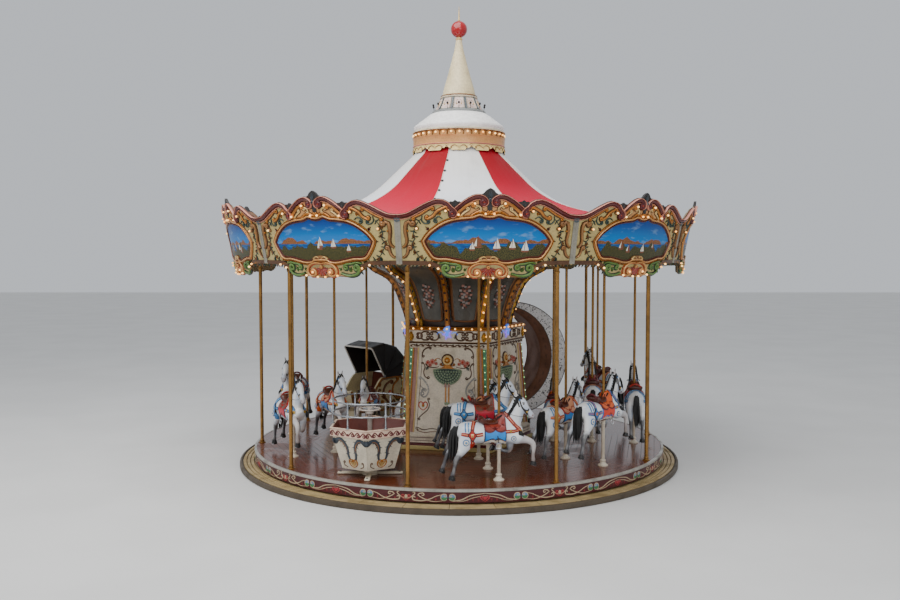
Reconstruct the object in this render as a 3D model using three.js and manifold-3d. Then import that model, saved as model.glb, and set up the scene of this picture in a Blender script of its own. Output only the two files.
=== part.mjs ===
// Fairground carousel with ten bays, jumping horses, a spinning tub, a moon chariot and a hooded carriage.
// Millimetres, +Z up, origin on the ride's axis at ground level. The loading side faces -Y.
// Angles are counted from the -Y side towards +X, which is also the way the ride turns.

import * as THREE from 'three';
import { mergeVertices } from 'three/addons/utils/BufferGeometryUtils.js';
import Module from 'manifold-3d';

const wasm = await Module();
wasm.setup();

// Whole ride
const bays = 10;
const bayAngle = (2 * Math.PI) / bays;
const firstJoint = THREE.MathUtils.degToRad(-12.1);
const ringSegments = 4 * bays;
const seatGap = 0.3;

// Ground parts and platform
const stepOuter = 3440;
const stepInner = 3100;
const stepTop = 78;
const stepNose = 15;
const hubRadius = 1000;
const hubTop = 100;
const bossRadius = 400;
const deckTop = 270;
const deckBottom = 190;
const deckEdge = 3217;
const skirtThickness = 27;
const skirtBottom = 100;
const deckLip = 6;

// Posts, ceiling and rounding boards
const postCircle = 3120;
const postRadius = 32;
const postFootRadius = 58;
const ceilingBottom = 3140;
const ceilingTop = 3175;
const ceilingRibDepth = 60;
const ceilingRibWidth = 70;
const boardFoot = 3120;
const boardFootRadius = 3480;
const boardLean = 0.2;
const boardThickness = 40;

// Centre
const drumCorners = 5;
const drumFirstCorner = THREE.MathUtils.degToRad(-48);
const drumTop = 1880;
const friezeTop = 2130;

// Roof
const eaveHeight = 3690;
const canopyThickness = 15;
const lampBandBottom = 4980;
const lampBandTop = 5140;
const lampBandRadius = 735;
const domeTop = 5440;
const crownTop = 5705;
const spireTop = 6640;
const ballRadius = 130;
const overallHeight = 7130;

// Rides
const travel = 240;
const hoofClearance = 30;
const poleRadius = 20;
const tubeRadius = 25;
const poleHole = 31;
const tubeHole = tubeRadius + 0.4;
const poleTop = ceilingTop + 50 - deckTop;
const tubeEnd = -(travel + 20);

// Each row of horses: distance from the axis and size
const rows = {
  outer: { radius: 2770, size: 1.0 },
  middle: { radius: 2120, size: 0.95 },
  inner: { radius: 1510, size: 0.85 },
};

// Each horse: bay number, row and how far up its travel it stands in the photograph
const horses = [
  { bay: 1, row: 'outer', lift: 0.08 }, { bay: 1, row: 'middle', lift: 0.85 },
  { bay: 1, row: 'inner', lift: 0.7 }, { bay: 2, row: 'outer', lift: 0.75 },
  { bay: 2, row: 'middle', lift: 0.3 }, { bay: 3, row: 'outer', lift: 0.45 },
  { bay: 3, row: 'middle', lift: 0.9 }, { bay: 3, row: 'inner', lift: 0.2 },
  { bay: 4, row: 'outer', lift: 0.65 }, { bay: 6, row: 'outer', lift: 0.35 },
  { bay: 6, row: 'middle', lift: 0.8 }, { bay: 8, row: 'outer', lift: 0.55 },
  { bay: 8, row: 'inner', lift: 0.15 }, { bay: 9, row: 'outer', lift: 0.25 },
  { bay: 9, row: 'middle', lift: 0.6 },
];
const horseLead = THREE.MathUtils.degToRad(5);

// Tub, moon chariot and carriage: place on the platform
const tubPlace = { radius: 2650, angle: THREE.MathUtils.degToRad(-27) };
const moonPlace = { radius: 1847, angle: THREE.MathUtils.degToRad(154) };
const moonHeading = THREE.MathUtils.degToRad(194.5);
const carriagePlace = { radius: 2420, angle: THREE.MathUtils.degToRad(225) };

const finishes = {
  step: { color: 0xd8cda4, roughness: 0.7, metalness: 0 },
  steel: { color: 0x6b6d6c, roughness: 0.6, metalness: 0.6 },
  deck: { color: 0x6e3526, roughness: 0.25, metalness: 0 },
  skirt: { color: 0x7a1c20, roughness: 0.4, metalness: 0 },
  brass: { color: 0xb08a3c, roughness: 0.3, metalness: 0.9 },
  cream: { color: 0xe4d9b8, roughness: 0.45, metalness: 0 },
  gold: { color: 0xb98a45, roughness: 0.4, metalness: 0.3 },
  brown: { color: 0x5a3a2a, roughness: 0.5, metalness: 0 },
  canopy: { color: 0xe0465c, roughness: 0.7, metalness: 0 },
  lamp: { color: 0xe8b27a, roughness: 0.4, metalness: 0 },
  red: { color: 0xc0282c, roughness: 0.35, metalness: 0 },
  white: { color: 0xece8e2, roughness: 0.35, metalness: 0 },
  chrome: { color: 0xd0d4d8, roughness: 0.12, metalness: 1 },
  black: { color: 0x1a1a1c, roughness: 0.6, metalness: 0 },
};

const carousel = new THREE.Group();

function addPiece(parent, name, geometry, finish) {
  const mesh = new THREE.Mesh(geometry, new THREE.MeshStandardMaterial(finishes[finish]));
  mesh.name = name;
  parent.add(mesh);
  return mesh;
}

function vectors(pairs) {
  return pairs.map(([x, y]) => new THREE.Vector2(x, y));
}

// Ring or solid of revolution about Z, its corners counted like every other angle
function turned(pairs, segments, start = firstJoint) {
  return new THREE.LatheGeometry(vectors(pairs), segments, start, 2 * Math.PI).rotateX(Math.PI / 2);
}

// Flat outline in a vertical plane, x forward and z up, pushed out by its width along y
function sideProfile(pairs, width, middle = 0) {
  const shape = new THREE.Shape(vectors(pairs));
  const geometry = new THREE.ExtrudeGeometry(shape, { depth: width, bevelEnabled: false });
  return geometry.rotateX(Math.PI / 2).translate(0, middle + width / 2, 0);
}

function toSolid(geometry) {
  const bare = geometry.clone();
  bare.deleteAttribute('normal');
  bare.deleteAttribute('uv');
  const merged = mergeVertices(bare, 1e-3);
  const corners = merged.index.array;
  const triangles = [];
  for (let i = 0; i < corners.length; i += 3) {
    const [a, b, c] = [corners[i], corners[i + 1], corners[i + 2]];
    if (a !== b && b !== c && c !== a) triangles.push(a, b, c);
  }
  return new wasm.Manifold(new wasm.Mesh({
    numProp: 3,
    vertProperties: new Float32Array(merged.attributes.position.array),
    triVerts: new Uint32Array(triangles),
  }));
}

function joinAll(geometries) {
  return geometries.map(toSolid).reduce((sum, next) => sum.add(next));
}

function toGeometry(solid) {
  const { vertProperties, triVerts } = solid.getMesh();
  const geometry = new THREE.BufferGeometry();
  geometry.setAttribute('position', new THREE.BufferAttribute(vertProperties, 3));
  geometry.setIndex(new THREE.BufferAttribute(triVerts, 1));
  return geometry;
}

function upright(radius, from, to, sides, x = 0, y = 0) {
  const bar = new THREE.CylinderGeometry(radius, radius, to - from, sides).rotateX(Math.PI / 2);
  return bar.translate(x, y, (from + to) / 2);
}

function placeOnRing(object, radius, angle, height = 0) {
  object.position.set(radius * Math.sin(angle), -radius * Math.cos(angle), height);
  object.rotation.z = angle;
  return object;
}

function bayCentre(bay) {
  return firstJoint + (bay - 0.5) * bayAngle;
}

function horsePlaces() {
  return horses.map(({ bay, row }) => {
    const angle = bayCentre(bay) + horseLead;
    const { radius } = rows[row];
    return { x: radius * Math.sin(angle), y: -radius * Math.cos(angle), angle };
  });
}

function groundHub() {
  const profile = [
    [0, 0], [hubRadius, 0], [hubRadius, hubTop], [bossRadius, hubTop],
    [bossRadius, deckBottom - seatGap], [0, deckBottom - seatGap],
  ];
  return turned(profile, 20);
}

function entryStep() {
  const profile = [
    [stepInner, 0], [stepOuter, 0], [stepOuter, stepTop - stepNose], [stepOuter - stepNose, stepTop],
    [stepInner, stepTop], [stepInner, 0],
  ];
  return turned(profile, ringSegments);
}

// Deck with a clear hole for each horse's lower tube
function platformDeck() {
  const under = deckEdge - skirtThickness - seatGap;
  const lipBottom = deckTop - deckLip;
  const disc = turned([
    [0, deckBottom], [under, deckBottom], [under, lipBottom], [deckEdge, lipBottom],
    [deckEdge, deckTop], [0, deckTop],
  ], ringSegments);
  let solid = toSolid(disc);
  for (const { x, y, angle } of horsePlaces()) {
    const hole = upright(tubeHole, deckBottom - 50, deckTop + 50, 6);
    solid = solid.subtract(toSolid(hole.rotateZ(angle).translate(x, y, 0)));
  }
  return toGeometry(solid);
}

function platformSkirt() {
  const inner = deckEdge - skirtThickness;
  const top = deckTop - deckLip - seatGap;
  const profile = [
    [inner, skirtBottom], [deckEdge, skirtBottom], [deckEdge, top], [inner, top], [inner, skirtBottom],
  ];
  return turned(profile, ringSegments);
}

function centreDrum() {
  const foot = deckTop + seatGap;
  const profile = [
    [0, foot], [1200, foot], [1200, foot + 60], [1165, foot + 90], [1160, foot + 200],
    [1130, foot + 240], [1010, drumTop - 60], [1035, drumTop - seatGap], [0, drumTop - seatGap],
  ];
  return turned(profile, drumCorners, drumFirstCorner);
}

function drumFrieze() {
  const profile = [
    [0, drumTop], [1060, drumTop], [1085, drumTop + 30], [1085, friezeTop - 40],
    [1040, friezeTop - seatGap], [0, friezeTop - seatGap],
  ];
  return turned(profile, drumCorners, drumFirstCorner);
}

// Flared shroud between the frieze and the ceiling, with a curved rib at each joint angle
function flaredShroud() {
  const top = ceilingBottom - seatGap;
  const shell = turned([
    [0, friezeTop], [790, friezeTop], [860, 2430], [1010, 2800], [1380, 2990], [1445, top], [0, top],
  ], 2 * bays);
  const rib = [
    [600, friezeTop], [850, friezeTop], [930, 2420], [1080, 2770], [1400, 2930], [1460, top], [600, top],
  ];
  let solid = toSolid(shell);
  for (let i = 0; i < bays; i += 1) {
    const ribPiece = sideProfile(rib, 70).rotateZ(firstJoint + i * bayAngle - Math.PI / 2);
    solid = solid.add(toSolid(ribPiece));
  }
  return toGeometry(solid);
}

// Ceiling plate with a radial rib under it at each joint and a clear hole for each horse's pole
function ceiling() {
  const edge = boardFootRadius + boardLean * (ceilingBottom - boardFoot) - boardThickness - seatGap;
  let solid = toSolid(turned([
    [0, ceilingBottom], [edge, ceilingBottom], [edge, ceilingTop], [0, ceilingTop],
  ], ringSegments));
  const ribStart = 1475;
  const ribEnd = postCircle - postFootRadius - 10;
  for (let i = 0; i < bays; i += 1) {
    const rib = new THREE.BoxGeometry(ribEnd - ribStart, ceilingRibWidth, ceilingRibDepth + 10);
    rib.translate((ribStart + ribEnd) / 2, 0, ceilingBottom - ceilingRibDepth / 2 + 5);
    solid = solid.add(toSolid(rib.rotateZ(firstJoint + i * bayAngle - Math.PI / 2)));
  }
  for (const { x, y } of horsePlaces()) {
    solid = solid.subtract(toSolid(upright(poleHole, ceilingBottom - 100, ceilingTop + 100, 6, x, y)));
  }
  return toGeometry(solid);
}

function post() {
  const foot = deckTop + seatGap;
  const head = ceilingBottom - seatGap;
  const profile = [
    [0, foot], [postFootRadius, foot], [postFootRadius, foot + 14], [postRadius, foot + 24],
    [postRadius, head - 24], [postFootRadius, head - 10], [postFootRadius, head], [0, head],
  ];
  return turned(profile, 10, 0);
}

// Half outline of a rounding board from its middle (0) to its joint (1): top and foot heights
const boardOutline = [
  [0, 4030, 2950], [0.08, 4005, 2950], [0.1, 3930, 2952], [0.26, 3865, 2960], [0.4, 3740, 2975],
  [0.5, 3838, 3040], [0.56, 3850, 3110], [0.66, 3812, 3120], [0.8, 3725, 3120], [0.9, 3692, 3120],
  [1, 3720, 3120],
];

function roundingBoard() {
  const halfSpan = bayAngle / 2 - seatGap / boardFootRadius;
  const left = boardOutline.slice(1).reverse().map(([s, top, foot]) => [-s, top, foot]);
  const outline = [...left, ...boardOutline];
  const steps = outline.length - 1;
  const geometry = new THREE.BoxGeometry(steps, 1, 1, steps, 1, 1);
  const spots = geometry.attributes.position;
  for (let i = 0; i < spots.count; i += 1) {
    const [s, top, foot] = outline[Math.round(spots.getX(i) + steps / 2)];
    const height = spots.getZ(i) > 0 ? top : foot;
    const outer = boardFootRadius + boardLean * (height - boardFoot);
    const radius = spots.getY(i) < 0 ? outer : outer - boardThickness;
    spots.setXYZ(i, radius * Math.sin(s * halfSpan), -radius * Math.cos(s * halfSpan), height);
  }
  return geometry;
}

function canopy() {
  const innerAt = (height) => boardFootRadius + boardLean * (height - boardFoot) - boardThickness - seatGap;
  const outside = [
    [2800, 3770], [2100, 3885], [1550, 4080], [1100, 4420], [670, 4840],
  ];
  const inside = outside.map(([r, z]) => [r - canopyThickness, z - canopyThickness]).reverse();
  const neck = 645;
  const top = lampBandBottom - seatGap;
  const eaveUnder = eaveHeight - canopyThickness;
  const profile = [
    [innerAt(eaveUnder), eaveUnder], [innerAt(eaveHeight), eaveHeight], ...outside,
    [neck, top], [neck - canopyThickness, top], ...inside, [innerAt(eaveUnder), eaveUnder],
  ];
  return turned(profile, ringSegments);
}

// Hanging valance under the lamp band, its foot cut in scallops
function lambrequin() {
  const scallops = 12;
  const drop = 45;
  const foot = 4880;
  const outer = lampBandRadius - 12;
  const profile = [
    [outer - 18, foot], [outer, foot], [outer, lampBandBottom - seatGap],
    [outer - 18, lampBandBottom - seatGap], [outer - 18, foot],
  ];
  const firstNotch = Math.PI / scallops;
  const geometry = turned(profile, 4 * scallops, firstNotch);
  const spots = geometry.attributes.position;
  for (let i = 0; i < spots.count; i += 1) {
    if (spots.getZ(i) > foot + 1) continue;
    const angle = Math.atan2(spots.getX(i), -spots.getY(i)) - firstNotch;
    spots.setZ(i, foot - drop * Math.abs(Math.sin((scallops * angle) / 2)));
  }
  return geometry;
}

function lampBand() {
  const top = lampBandTop - seatGap;
  return turned([
    [0, lampBandBottom], [lampBandRadius, lampBandBottom], [lampBandRadius, top], [0, top],
  ], 24);
}

function dome() {
  return turned([
    [0, lampBandTop], [700, lampBandTop], [710, 5235], [600, 5315], [500, 5395],
    [430, domeTop - seatGap], [0, domeTop - seatGap],
  ], 24);
}

function crownBand() {
  const top = crownTop - seatGap;
  return turned([
    [0, domeTop], [420, domeTop], [420, 5460], [310, 5500], [285, 5520], [260, 5670], [290, 5680],
    [290, top], [0, top],
  ], 24);
}

function spire() {
  const top = spireTop - seatGap;
  return turned([
    [0, crownTop], [280, crownTop], [245, 5820], [196, 5980], [112, 6294], [45, top], [0, top],
  ], 20);
}

function finial() {
  const centre = spireTop + ballRadius;
  const ball = [];
  for (let step = 1; step < 8; step += 1) {
    const turn = (Math.PI * step) / 8;
    ball.push([ballRadius * Math.sin(turn), centre - ballRadius * Math.cos(turn)]);
  }
  return turned([
    [0, spireTop], [40, spireTop], ...ball, [14, centre + ballRadius + 10], [0, overallHeight],
  ], 14);
}

// Horse on its pole, x forward, at the foot of its travel with z counted from the deck
const horseOutline = [
  [395, 795], [300, 885], [290, 700], [200, 560], [-50, 500], [-330, 520], [-530, 600], [-565, 480],
  [-590, 330], [-650, 520], [-590, 690], [-500, 770], [-300, 790], [-290, 850], [-200, 795], [-80, 795],
  [0, 880], [60, 860], [120, 990], [215, 1065], [215, 1135], [260, 1060], [470, 870], [465, 815],
];
const horseBarrel = [[0, -550], [120, -510], [162, -380], [150, -100], [158, 130], [100, 250], [0, 280]];
const outerLegs = [
  [[80, 600], [250, 640], [455, 535], [480, 200], [405, 200], [410, 470], [200, 480]],
  [[-540, 640], [-330, 560], [-530, 260], [-610, 30], [-690, 30], [-610, 290]],
];
const innerLegs = [
  [[80, 600], [240, 600], [185, 330], [120, 325], [-50, 400], [-20, 460], [110, 400]],
  [[-550, 650], [-350, 560], [-600, 370], [-710, 80], [-790, 110], [-690, 410]],
];
const barrelHeight = 625;
const headWidth = 110;
const legWidth = 72;
const legSpread = 85;

function horse(size) {
  const heightAt = (z) => hoofClearance + (z - hoofClearance) * size;
  const sized = (pairs) => pairs.map(([x, z]) => [x * size, heightAt(z)]);
  const barrel = new THREE.LatheGeometry(vectors(horseBarrel), 7);
  barrel.rotateZ(-Math.PI / 2).scale(size, 0.92 * size, size).translate(0, 0, heightAt(barrelHeight));
  const pieces = [
    sideProfile(sized(horseOutline), headWidth * size),
    barrel,
    ...outerLegs.map((leg) => sideProfile(sized(leg), legWidth * size, -legSpread * size)),
    ...innerLegs.map((leg) => sideProfile(sized(leg), legWidth * size, legSpread * size)),
    upright(poleRadius, heightAt(700), poleTop, 6),
    upright(tubeRadius, tubeEnd, heightAt(560), 6),
  ];
  return toGeometry(joinAll(pieces));
}

// Foot, crossed arms, column and hand wheel on which the tub turns
function tubPedestal() {
  const foot = deckTop + seatGap;
  const pieces = [turned([
    [0, foot], [110, foot], [90, foot + 60], [120, deckTop + 130], [120, deckTop + 150 - seatGap],
    [35, deckTop + 150 - seatGap], [32, deckTop + 860], [150, deckTop + 868], [150, deckTop + 892],
    [40, deckTop + 905], [0, deckTop + 905],
  ], 12)];
  for (const turn of [0, 1]) {
    const arm = new THREE.BoxGeometry(880, 70, 30).translate(0, 0, foot + 15);
    pieces.push(arm.rotateZ((turn * Math.PI) / 2));
  }
  return toGeometry(joinAll(pieces));
}

// Six-sided tub with a bench round the inside and a hole in its floor for the column
function tubShell() {
  const profile = [
    [60, 150], [310, 150], [545, 595], [580, 600], [580, 690], [545, 690], [520, 620], [415, 410],
    [240, 410], [232, 185], [60, 185], [60, 150],
  ].map(([r, z]) => [r, z + deckTop]);
  return turned(profile, 6, 0);
}

function tubRails() {
  const rim = deckTop + 690 + seatGap;
  const heights = [deckTop + 850, deckTop + 1020];
  const railCircle = 495;
  const pieces = heights.map((height) => (
    new THREE.TorusGeometry(railCircle, 13, 4, 12).translate(0, 0, height)));
  for (let i = 0; i < 6; i += 1) {
    const angle = (i + 0.5) * (Math.PI / 3);
    const x = railCircle * Math.sin(angle);
    const y = -railCircle * Math.cos(angle);
    pieces.push(upright(12, rim, heights[1], 4, x, y));
  }
  return toGeometry(joinAll(pieces));
}

// Crescent seen from the side, its back to the rear and its horns pointing forward
const moonOuter = { x: -50, z: 1140, radius: 980 };
const moonInner = { x: 300, z: 1190, radius: 860 };
const moonWidth = 780;

function crescent() {
  const dx = moonInner.x - moonOuter.x;
  const dz = moonInner.z - moonOuter.z;
  const apart = Math.hypot(dx, dz);
  const tilt = Math.atan2(dz, dx);
  const reach = (apart ** 2 + moonOuter.radius ** 2 - moonInner.radius ** 2) / (2 * apart);
  const outerHalf = Math.acos(reach / moonOuter.radius);
  const innerHalf = Math.acos((reach - apart) / moonInner.radius);
  const shape = new THREE.Shape();
  shape.absarc(moonOuter.x, moonOuter.z, moonOuter.radius, tilt + outerHalf, tilt - outerHalf, false);
  shape.absarc(moonInner.x, moonInner.z, moonInner.radius, tilt - innerHalf, tilt + innerHalf, true);
  const options = { depth: moonWidth, bevelEnabled: false, curveSegments: 14 };
  const body = new THREE.ExtrudeGeometry(shape, options).rotateX(Math.PI / 2);
  return toSolid(body.translate(0, moonWidth / 2, 0));
}

function moonChariot() {
  const plinth = new THREE.BoxGeometry(700, 560, 240).translate(-40, 0, 120 + seatGap);
  return toGeometry(crescent().add(toSolid(plinth)));
}

function moonSeat() {
  const block = new THREE.BoxGeometry(460, moonWidth - 80, 300).translate(-90, 0, 400);
  const hollow = crescent().translate(seatGap, 0, seatGap);
  const pieces = toSolid(block).subtract(hollow).decompose();
  const seat = pieces.sort((a, b) => b.volume() - a.volume())[0];
  return toGeometry(seat);
}

const carriageWidth = 800;
const carriageWall = 35;
const hoodPivot = { x: -150, z: 760 };
const hoodReach = 600;

// Carriage body: two curved sides, a floor, a seat with its back and a rounded dash
function carriageBody() {
  const side = [
    [-560, 780], [-600, 640], [-560, 420], [-450, 250], [-240, 180], [230, 180], [430, 230], [570, 380],
    [620, 600], [570, 620], [500, 470], [340, 420], [160, 470], [50, 620], [-50, 740], [-150, 780],
  ];
  const pieces = [-1, 1].map((hand) => (
    sideProfile(side, carriageWall, (hand * (carriageWidth - carriageWall)) / 2)));
  const inside = carriageWidth - carriageWall;
  pieces.push(sideProfile([[-450, 262], [-240, 192], [360, 192], [430, 240], [430, 262], [-440, 290]], inside));
  pieces.push(sideProfile([[-595, 640], [-555, 425], [-445, 258], [-140, 258], [-140, 460], [-470, 470],
    [-525, 775], [-558, 775]], inside));
  pieces.push(sideProfile([[400, 238], [430, 233], [568, 383], [616, 592], [588, 598], [530, 400]], inside));
  for (const x of [-330, 330]) {
    pieces.push(new THREE.BoxGeometry(120, 560, 240).translate(x, 0, 120 + seatGap));
  }
  return toGeometry(joinAll(pieces));
}

// Folding hood: a curved back and top between two pie-shaped sides, open to the front
function carriageHood() {
  const skin = 25;
  const foot = hoodPivot.z + 20 + seatGap;
  const start = THREE.MathUtils.degToRad(62);
  const end = Math.PI;
  const sector = (radius) => {
    const points = [[hoodPivot.x, foot]];
    for (let step = 0; step <= 10; step += 1) {
      const turn = start + ((end - start) * step) / 10;
      points.push([hoodPivot.x + radius * Math.cos(turn), foot + radius * Math.sin(turn)]);
    }
    return points;
  };
  const whole = toSolid(sideProfile(sector(hoodReach), carriageWidth));
  const cutter = sideProfile(sector(hoodReach - skin), carriageWidth - 2 * skin);
  const notch = new THREE.BoxGeometry(900, carriageWidth - 2 * skin, 80);
  notch.translate(hoodPivot.x, 0, foot - 30);
  return toGeometry(whole.subtract(toSolid(cutter)).subtract(toSolid(notch)));
}

addPiece(carousel, 'ground_hub', groundHub(), 'steel');
addPiece(carousel, 'entry_step', entryStep(), 'step');
addPiece(carousel, 'platform_deck', platformDeck(), 'deck');
addPiece(carousel, 'platform_skirt', platformSkirt(), 'skirt');
addPiece(carousel, 'centre_drum', centreDrum(), 'cream');
addPiece(carousel, 'drum_frieze', drumFrieze(), 'cream');
addPiece(carousel, 'flared_shroud', flaredShroud(), 'brown');
addPiece(carousel, 'ceiling', ceiling(), 'cream');
for (let i = 0; i < bays; i += 1) {
  const joint = firstJoint + i * bayAngle;
  placeOnRing(addPiece(carousel, `post_${i + 1}`, post(), 'brass'), postCircle, joint);
  addPiece(carousel, `rounding_board_${i + 1}`, roundingBoard(), 'gold').rotation.z = bayCentre(i + 1);
}
addPiece(carousel, 'canopy', canopy(), 'canopy');
addPiece(carousel, 'lambrequin', lambrequin(), 'cream');
addPiece(carousel, 'lamp_band', lampBand(), 'lamp');
addPiece(carousel, 'dome', dome(), 'white');
addPiece(carousel, 'crown_band', crownBand(), 'cream');
addPiece(carousel, 'spire', spire(), 'cream');
addPiece(carousel, 'finial', finial(), 'red');

for (const { bay, row, lift } of horses) {
  const { radius, size } = rows[row];
  const mesh = addPiece(carousel, `horse_${bay}_${row}`, horse(size), 'white');
  placeOnRing(mesh, radius, bayCentre(bay) + horseLead, deckTop + lift * travel);
}

const tub = placeOnRing(new THREE.Group(), tubPlace.radius, tubPlace.angle);
tub.rotation.z = 0;
addPiece(tub, 'tub_pedestal', tubPedestal(), 'white');
addPiece(tub, 'tub_shell', tubShell(), 'cream');
addPiece(tub, 'tub_rails', tubRails(), 'chrome');
carousel.add(tub);

const moon = placeOnRing(new THREE.Group(), moonPlace.radius, moonPlace.angle, deckTop);
moon.rotation.z = moonHeading;
addPiece(moon, 'moon_chariot', moonChariot(), 'white');
addPiece(moon, 'moon_seat', moonSeat(), 'brown');
carousel.add(moon);

const carriage = placeOnRing(new THREE.Group(), carriagePlace.radius, carriagePlace.angle, deckTop);
addPiece(carriage, 'carriage_body', carriageBody(), 'cream');
addPiece(carriage, 'carriage_hood', carriageHood(), 'black');
carousel.add(carriage);

export default carousel;
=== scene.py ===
"""Fairground carousel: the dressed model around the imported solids.

Metres, +Z up, the turning axis at the origin. Angles are counted from the -Y side towards +X.
"""
import math

import bmesh
import bpy
import numpy as np
from bpy.props import FloatProperty, FloatVectorProperty, IntProperty, PointerProperty
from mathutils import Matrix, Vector
from mathutils.bvhtree import BVHTree
from mathutils.geometry import tessellate_polygon


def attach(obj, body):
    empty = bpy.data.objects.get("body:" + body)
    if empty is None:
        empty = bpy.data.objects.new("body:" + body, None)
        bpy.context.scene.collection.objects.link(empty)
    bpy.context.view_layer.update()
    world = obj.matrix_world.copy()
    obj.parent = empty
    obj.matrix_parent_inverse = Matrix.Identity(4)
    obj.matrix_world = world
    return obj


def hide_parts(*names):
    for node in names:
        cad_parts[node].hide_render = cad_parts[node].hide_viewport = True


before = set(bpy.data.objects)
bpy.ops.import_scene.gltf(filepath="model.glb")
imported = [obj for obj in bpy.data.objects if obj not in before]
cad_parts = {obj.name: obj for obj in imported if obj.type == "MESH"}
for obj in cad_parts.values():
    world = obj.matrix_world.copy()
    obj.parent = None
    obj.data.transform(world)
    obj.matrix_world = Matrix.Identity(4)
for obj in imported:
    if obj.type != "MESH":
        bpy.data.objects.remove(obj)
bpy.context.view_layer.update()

bl_info = {
    "name": "Fairground Carousel",
    "version": (1, 0, 0),
    "blender": (4, 5, 0),
    "location": "View3D > Sidebar > Carousel",
    "description": "Builds a fairground carousel with rounding boards, horses, tub and chariots",
    "category": "Add Mesh",
}

# Sizes of the solids, repeated from the part's source
BAYS = 10
BAY = 2 * math.pi / BAYS
FIRST_JOINT = math.radians(-12.1)
DECK_TOP = 0.27
DECK_EDGE = 3.217
POST_CIRCLE = 3.12
CEILING = 3.14
BOARD_FOOT = 3.12
BOARD_FOOT_RADIUS = 3.48
BOARD_LEAN = 0.2
BOARD_THICKNESS = 0.04
TRAVEL = 0.24
HOOF_CLEARANCE = 0.03
ROWS = {"outer": (2.77, 1.0), "middle": (2.12, 0.95), "inner": (1.51, 0.85)}
HORSES = [(1, "outer", 0.08), (1, "middle", 0.85), (1, "inner", 0.7), (2, "outer", 0.75),
          (2, "middle", 0.3), (3, "outer", 0.45), (3, "middle", 0.9), (3, "inner", 0.2),
          (4, "outer", 0.65), (6, "outer", 0.35), (6, "middle", 0.8), (8, "outer", 0.55),
          (8, "inner", 0.15), (9, "outer", 0.25), (9, "middle", 0.6)]
HORSE_LEAD = math.radians(5)
DRUM_CORNERS = 5
DRUM_FIRST = math.radians(-48)
TUB_CORNERS = 6
DECK_SIDES = 240
CROWN_SIDES = 96


def bay_middle(bay):
    """The angle of a bay's middle; the bays count from one"""
    return FIRST_JOINT + (bay - 0.5) * BAY


def on_ring(angle, radius, height):
    """Points at an angle and a radius about the turning axis"""
    return together(radius * np.sin(angle), -radius * np.cos(angle), height)


# Shapes


def swell(most, ends=0.1):
    """A width that is largest in the middle"""
    return lambda t: most * (ends + (1 - ends) * np.sin(np.pi * t) ** 0.8)


def taper(most, tip=0.12):
    """A width that falls off towards the end"""
    return lambda t: most * (1 - (1 - tip) * t ** 1.6)


def smooth_line(points, samples=14):
    """A smooth curve through the given points, evenly spaced along it"""
    points = np.asarray(points, float)
    if len(points) < 3:
        t = np.linspace(0, 1, samples)[:, None]
        return points[0] * (1 - t) + points[-1] * t
    ends = np.vstack([2 * points[0] - points[1], points, 2 * points[-1] - points[-2]])
    fine = []
    for a, b, c, d in zip(ends, ends[1:], ends[2:], ends[3:]):
        for t in np.linspace(0, 1, 12, endpoint=False):
            fine.append(0.5 * (2 * b + (c - a) * t + (2 * a - 5 * b + 4 * c - d) * t ** 2
                               + (3 * b - a - 3 * c + d) * t ** 3))
    fine = np.vstack([fine, points[-1]])
    run = run_along(fine)
    spots = np.linspace(0, run[-1], samples)
    return np.stack([np.interp(spots, run, fine[:, k]) for k in range(fine.shape[1])], 1)


def curl(path, radius, turns=1.1, side=1, steps=13, shrink=0.3):
    """Goes on from the end of a flat path and rolls up into a volute"""
    path = [np.asarray(p, float) for p in path]
    ahead = path[-1] - path[-2]
    heading = math.atan2(ahead[1], ahead[0])
    turn = turns * 2 * math.pi / steps
    for i in range(steps):
        tight = radius * (1 - (1 - shrink) * (i + 0.5) / steps)
        heading += side * turn / 2
        path.append(path[-1] + tight * turn * np.array([math.cos(heading), math.sin(heading)]))
        heading += side * turn / 2
    return np.array(path)


def scroll(points, end=None, start=None, samples=12):
    """A smooth line with a volute at its end, at its start, or at both: (radius, turns, side)"""
    path = smooth_line(points, samples)
    if end:
        path = curl(path, *end)
    if start:
        path = curl(path[::-1], *start)[::-1]
    return path


def run_along(line):
    """How far each point of a line lies from its start, along the line"""
    return np.concatenate([[0], np.cumsum(np.linalg.norm(np.diff(line, axis=0), axis=1))])


def together(*parts):
    """Tables of the same or matching shapes as one table of points"""
    return np.stack(np.broadcast_arrays(*parts), -1)


def around_edge(table):
    """The outermost points of a table, in order"""
    return np.concatenate([table[0], table[1:, -1], table[-1, ::-1][1:], table[::-1, 0][1:-1]])


def beside(path, distance):
    """A flat path moved to its left"""
    ahead = np.gradient(path, axis=0)
    ahead /= np.maximum(np.linalg.norm(ahead, axis=1, keepdims=True), 1e-9)
    return path + distance * np.stack([-ahead[:, 1], ahead[:, 0]], 1)


ROUND = np.array([(-1, 0), (-0.75, 0.7), (0, 1), (0.75, 0.7), (1, 0)])
CREASED = np.array([(-1, 0), (-0.8, 0.75), (0, 0.3), (0.8, 0.75), (1, 0)])
FLAT = np.array([(-1, 0), (-0.85, 1), (0.85, 1), (1, 0)])


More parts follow.
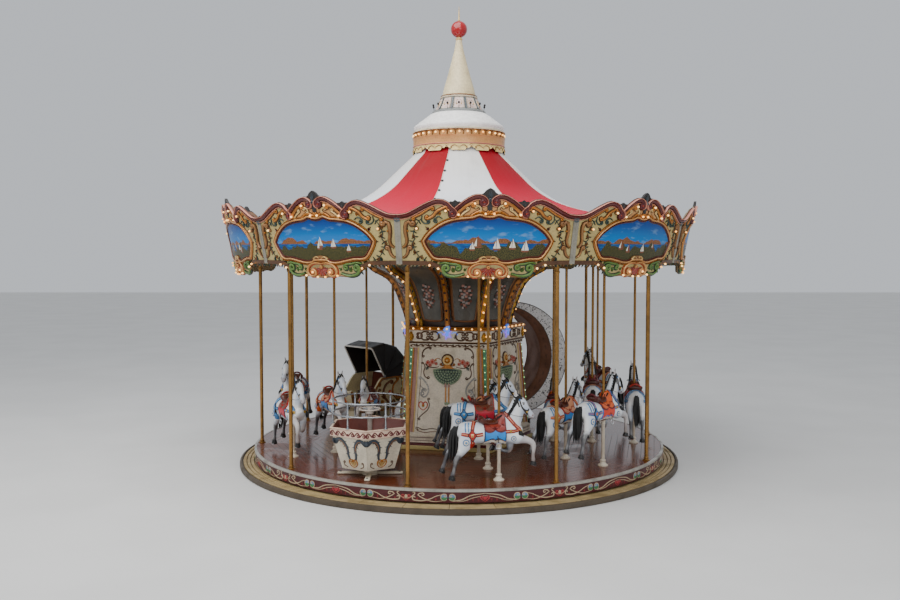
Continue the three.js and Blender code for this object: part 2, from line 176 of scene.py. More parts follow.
class Carving:
    """Points, faces and paints of one piece while it is being shaped.

    Each point carries a "flow": its place along and across the pattern and how far it stands out.
    """

    def __init__(self):
        self.points, self.flow, self.faces, self.paints = [], [], [], []
        self.count = 0

    def add(self, points, faces, paint, flow=None):
        points = np.asarray(points, float).reshape(-1, 3)
        if flow is None:
            flow = np.tile([0.0, 0.0, 1.0], (len(points), 1))
        self.points.append(points)
        self.flow.append(np.asarray(flow, float).reshape(-1, 3))
        self.faces += [tuple(i + self.count for i in face) for face in faces]
        self.paints += [paint] * len(faces)
        self.count += len(points)

    def take(self, other, move=None, repaint=None):
        """Adds all of another carving, moved by a function of its points"""
        points = np.concatenate(other.points)
        self.points.append(points if move is None else move(points))
        self.flow += other.flow
        self.faces += [tuple(i + self.count for i in face) for face in other.faces]
        repaint = repaint or {}
        self.paints += [repaint.get(paint, paint) for paint in other.paints]
        self.count += len(points)

    def moved(self, move):
        """A copy, its points moved by a function"""
        made = Carving()
        made.take(self, move)
        return made

    def grid(self, points, paint, flow=None, around=False, tall=False, flip=False):
        """Quads over a table of points; around joins its last column to the first, tall its last row"""
        rows, columns = points.shape[:2]
        faces = []
        for i in range(rows if tall else rows - 1):
            for j in range(columns if around else columns - 1):
                k, m = (j + 1) % columns, (i + 1) % rows
                face = (i * columns + j, i * columns + k, m * columns + k, m * columns + j)
                faces.append(face[::-1] if flip else face)
        self.add(points, faces, paint, flow)

    def cap(self, sides, rows, paint):
        """Closes both ends of the tube of points added last"""
        self.faces += [tuple(self.count - rows * sides + i for i in range(sides)),
                       tuple(self.count - sides + i for i in range(sides))[::-1]]
        self.paints += [paint] * 2

    def lathe(self, profile, sides, paint, start=0.0, centre=(0, 0), smooth=0, rise=1.0, flip=False):
        """Turns a profile of (radius, height) about the vertical; it runs up the outside unless flipped"""
        profile = smooth_line(profile, smooth) if smooth else np.asarray(profile, float)
        angles = start + np.linspace(0, 2 * math.pi, sides, endpoint=False)
        points = on_ring(angles[None, :], profile[:, :1], profile[:, 1:])
        points[..., 0] += centre[0]
        points[..., 1] += centre[1]
        flow = together(angles[None, :] * profile[:, :1], profile[:, 1:], rise)
        shut = bool(np.allclose(profile[0], profile[-1]))
        if shut:
            points, flow = points[:-1], flow[:-1]
        self.grid(points, paint, flow, around=True, tall=shut, flip=flip)
        for ring, spot, turned in ((0, profile[0], not flip), (len(profile) - 1, profile[-1], flip)):
            if spot[0] < 0.008:
                face = tuple(self.count - (len(profile) - ring) * sides + i for i in range(sides))
                self.faces.append(face[::-1] if turned else face)
                self.paints.append(paint)

    def turned(self, sides, bands, start=0.0):
        """Bands of (paint, profile) turned on one axis, one above the other"""
        for paint, profile in bands:
            self.lathe(profile, sides, paint, start)

    def tube(self, path, radius, paint, sides=8, closed=False, flat=1.0, up=(0, 0, 1)):
        """A round or oval bar along a path, its ends drawn shut"""
        path = np.asarray(path, float)
        n = len(path)
        if closed:
            ahead = np.roll(path, -1, 0) - np.roll(path, 1, 0)
        else:
            ahead = np.gradient(path, axis=0)
        ahead /= np.linalg.norm(ahead, axis=1, keepdims=True)
        first = np.cross(ahead, np.asarray(up, float))
        first /= np.maximum(np.linalg.norm(first, axis=1, keepdims=True), 1e-6)
        second = np.cross(first, ahead)
        t = np.linspace(0, 1, n)
        size = radius(t) if callable(radius) else np.full(n, radius)
        turn = np.linspace(0, 2 * math.pi, sides, endpoint=False)
        points = (path[:, None] + size[:, None, None] * (np.cos(turn)[None, :, None] * first[:, None]
                                                         + flat * np.sin(turn)[None, :, None]
                                                         * second[:, None]))
        flow = together(t[:, None] * n, turn[None, :], 1.0)
        self.grid(points, paint, flow, around=True, tall=closed, flip=True)
        if not closed:
            self.cap(sides, n, paint)

    def relief(self, onto, path, width, height, paint, profile=ROUND, sink=0.002, closed=False):
        """A raised line on a surface; onto turns (along, up, out) into points"""
        path = np.asarray(path, float)
        n = len(path)
        if closed:
            ahead = np.roll(path, -1, 0) - np.roll(path, 1, 0)
        else:
            ahead = np.gradient(path, axis=0)
        ahead /= np.maximum(np.linalg.norm(ahead, axis=1, keepdims=True), 1e-9)
        across = np.stack([-ahead[:, 1], ahead[:, 0]], 1)
        t = np.linspace(0, 1, n)
        half = (width(t) if callable(width) else np.full(n, width)) / 2
        out = height(t) if callable(height) else np.full(n, height)
        spots = path[:, None] + across[:, None] * (profile[None, :, :1] * half[:, None, None])
        lift = profile[None, :, 1] * out[:, None] - sink
        points = onto(spots[..., 0], spots[..., 1], lift)
        flow = together(t[:, None] * n * 0.05, profile[None, :, 0], profile[None, :, 1])
        self.grid(points, paint, flow, tall=closed, flip=handed(onto, *path[n // 2]) > 0)

    def leaf(self, onto, base, angle, length, width, height, paint, bend=0.6, steps=5):
        """A pointed leaf with a sunk middle, bending to its left as it grows"""
        t = np.linspace(0, 1, steps)
        heading = angle + bend * t
        step = length / (steps - 1)
        path = np.asarray(base, float) + np.concatenate([
            [[0, 0]], np.cumsum(step * np.stack([np.cos(heading), np.sin(heading)], 1)[1:], axis=0)])
        self.relief(onto, path, lambda t: width * (0.35 + 1.3 * t) * (1 - t ** 2) + 0.001,
                    lambda t: height * (0.5 + t) * (1 - 0.75 * t), paint, CREASED)

    def acanthus(self, onto, base, angle, size, height, paint, lobes=5, spread=1.1):
        """A fan of leaves, the middle one longest"""
        for i in range(lobes):
            lean = (i / (lobes - 1) - 0.5) * 2
            reach = size * (1 - 0.38 * abs(lean))
            self.leaf(onto, base, angle + spread * lean, reach, size * 0.34, height * (1 - 0.3 * abs(lean)),
                      paint, bend=-0.9 * lean)

    def vine(self, onto, path, leaf, height, paint, every=3):
        """A stem with leaves to both sides"""
        self.relief(onto, path, swell(leaf * 0.3, 0.4), height * 0.6, paint)
        for i in range(1, len(path) - 1, every):
            ahead = path[i + 1] - path[i - 1]
            heading = math.atan2(ahead[1], ahead[0])
            for side in (1, -1):
                self.leaf(onto, path[i], heading + side * 0.8, leaf, leaf * 0.42, height, paint, side * 0.7,
                          4)

    def boss(self, onto, middle, radius, height, paint, petals=0, cut=0.25, sides=16, dome=0.6):
        """A raised round or petalled knob, closed over its middle"""
        turn = np.linspace(0, 2 * math.pi, sides, endpoint=False)
        shape = 1 - cut * np.abs(np.cos(petals * turn / 2)) ** 0.7 if petals else np.ones(sides)
        rings = [(1, 0), (0.88, 1 - dome * 0.5), (0.5, 1), (0.12, 1 - dome * 0.6 if petals else 1.05)]
        table = np.array([[(middle[0] + radius * r * s * math.cos(a),
                            middle[1] + radius * r * s * math.sin(a), height * h - 0.002) for a,
                           s in zip(turn, shape)] for r, h in rings])
        points = onto(table[..., 0], table[..., 1], table[..., 2])
        flow = together(turn[None], np.array([r for r, h in rings])[:, None],
                        np.array([h for r, h in rings])[:, None])
        mirrored = handed(onto, *middle) < 0
        self.grid(points, paint, flow, around=True, flip=mirrored)
        face = tuple(self.count - sides + i for i in range(sides))
        self.faces.append(face[::-1] if mirrored else face)
        self.paints.append(paint)

    def quilt(self, onto, u, v, out, paint):
        """A padded patch over tables of u and v, its rim turned down to the surface"""
        u, v = np.pad(u, 1, mode="edge"), np.pad(v, 1, mode="edge")
        lift = np.pad(np.full((u.shape[0] - 2, u.shape[1] - 2), float(out)), 1, constant_values=-0.003)
        flow = np.stack([u, v, np.ones_like(u)], -1)
        tidy = handed(onto, u[1, 1], v[1, 1]) < 0
        if v[-1, 1] < v[0, 1]:
            tidy = not tidy
        self.grid(onto(u, v, lift), paint, flow, flip=tidy)

    def plate(self, onto, outline, height, paint, sink=0.002, back=False):
        """A flat raised shape with upright edges, closed behind if back is set"""
        outline = np.asarray(outline, float)
        area = np.sum(outline[:, 0] * np.roll(outline[:, 1], -1) - np.roll(outline[:, 0], -1) * outline[:, 1])
        if area < 0:
            outline = outline[::-1]
        mirrored = handed(onto, *outline[0]) < 0
        n = len(outline)
        edge = np.array([-sink, height])
        points = onto(outline[None, :, 0], outline[None, :, 1], np.broadcast_to(edge[:, None], (2, n)))
        flow = together(outline[None, :, 0], outline[None, :, 1], np.ones((2, 1)))
        start = self.count
        self.grid(points, paint, flow, around=True, flip=mirrored)
        flat = [[Vector((x, y, 0)) for x, y in outline]]
        for face in tessellate_polygon(flat):
            (ax, ay), (bx, by), (cx, cy) = outline[list(face)]
            if ((bx - ax) * (cy - ay) - (cx - ax) * (by - ay) < 0) != mirrored:
                face = face[::-1]
            self.faces.append(tuple(start + n + i for i in face))
            self.paints.append(paint)
            if back:
                self.faces.append(tuple(start + i for i in face)[::-1])
                self.paints.append(paint)

    def slab(self, onto, along, low, high, rows, front, back, paint, back_paint=None):
        """A curved board between two heights with a front, a back and closed edges"""
        t = np.linspace(0, 1, rows)[:, None]
        heights = low[None] + (high - low)[None] * t
        u = np.broadcast_to(along[None], heights.shape)
        flow = np.stack([u, heights, np.ones_like(u)], -1)
        faces = [onto(u, heights, np.full_like(u, depth)) for depth in (front, back)]
        self.grid(faces[0], paint, flow)
        self.grid(faces[1], back_paint or paint, flow, flip=True)
        rim = [around_edge(face) for face in faces[::-1]]
        self.grid(np.array(rim), back_paint or paint, None, around=True)


def handed(onto, u, v):
    """1 where along, up and out make a right-handed set on a surface, otherwise -1"""
    spots = onto(np.array([u, u + 0.01, u, u]), np.array([v, v, v + 0.01, v]),
                 np.array([0.0, 0.0, 0.0, 0.01]))
    right, up, out = spots[1:] - spots[0]
    return 1 if np.dot(np.cross(right, up), out) > 0 else -1


def box(carving, low, high, paint, turn=0.0, bevel=0.0):
    """A block with its edges taken off"""
    low, high = np.asarray(low, float), np.asarray(high, float)
    c = min(bevel, *(0.45 * (high - low)))
    rings = [(low[2], c), (low[2] + c, 0), (high[2] - c, 0), (high[2], c)]
    table = []
    for z, inset in rings:
        a, b, x, y = low[0] + inset, high[0] - inset, low[1] + inset, high[1] - inset
        table.append([(a + c, x, z), (b - c, x, z), (b, x + c, z), (b, y - c, z), (b - c, y, z),
                      (a + c, y, z), (a, y - c, z), (a, x + c, z)])
    points = np.array(table)
    cos, sin = math.cos(turn), math.sin(turn)
    points = np.stack([points[..., 0] * cos - points[..., 1] * sin,
                       points[..., 0] * sin + points[..., 1] * cos, points[..., 2]], -1)
    start = carving.count
    carving.grid(points, paint, None, around=True)
    carving.faces += [tuple(start + i for i in range(8))[::-1], tuple(start + 24 + i for i in range(8))]
    carving.paints += [paint] * 2


def bent_board(middle, radius, foot, lean):
    """Surface of a leaning ring, u along the arc from the middle angle, v the height"""
    def onto(u, v, out):
        r = radius + lean * (v - foot)
        return on_ring(middle + u / radius, r + out, v)
    return onto


def flat_face(origin, right, up, outward):
    """A plane: u along right, v along up, out along its normal"""
    origin, right, up, outward = (np.asarray(v, float) for v in (origin, right, up, outward))

    def onto(u, v, out):
        u, v, out = (np.asarray(a)[..., None] for a in (u, v, out))
        return origin + u * right + v * up + out * outward
    return onto


def drum_face(side, profile, corners=DRUM_CORNERS, first=DRUM_FIRST):
    """One face of a prism whose corner radius follows a profile of (radius, height); v is the height"""
    heights = [z for r, z in profile]
    radii = [r for r, z in profile]
    middle = first + (side + 0.5) * 2 * math.pi / corners
    flat = math.cos(math.pi / corners)
    outward = on_ring(middle, 1.0, 0.0)
    right = np.array([-outward[1], outward[0], 0.0])

    def onto(u, v, out):
        u, v, out = np.broadcast_arrays(u, v, out)
        reach = np.interp(v, heights, radii) * flat + out
        return reach[..., None] * outward + u[..., None] * right + v[..., None] * np.array([0, 0, 1.0])
    return onto


PAINTS = {}


def given_to_frame(name, mesh, body, replaces=()):
    """The object of a finished mesh, with its body and the nodes that it stands for"""
    made = bpy.data.objects.new(name, mesh)
    bpy.context.scene.collection.objects.link(made)
    if replaces:
        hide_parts(*replaces)
    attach(made, body)
    return made


def piece(name, carving, body, replaces=(), weld=True, sharp=38):
    """Makes a finished object of a carving, hides the solids that it replaces and attaches it to its body"""
    mesh = bpy.data.meshes.new(name)
    points = np.concatenate(carving.points)
    mesh.from_pydata([tuple(p) for p in points], [], carving.faces)
    used = list(dict.fromkeys(carving.paints))
    for paint in used:
        mesh.materials.append(PAINTS[paint])
    mesh.polygons.foreach_set("material_index", [used.index(p) for p in carving.paints])
    flow = mesh.attributes.new("flow", "FLOAT_VECTOR", "POINT")
    flow.data.foreach_set("vector", np.concatenate(carving.flow).astype(np.float32).ravel())
    if weld:
        work = bmesh.new()
        work.from_mesh(mesh)
        bmesh.ops.dissolve_degenerate(work, dist=1e-6, edges=work.edges)
        work.to_mesh(mesh)
        work.free()
    mesh.polygons.foreach_set("use_smooth", [True] * len(mesh.polygons))
    mesh.set_sharp_from_angle(angle=math.radians(sharp))
    mesh.update()
    return given_to_frame(name, mesh, body, replaces)


# Geometry Nodes: one small motif set out on a cloud of points


def node(tree, kind, inputs=None, **settings):
    made = tree.nodes.new(kind)
    for key, value in settings.items():
        setattr(made, key, value)
    for key, value in (inputs or {}).items():
        if isinstance(value, bpy.types.NodeSocket):
            tree.links.new(value, made.inputs[key])
        else:
            made.inputs[key].default_value = value
    return made


def repeat_tree(name):
    """Motif on Points: copies a small mesh to each point, turned to face outwards"""
    tree = bpy.data.node_groups.new(name, "GeometryNodeTree")
    sockets = [("Points", "NodeSocketGeometry"), ("Motif", "NodeSocketObject"), ("Size", "NodeSocketFloat"),
               ("Size Change", "NodeSocketFloat"), ("Seed", "NodeSocketInt"),
               ("Finish", "NodeSocketMaterial")]
    for label, kind in sockets:
        tree.interface.new_socket(name=label, in_out="INPUT", socket_type=kind)
    tree.interface.new_socket(name="Set Out", in_out="OUTPUT", socket_type="NodeSocketGeometry")
    given = tree.nodes.new("NodeGroupInput").outputs
    spots = node(tree, "GeometryNodeMeshToPoints", {"Mesh": given["Points"]})
    motif = node(tree, "GeometryNodeObjectInfo", {"Object": given["Motif"]}, transform_space="ORIGINAL")
    facing = node(tree, "GeometryNodeInputNamedAttribute", {"Name": "facing"}, data_type="FLOAT_VECTOR")
    turn = node(tree, "FunctionNodeAlignRotationToVector", {"Vector": facing.outputs[0]}, axis="Z")
    less = node(tree, "ShaderNodeMath", {0: 1.0, 1: given["Size Change"]}, operation="SUBTRACT")
    chance = node(tree, "FunctionNodeRandomValue", {2: less.outputs[0], 3: 1.0, "Seed": given["Seed"]},
                  data_type="FLOAT")
    scale = node(tree, "ShaderNodeMath", {0: given["Size"], 1: chance.outputs[1]}, operation="MULTIPLY")
    placed = node(tree, "GeometryNodeInstanceOnPoints",
                  {"Points": spots.outputs[0], "Instance": motif.outputs["Geometry"],
                   "Rotation": turn.outputs[0], "Scale": scale.outputs[0]})
    real = node(tree, "GeometryNodeRealizeInstances", {0: placed.outputs[0]})
    painted = node(tree, "GeometryNodeSetMaterial",
                   {"Geometry": real.outputs[0], "Material": given["Finish"]})
    node(tree, "NodeGroupOutput", {0: painted.outputs[0]})
    return tree


def repeated(name, carving, paint, spots, facings, body, size=1.0, change=0.0, seed=1):
    """Sets a small carving out on spots with the Motif on Points tree and makes one plain mesh of them"""
    tree = bpy.data.node_groups.get("motif on points") or repeat_tree("motif on points")
    small = bpy.data.meshes.new(name + "_motif")
    small.from_pydata([tuple(p) for p in np.concatenate(carving.points)], [], carving.faces)
    motif = bpy.data.objects.new(name + "_motif", small)
    cloud = bpy.data.meshes.new(name + "_spots")
    spots = np.asarray(spots, float)
    cloud.from_pydata([tuple(p) for p in spots], [], [])
    facing = cloud.attributes.new("facing", "FLOAT_VECTOR", "POINT")
    facing.data.foreach_set("vector", np.asarray(facings, np.float32).ravel())
    holder = bpy.data.objects.new(name + "_holder", cloud)
    for made in (motif, holder):
        bpy.context.scene.collection.objects.link(made)
    maker = holder.modifiers.new("set out", "NODES")
    maker.node_group = tree
    keys = {item.name: item.identifier for item in tree.interface.items_tree if item.in_out == "INPUT"}
    for label, value in (("Motif", motif), ("Size", size), ("Size Change", change), ("Seed", seed),
                         ("Finish", PAINTS[paint])):
        maker[keys[label]] = value
    graph = bpy.context.evaluated_depsgraph_get()
    mesh = bpy.data.meshes.new_from_object(holder.evaluated_get(graph), depsgraph=graph)
    holder.modifiers.remove(maker)
    for made in (motif, holder):
        bpy.data.objects.remove(made)
    if "facing" in mesh.attributes:
        mesh.attributes.remove(mesh.attributes["facing"])
    mesh.name = name
    mesh.materials.clear()
    mesh.materials.append(PAINTS[paint])
    mesh.polygons.foreach_set("material_index", [0] * len(mesh.polygons))
    mesh.polygons.foreach_set("use_smooth", [True] * len(mesh.polygons))
    mesh.set_sharp_from_angle(angle=math.radians(40))
    return given_to_frame(name, mesh, body)


def bulb_motif(radius):
    """A round lamp on a short cap, along +Z"""
    lamp = Carving()
    ball = [(0.55, 0), (0.95, 0.5), (0.95, 1.1), (0.5, 1.75), (0.08, 1.95)]
    lamp.lathe([(0.5, -0.3)] + ball, 8, "lamp")
    lamp.points[0] = lamp.points[0] * radius
    lamp.faces += [tuple(range(40, 48)), tuple(range(8))[::-1]]
    lamp.paints += ["lamp"] * 2
    return lamp


# Materials


def linear(code):
    """Scene colour of a six-digit screen colour"""
    parts = [int(code[i:i + 2], 16) / 255 for i in (0, 2, 4)]
    return tuple((c / 12.92 if c <= 0.04045 else ((c + 0.055) / 1.055) ** 2.4) for c in parts) + (1.0,)


def mix(tree, factor, a, b, mode="MIX"):
    made = tree.nodes.new("ShaderNodeMix")
    made.data_type, made.blend_type = "RGBA", mode
    for index, value in ((0, factor), (6, a), (7, b)):
        if isinstance(value, bpy.types.NodeSocket):
            tree.links.new(value, made.inputs[index])
        else:
            made.inputs[index].default_value = value
    return made.outputs[2]


def sums(tree, operation, a, b=0.0, c=0.0):
    made = tree.nodes.new("ShaderNodeMath")
    made.operation = operation
    for index, value in enumerate((a, b, c)):
        if isinstance(value, bpy.types.NodeSocket):
            tree.links.new(value, made.inputs[index])
        else:
            made.inputs[index].default_value = value
    return made.outputs[0]


def times(tree, a, b):
    """Two values multiplied"""
    return sums(tree, "MULTIPLY", a, b)


def fade(tree, value, low, high, start=0.0, end=1.0):
    """Smooth step of a value from start to end between low and high"""
    made = node(tree, "ShaderNodeMapRange", {0: value, 1: low, 2: high, 3: start, 4: end},
                interpolation_type="SMOOTHSTEP")
    return made.outputs[0]


def noise(tree, where, scale, detail=3.0, stretch=None):
    if stretch:
        where = node(tree, "ShaderNodeMapping", {"Vector": where, "Scale": stretch}).outputs[0]
    return node(tree, "ShaderNodeTexNoise",
                {"Vector": where, "Scale": scale, "Detail": detail}).outputs["Fac"]


def effect(name, given, gives):
    """An empty shader node group with named inputs and outputs; the caller fills it"""
    tree = bpy.data.node_groups.new(name, "ShaderNodeTree")
    kinds = {float: "NodeSocketFloat", tuple: "NodeSocketColor", str: "NodeSocketVector"}
    for label, value in given:
        socket = tree.interface.new_socket(name=label, in_out="INPUT", socket_type=kinds[type(value)])
        if not isinstance(value, str):
            socket.default_value = value
    for label, kind in gives:
        tree.interface.new_socket(name=label, in_out="OUTPUT", socket_type=kind)
    return tree, tree.nodes.new("NodeGroupInput").outputs, tree.nodes.new("NodeGroupOutput").inputs


COLOUR, VALUE = "NodeSocketColor", "NodeSocketFloat"
WHITE, BLACK = (1.0, 1.0, 1.0, 1.0), (0.0, 0.0, 0.0, 1.0)


def aged_paint_and_shade():
    """Patches of grime and fading, and painted shade: a darker colour in the hollows of carved work"""
    tree, given, gives = effect("aged paint and shade", [
        ("Colour", WHITE), ("Shade Colour", BLACK), ("Grime Colour", BLACK), ("Grime", 0.3), ("Patch", 6.0),
        ("Shade Amount", 1.0), ("Gloss", 0.4)], [("Colour", COLOUR), ("Roughness", VALUE), ("Height", VALUE)])
    place = tree.nodes.new("ShaderNodeTexCoord").outputs["Object"]
    rise = node(tree, "ShaderNodeSeparateXYZ", {0: node(
        tree, "ShaderNodeAttribute", attribute_name="flow").outputs["Vector"]}).outputs[2]
    broad = noise(tree, place, given["Patch"], 4.0)
    fine = noise(tree, place, times(tree, given["Patch"], 9.0), 3.0)
    # Painted shade: the low parts of carved work take the shade colour
    recess_shade = times(tree, fade(tree, rise, 0.85, 0.1), given["Shade Amount"])
    paint = mix(tree, recess_shade, given["Colour"], given["Shade Colour"])
    dirt = times(tree, fade(tree, broad, 0.45, 0.72), given["Grime"])
    paint = mix(tree, dirt, paint, given["Grime Colour"])
    shade = node(tree, "ShaderNodeCombineColor", {
        k: fade(tree, fine, 0.3, 0.7, 0.88, 1.06) for k in (0, 1, 2)}).outputs[0]
    tree.links.new(mix(tree, 1.0, paint, shade, "MULTIPLY"), gives["Colour"])
    tree.links.new(sums(tree, "ADD", given["Gloss"], fade(tree, broad, 0.35, 0.75, -0.06, 0.18)),
                   gives["Roughness"])
    tree.links.new(fine, gives["Height"])
    return tree


def object_place(tree):
    """The place on the object, in its own metres"""
    return tree.nodes.new("ShaderNodeTexCoord").outputs["Object"]


def flow_parts(tree):
    """The three parts of each point's flow"""
    vector = node(tree, "ShaderNodeAttribute", attribute_name="flow").outputs["Vector"]
    return node(tree, "ShaderNodeSeparateXYZ", {0: vector}).outputs


def pattern_place(tree, u, v=0.0, w=0.0):
    """A place on the pattern, made of its parts"""
    return node(tree, "ShaderNodeCombineXYZ", {0: u, 1: v, 2: w}).outputs[0]


def material(name, colour=None, rough=None, height=0.001, metal=0.0, coat=0.0, glow=None, shine=0.5,
             fill=None):
    """A Principled material; fill(tree) returns the sockets that it is painted with"""
    made = bpy.data.materials.new(name)
    made.use_nodes = True
    tree = made.node_tree
    shader = tree.nodes["Principled BSDF"]
    shader.inputs["Metallic"].default_value = metal
    shader.inputs["Coat Weight"].default_value = coat
    shader.inputs["Coat Roughness"].default_value = 0.08
    shader.inputs["Specular IOR Level"].default_value = shine
    links = fill(tree) if fill else {}
    for label, value in (("Base Color", colour), ("Roughness", rough)):
        value = links.get(label, value)
        if isinstance(value, bpy.types.NodeSocket):
            tree.links.new(value, shader.inputs[label])
        elif value is not None:
            shader.inputs[label].default_value = value
    if "Height" in links:
        bump = node(tree, "ShaderNodeBump", {"Height": links["Height"], "Distance": height, "Strength": 1.0})
        tree.links.new(bump.outputs[0], shader.inputs["Normal"])
    for label in ("Metallic", "Emission Color"):
        if label in links:
            tree.links.new(links[label], shader.inputs[label])
    if glow:
        shader.inputs["Emission Strength"].default_value = glow
    PAINTS[name] = made
    return made


def painted(name, code, shade_colour="2a160c", grime="4a3a28", amount=0.3, patch=6.0, gloss=0.38, shade_amount=1.0,
            height=0.0006, metal=0.0, coat=0.0, glow=None):
    """A finish made with the aged paint and shade group; its second colour is painted shade in the hollows of
    carved work
    """
    def fill(tree):
        colours = [linear(c) if isinstance(c, str) else c for c in (code, shade_colour, grime)]
        made = node(tree, "ShaderNodeGroup", node_tree=bpy.data.node_groups["aged paint and shade"])
        for label, value in zip(("Colour", "Shade Colour", "Grime Colour", "Grime", "Patch", "Shade Amount",
                                 "Gloss"),
                                colours + [amount, patch, shade_amount, gloss]):
            made.inputs[label].default_value = value
        links = {"Base Color": made.outputs[0], "Roughness": made.outputs[1], "Height": made.outputs[2]}
        return {**links, "Emission Color": made.outputs[0]} if glow else links
    return material(name, fill=fill, height=height, metal=metal, coat=coat, glow=glow)


def carved_paints(colours):
    """Grounds, golds, leaves and metals that many pieces share, and the lamps"""
    painted("cream", colours.cream, "8a6a44", "8f7a55", 0.35, 5.0, 0.42)
    painted("ivory", "ddd0ba", "8c7450", "8a7858", 0.35, 5.0, 0.4)
    painted("gold", colours.gold, "3a1c0a", "4a2a12", 0.35, 9.0, 0.3, metal=0.35)
    painted("pale gold", "d9b878", "6a421c", "6b4a26", 0.3, 8.0, 0.34, metal=0.15)
    painted("oxblood", colours.oxblood, "2a0806", "1e0a08", 0.3, 7.0, 0.35)
    painted("rose line", "b06a62", "5a241e", "6a4038", 0.3, 7.0, 0.4)
    painted("leaf green", colours.leaf_green, "16240e", "1c2010", 0.35, 10.0, 0.4)
    painted("dark leaf", "2c4038", "0c1412", "101210", 0.35, 10.0, 0.4)
    painted("crest teal", "4a545a", "14181a", "1e1e1c", 0.35, 10.0, 0.36)
    painted("coral", colours.coral, "5c1a10", "5a2216", 0.3, 9.0, 0.38)
    painted("joint grey", "8f8a7c", "5a5448", "5a5448", 0.4, 8.0, 0.5)
    painted("board back", "8d7a5c", "4a3a28", "4a3a28", 0.4, 4.0, 0.6)
    painted("brass", "98703a", "5a4220", "4c3820", 0.45, 5.0, 0.3, metal=0.8)
    painted("steel", "5a5c5a", "3a3a3a", "2f2a26", 0.5, 5.0, 0.5, metal=0.5)
    painted("hub steel", "5a5c5a", "3a3a3a", "2f2a26", 0.5, 5.0, 0.5, shade_amount=0.0, metal=0.5)
    painted("ceiling paint", "c8baa0", "8c7450", "8a7858", 0.35, 4.0, 0.45, shade_amount=0.0)
    painted("trim metal", "b4b0a6", "6e6a62", "5f564a", 0.4, 6.0, 0.35, metal=0.6)
    painted("dome white", "f6f4f0", "c8c4ba", "c0bcb4", 0.3, 2.2, 0.45, height=0.0012)

    def lamp(tree):
        place = object_place(tree)
        warm = mix(tree, fade(tree, noise(tree, place, 14.0, 1.0), 0.4, 0.6), linear("ffb45c"),
                   linear("ffd28c"))
        return {"Base Color": warm, "Emission Color": warm}
    material("lamp", rough=0.25, glow=2.0, coat=0.5, fill=lamp)


def picture_paints():
    """The painted coast in the ovals and its sails"""
    def picture(tree):
        u, v, _ = flow_parts(tree)
        where = pattern_place(tree, u, v)
        line = pattern_place(tree, u)
        clouds = fade(tree, noise(tree, where, 5.0, 5.0, (1.0, 2.6, 1.0)), 0.54, 0.7)
        sky = mix(tree, fade(tree, v, -0.02, 0.22), linear("0c70b8"), linear("003c88"))
        sky = mix(tree, times(tree, clouds, 0.3), sky, linear("9cc0d8"))
        streaks = fade(tree, noise(tree, where, 9.0, 4.0, (1.0, 9.0, 1.0)), 0.45, 0.65)
        water = mix(tree, streaks, linear("033c7c"), linear("1a6ca4"))
        scene = mix(tree, fade(tree, v, -0.075, -0.065), water, sky)
        far = sums(tree, "MULTIPLY_ADD", noise(tree, line, 3.2, 4.0), 0.34, -0.2)
        near = sums(tree, "MULTIPLY_ADD", noise(tree, line, 5.1, 5.0), 0.5, -0.35)
        under = times(tree, fade(tree, v, -0.075, -0.07), fade(tree, sums(tree, "SUBTRACT", far, v),
                                                               0.0, 0.008))
        scene = mix(tree, under, scene,
                    mix(tree, fade(tree, noise(tree, where, 60.0, 6.0, (1.0, 1.8, 1.0)), 0.4, 0.6),
                        linear("6a3c20"), linear("90603a")))
        shore = fade(tree, sums(tree, "SUBTRACT", near, v), 0.0, 0.01)
        land = mix(tree, fade(tree, noise(tree, where, 70.0, 6.0, (1.0, 1.8, 1.0)), 0.42, 0.6),
                   linear("141f12"), linear("5c5428"))
        return {"Base Color": mix(tree, shore, scene, land), "Height": noise(tree, where, 60.0, 3.0)}
    material("picture", rough=0.4, coat=0.1, shine=0.25, height=0.0005, fill=picture)
    painted("sail white", "e8e0d0", "b0a890", "9a8a70", 0.2, 30.0, 0.4)
    painted("sail brown", "7a4226", "3a1c10", "3a2414", 0.2, 30.0, 0.4)


def canopy_paints(colours):
    """The striped cloth and its seams"""
    def cloth(tree):
        u, v, band = flow_parts(tree)
        place = object_place(tree)
        height = node(tree, "ShaderNodeSeparateXYZ", {0: place}).outputs[2]
        stripe = fade(tree, band, 0.49, 0.51)
        # Painted shade: both stripes are painted darker towards the top
        red = mix(tree, fade(tree, height, 3.7, 4.7), linear("c60834"), tuple(colours.canopy_red) + (1.0,))
        white = mix(tree, fade(tree, height, 3.9, 4.8), linear("e6e8ec"),
                    tuple(colours.canopy_white) + (1.0,))
        ground = mix(tree, stripe, red, white)
        blotch = fade(tree, noise(tree, place, 2.2, 5.0), 0.5, 0.75)
        soiled = times(tree, blotch, fade(tree, band, 0.49, 0.51, 0.05, 0.16))
        ground = mix(tree, soiled, ground, linear("8c7f78"))
        where = pattern_place(tree, u, v)
        runs = fade(tree, noise(tree, where, 2.0, 4.0, (9.0, 0.6, 1.0)), 0.52, 0.72)
        ground = mix(tree, times(tree, runs, 0.08), ground, linear("6f6a66"))
        weft = node(tree, "ShaderNodeTexWave", {"Vector": where, "Scale": 160.0},
                    bands_direction="X").outputs["Fac"]
        warp = node(tree, "ShaderNodeTexWave", {"Vector": where, "Scale": 160.0},
                    bands_direction="Y").outputs["Fac"]
        weave = times(tree, weft, warp)
        folds = noise(tree, where, 1.6, 2.0, (2.0, 0.5, 1.0))
        return {"Base Color": ground, "Roughness": fade(tree, blotch, 0.0, 1.0, 0.5, 0.68),
                "Height": sums(tree, "ADD", times(tree, weave, 0.12), times(tree, folds, 4.0))}
    material("canopy cloth", height=0.002, shine=0.15, fill=cloth)
    painted("welt", "d8cfc4", "a09484", "8c8274", 0.35, 8.0, 0.55, height=0.0008)


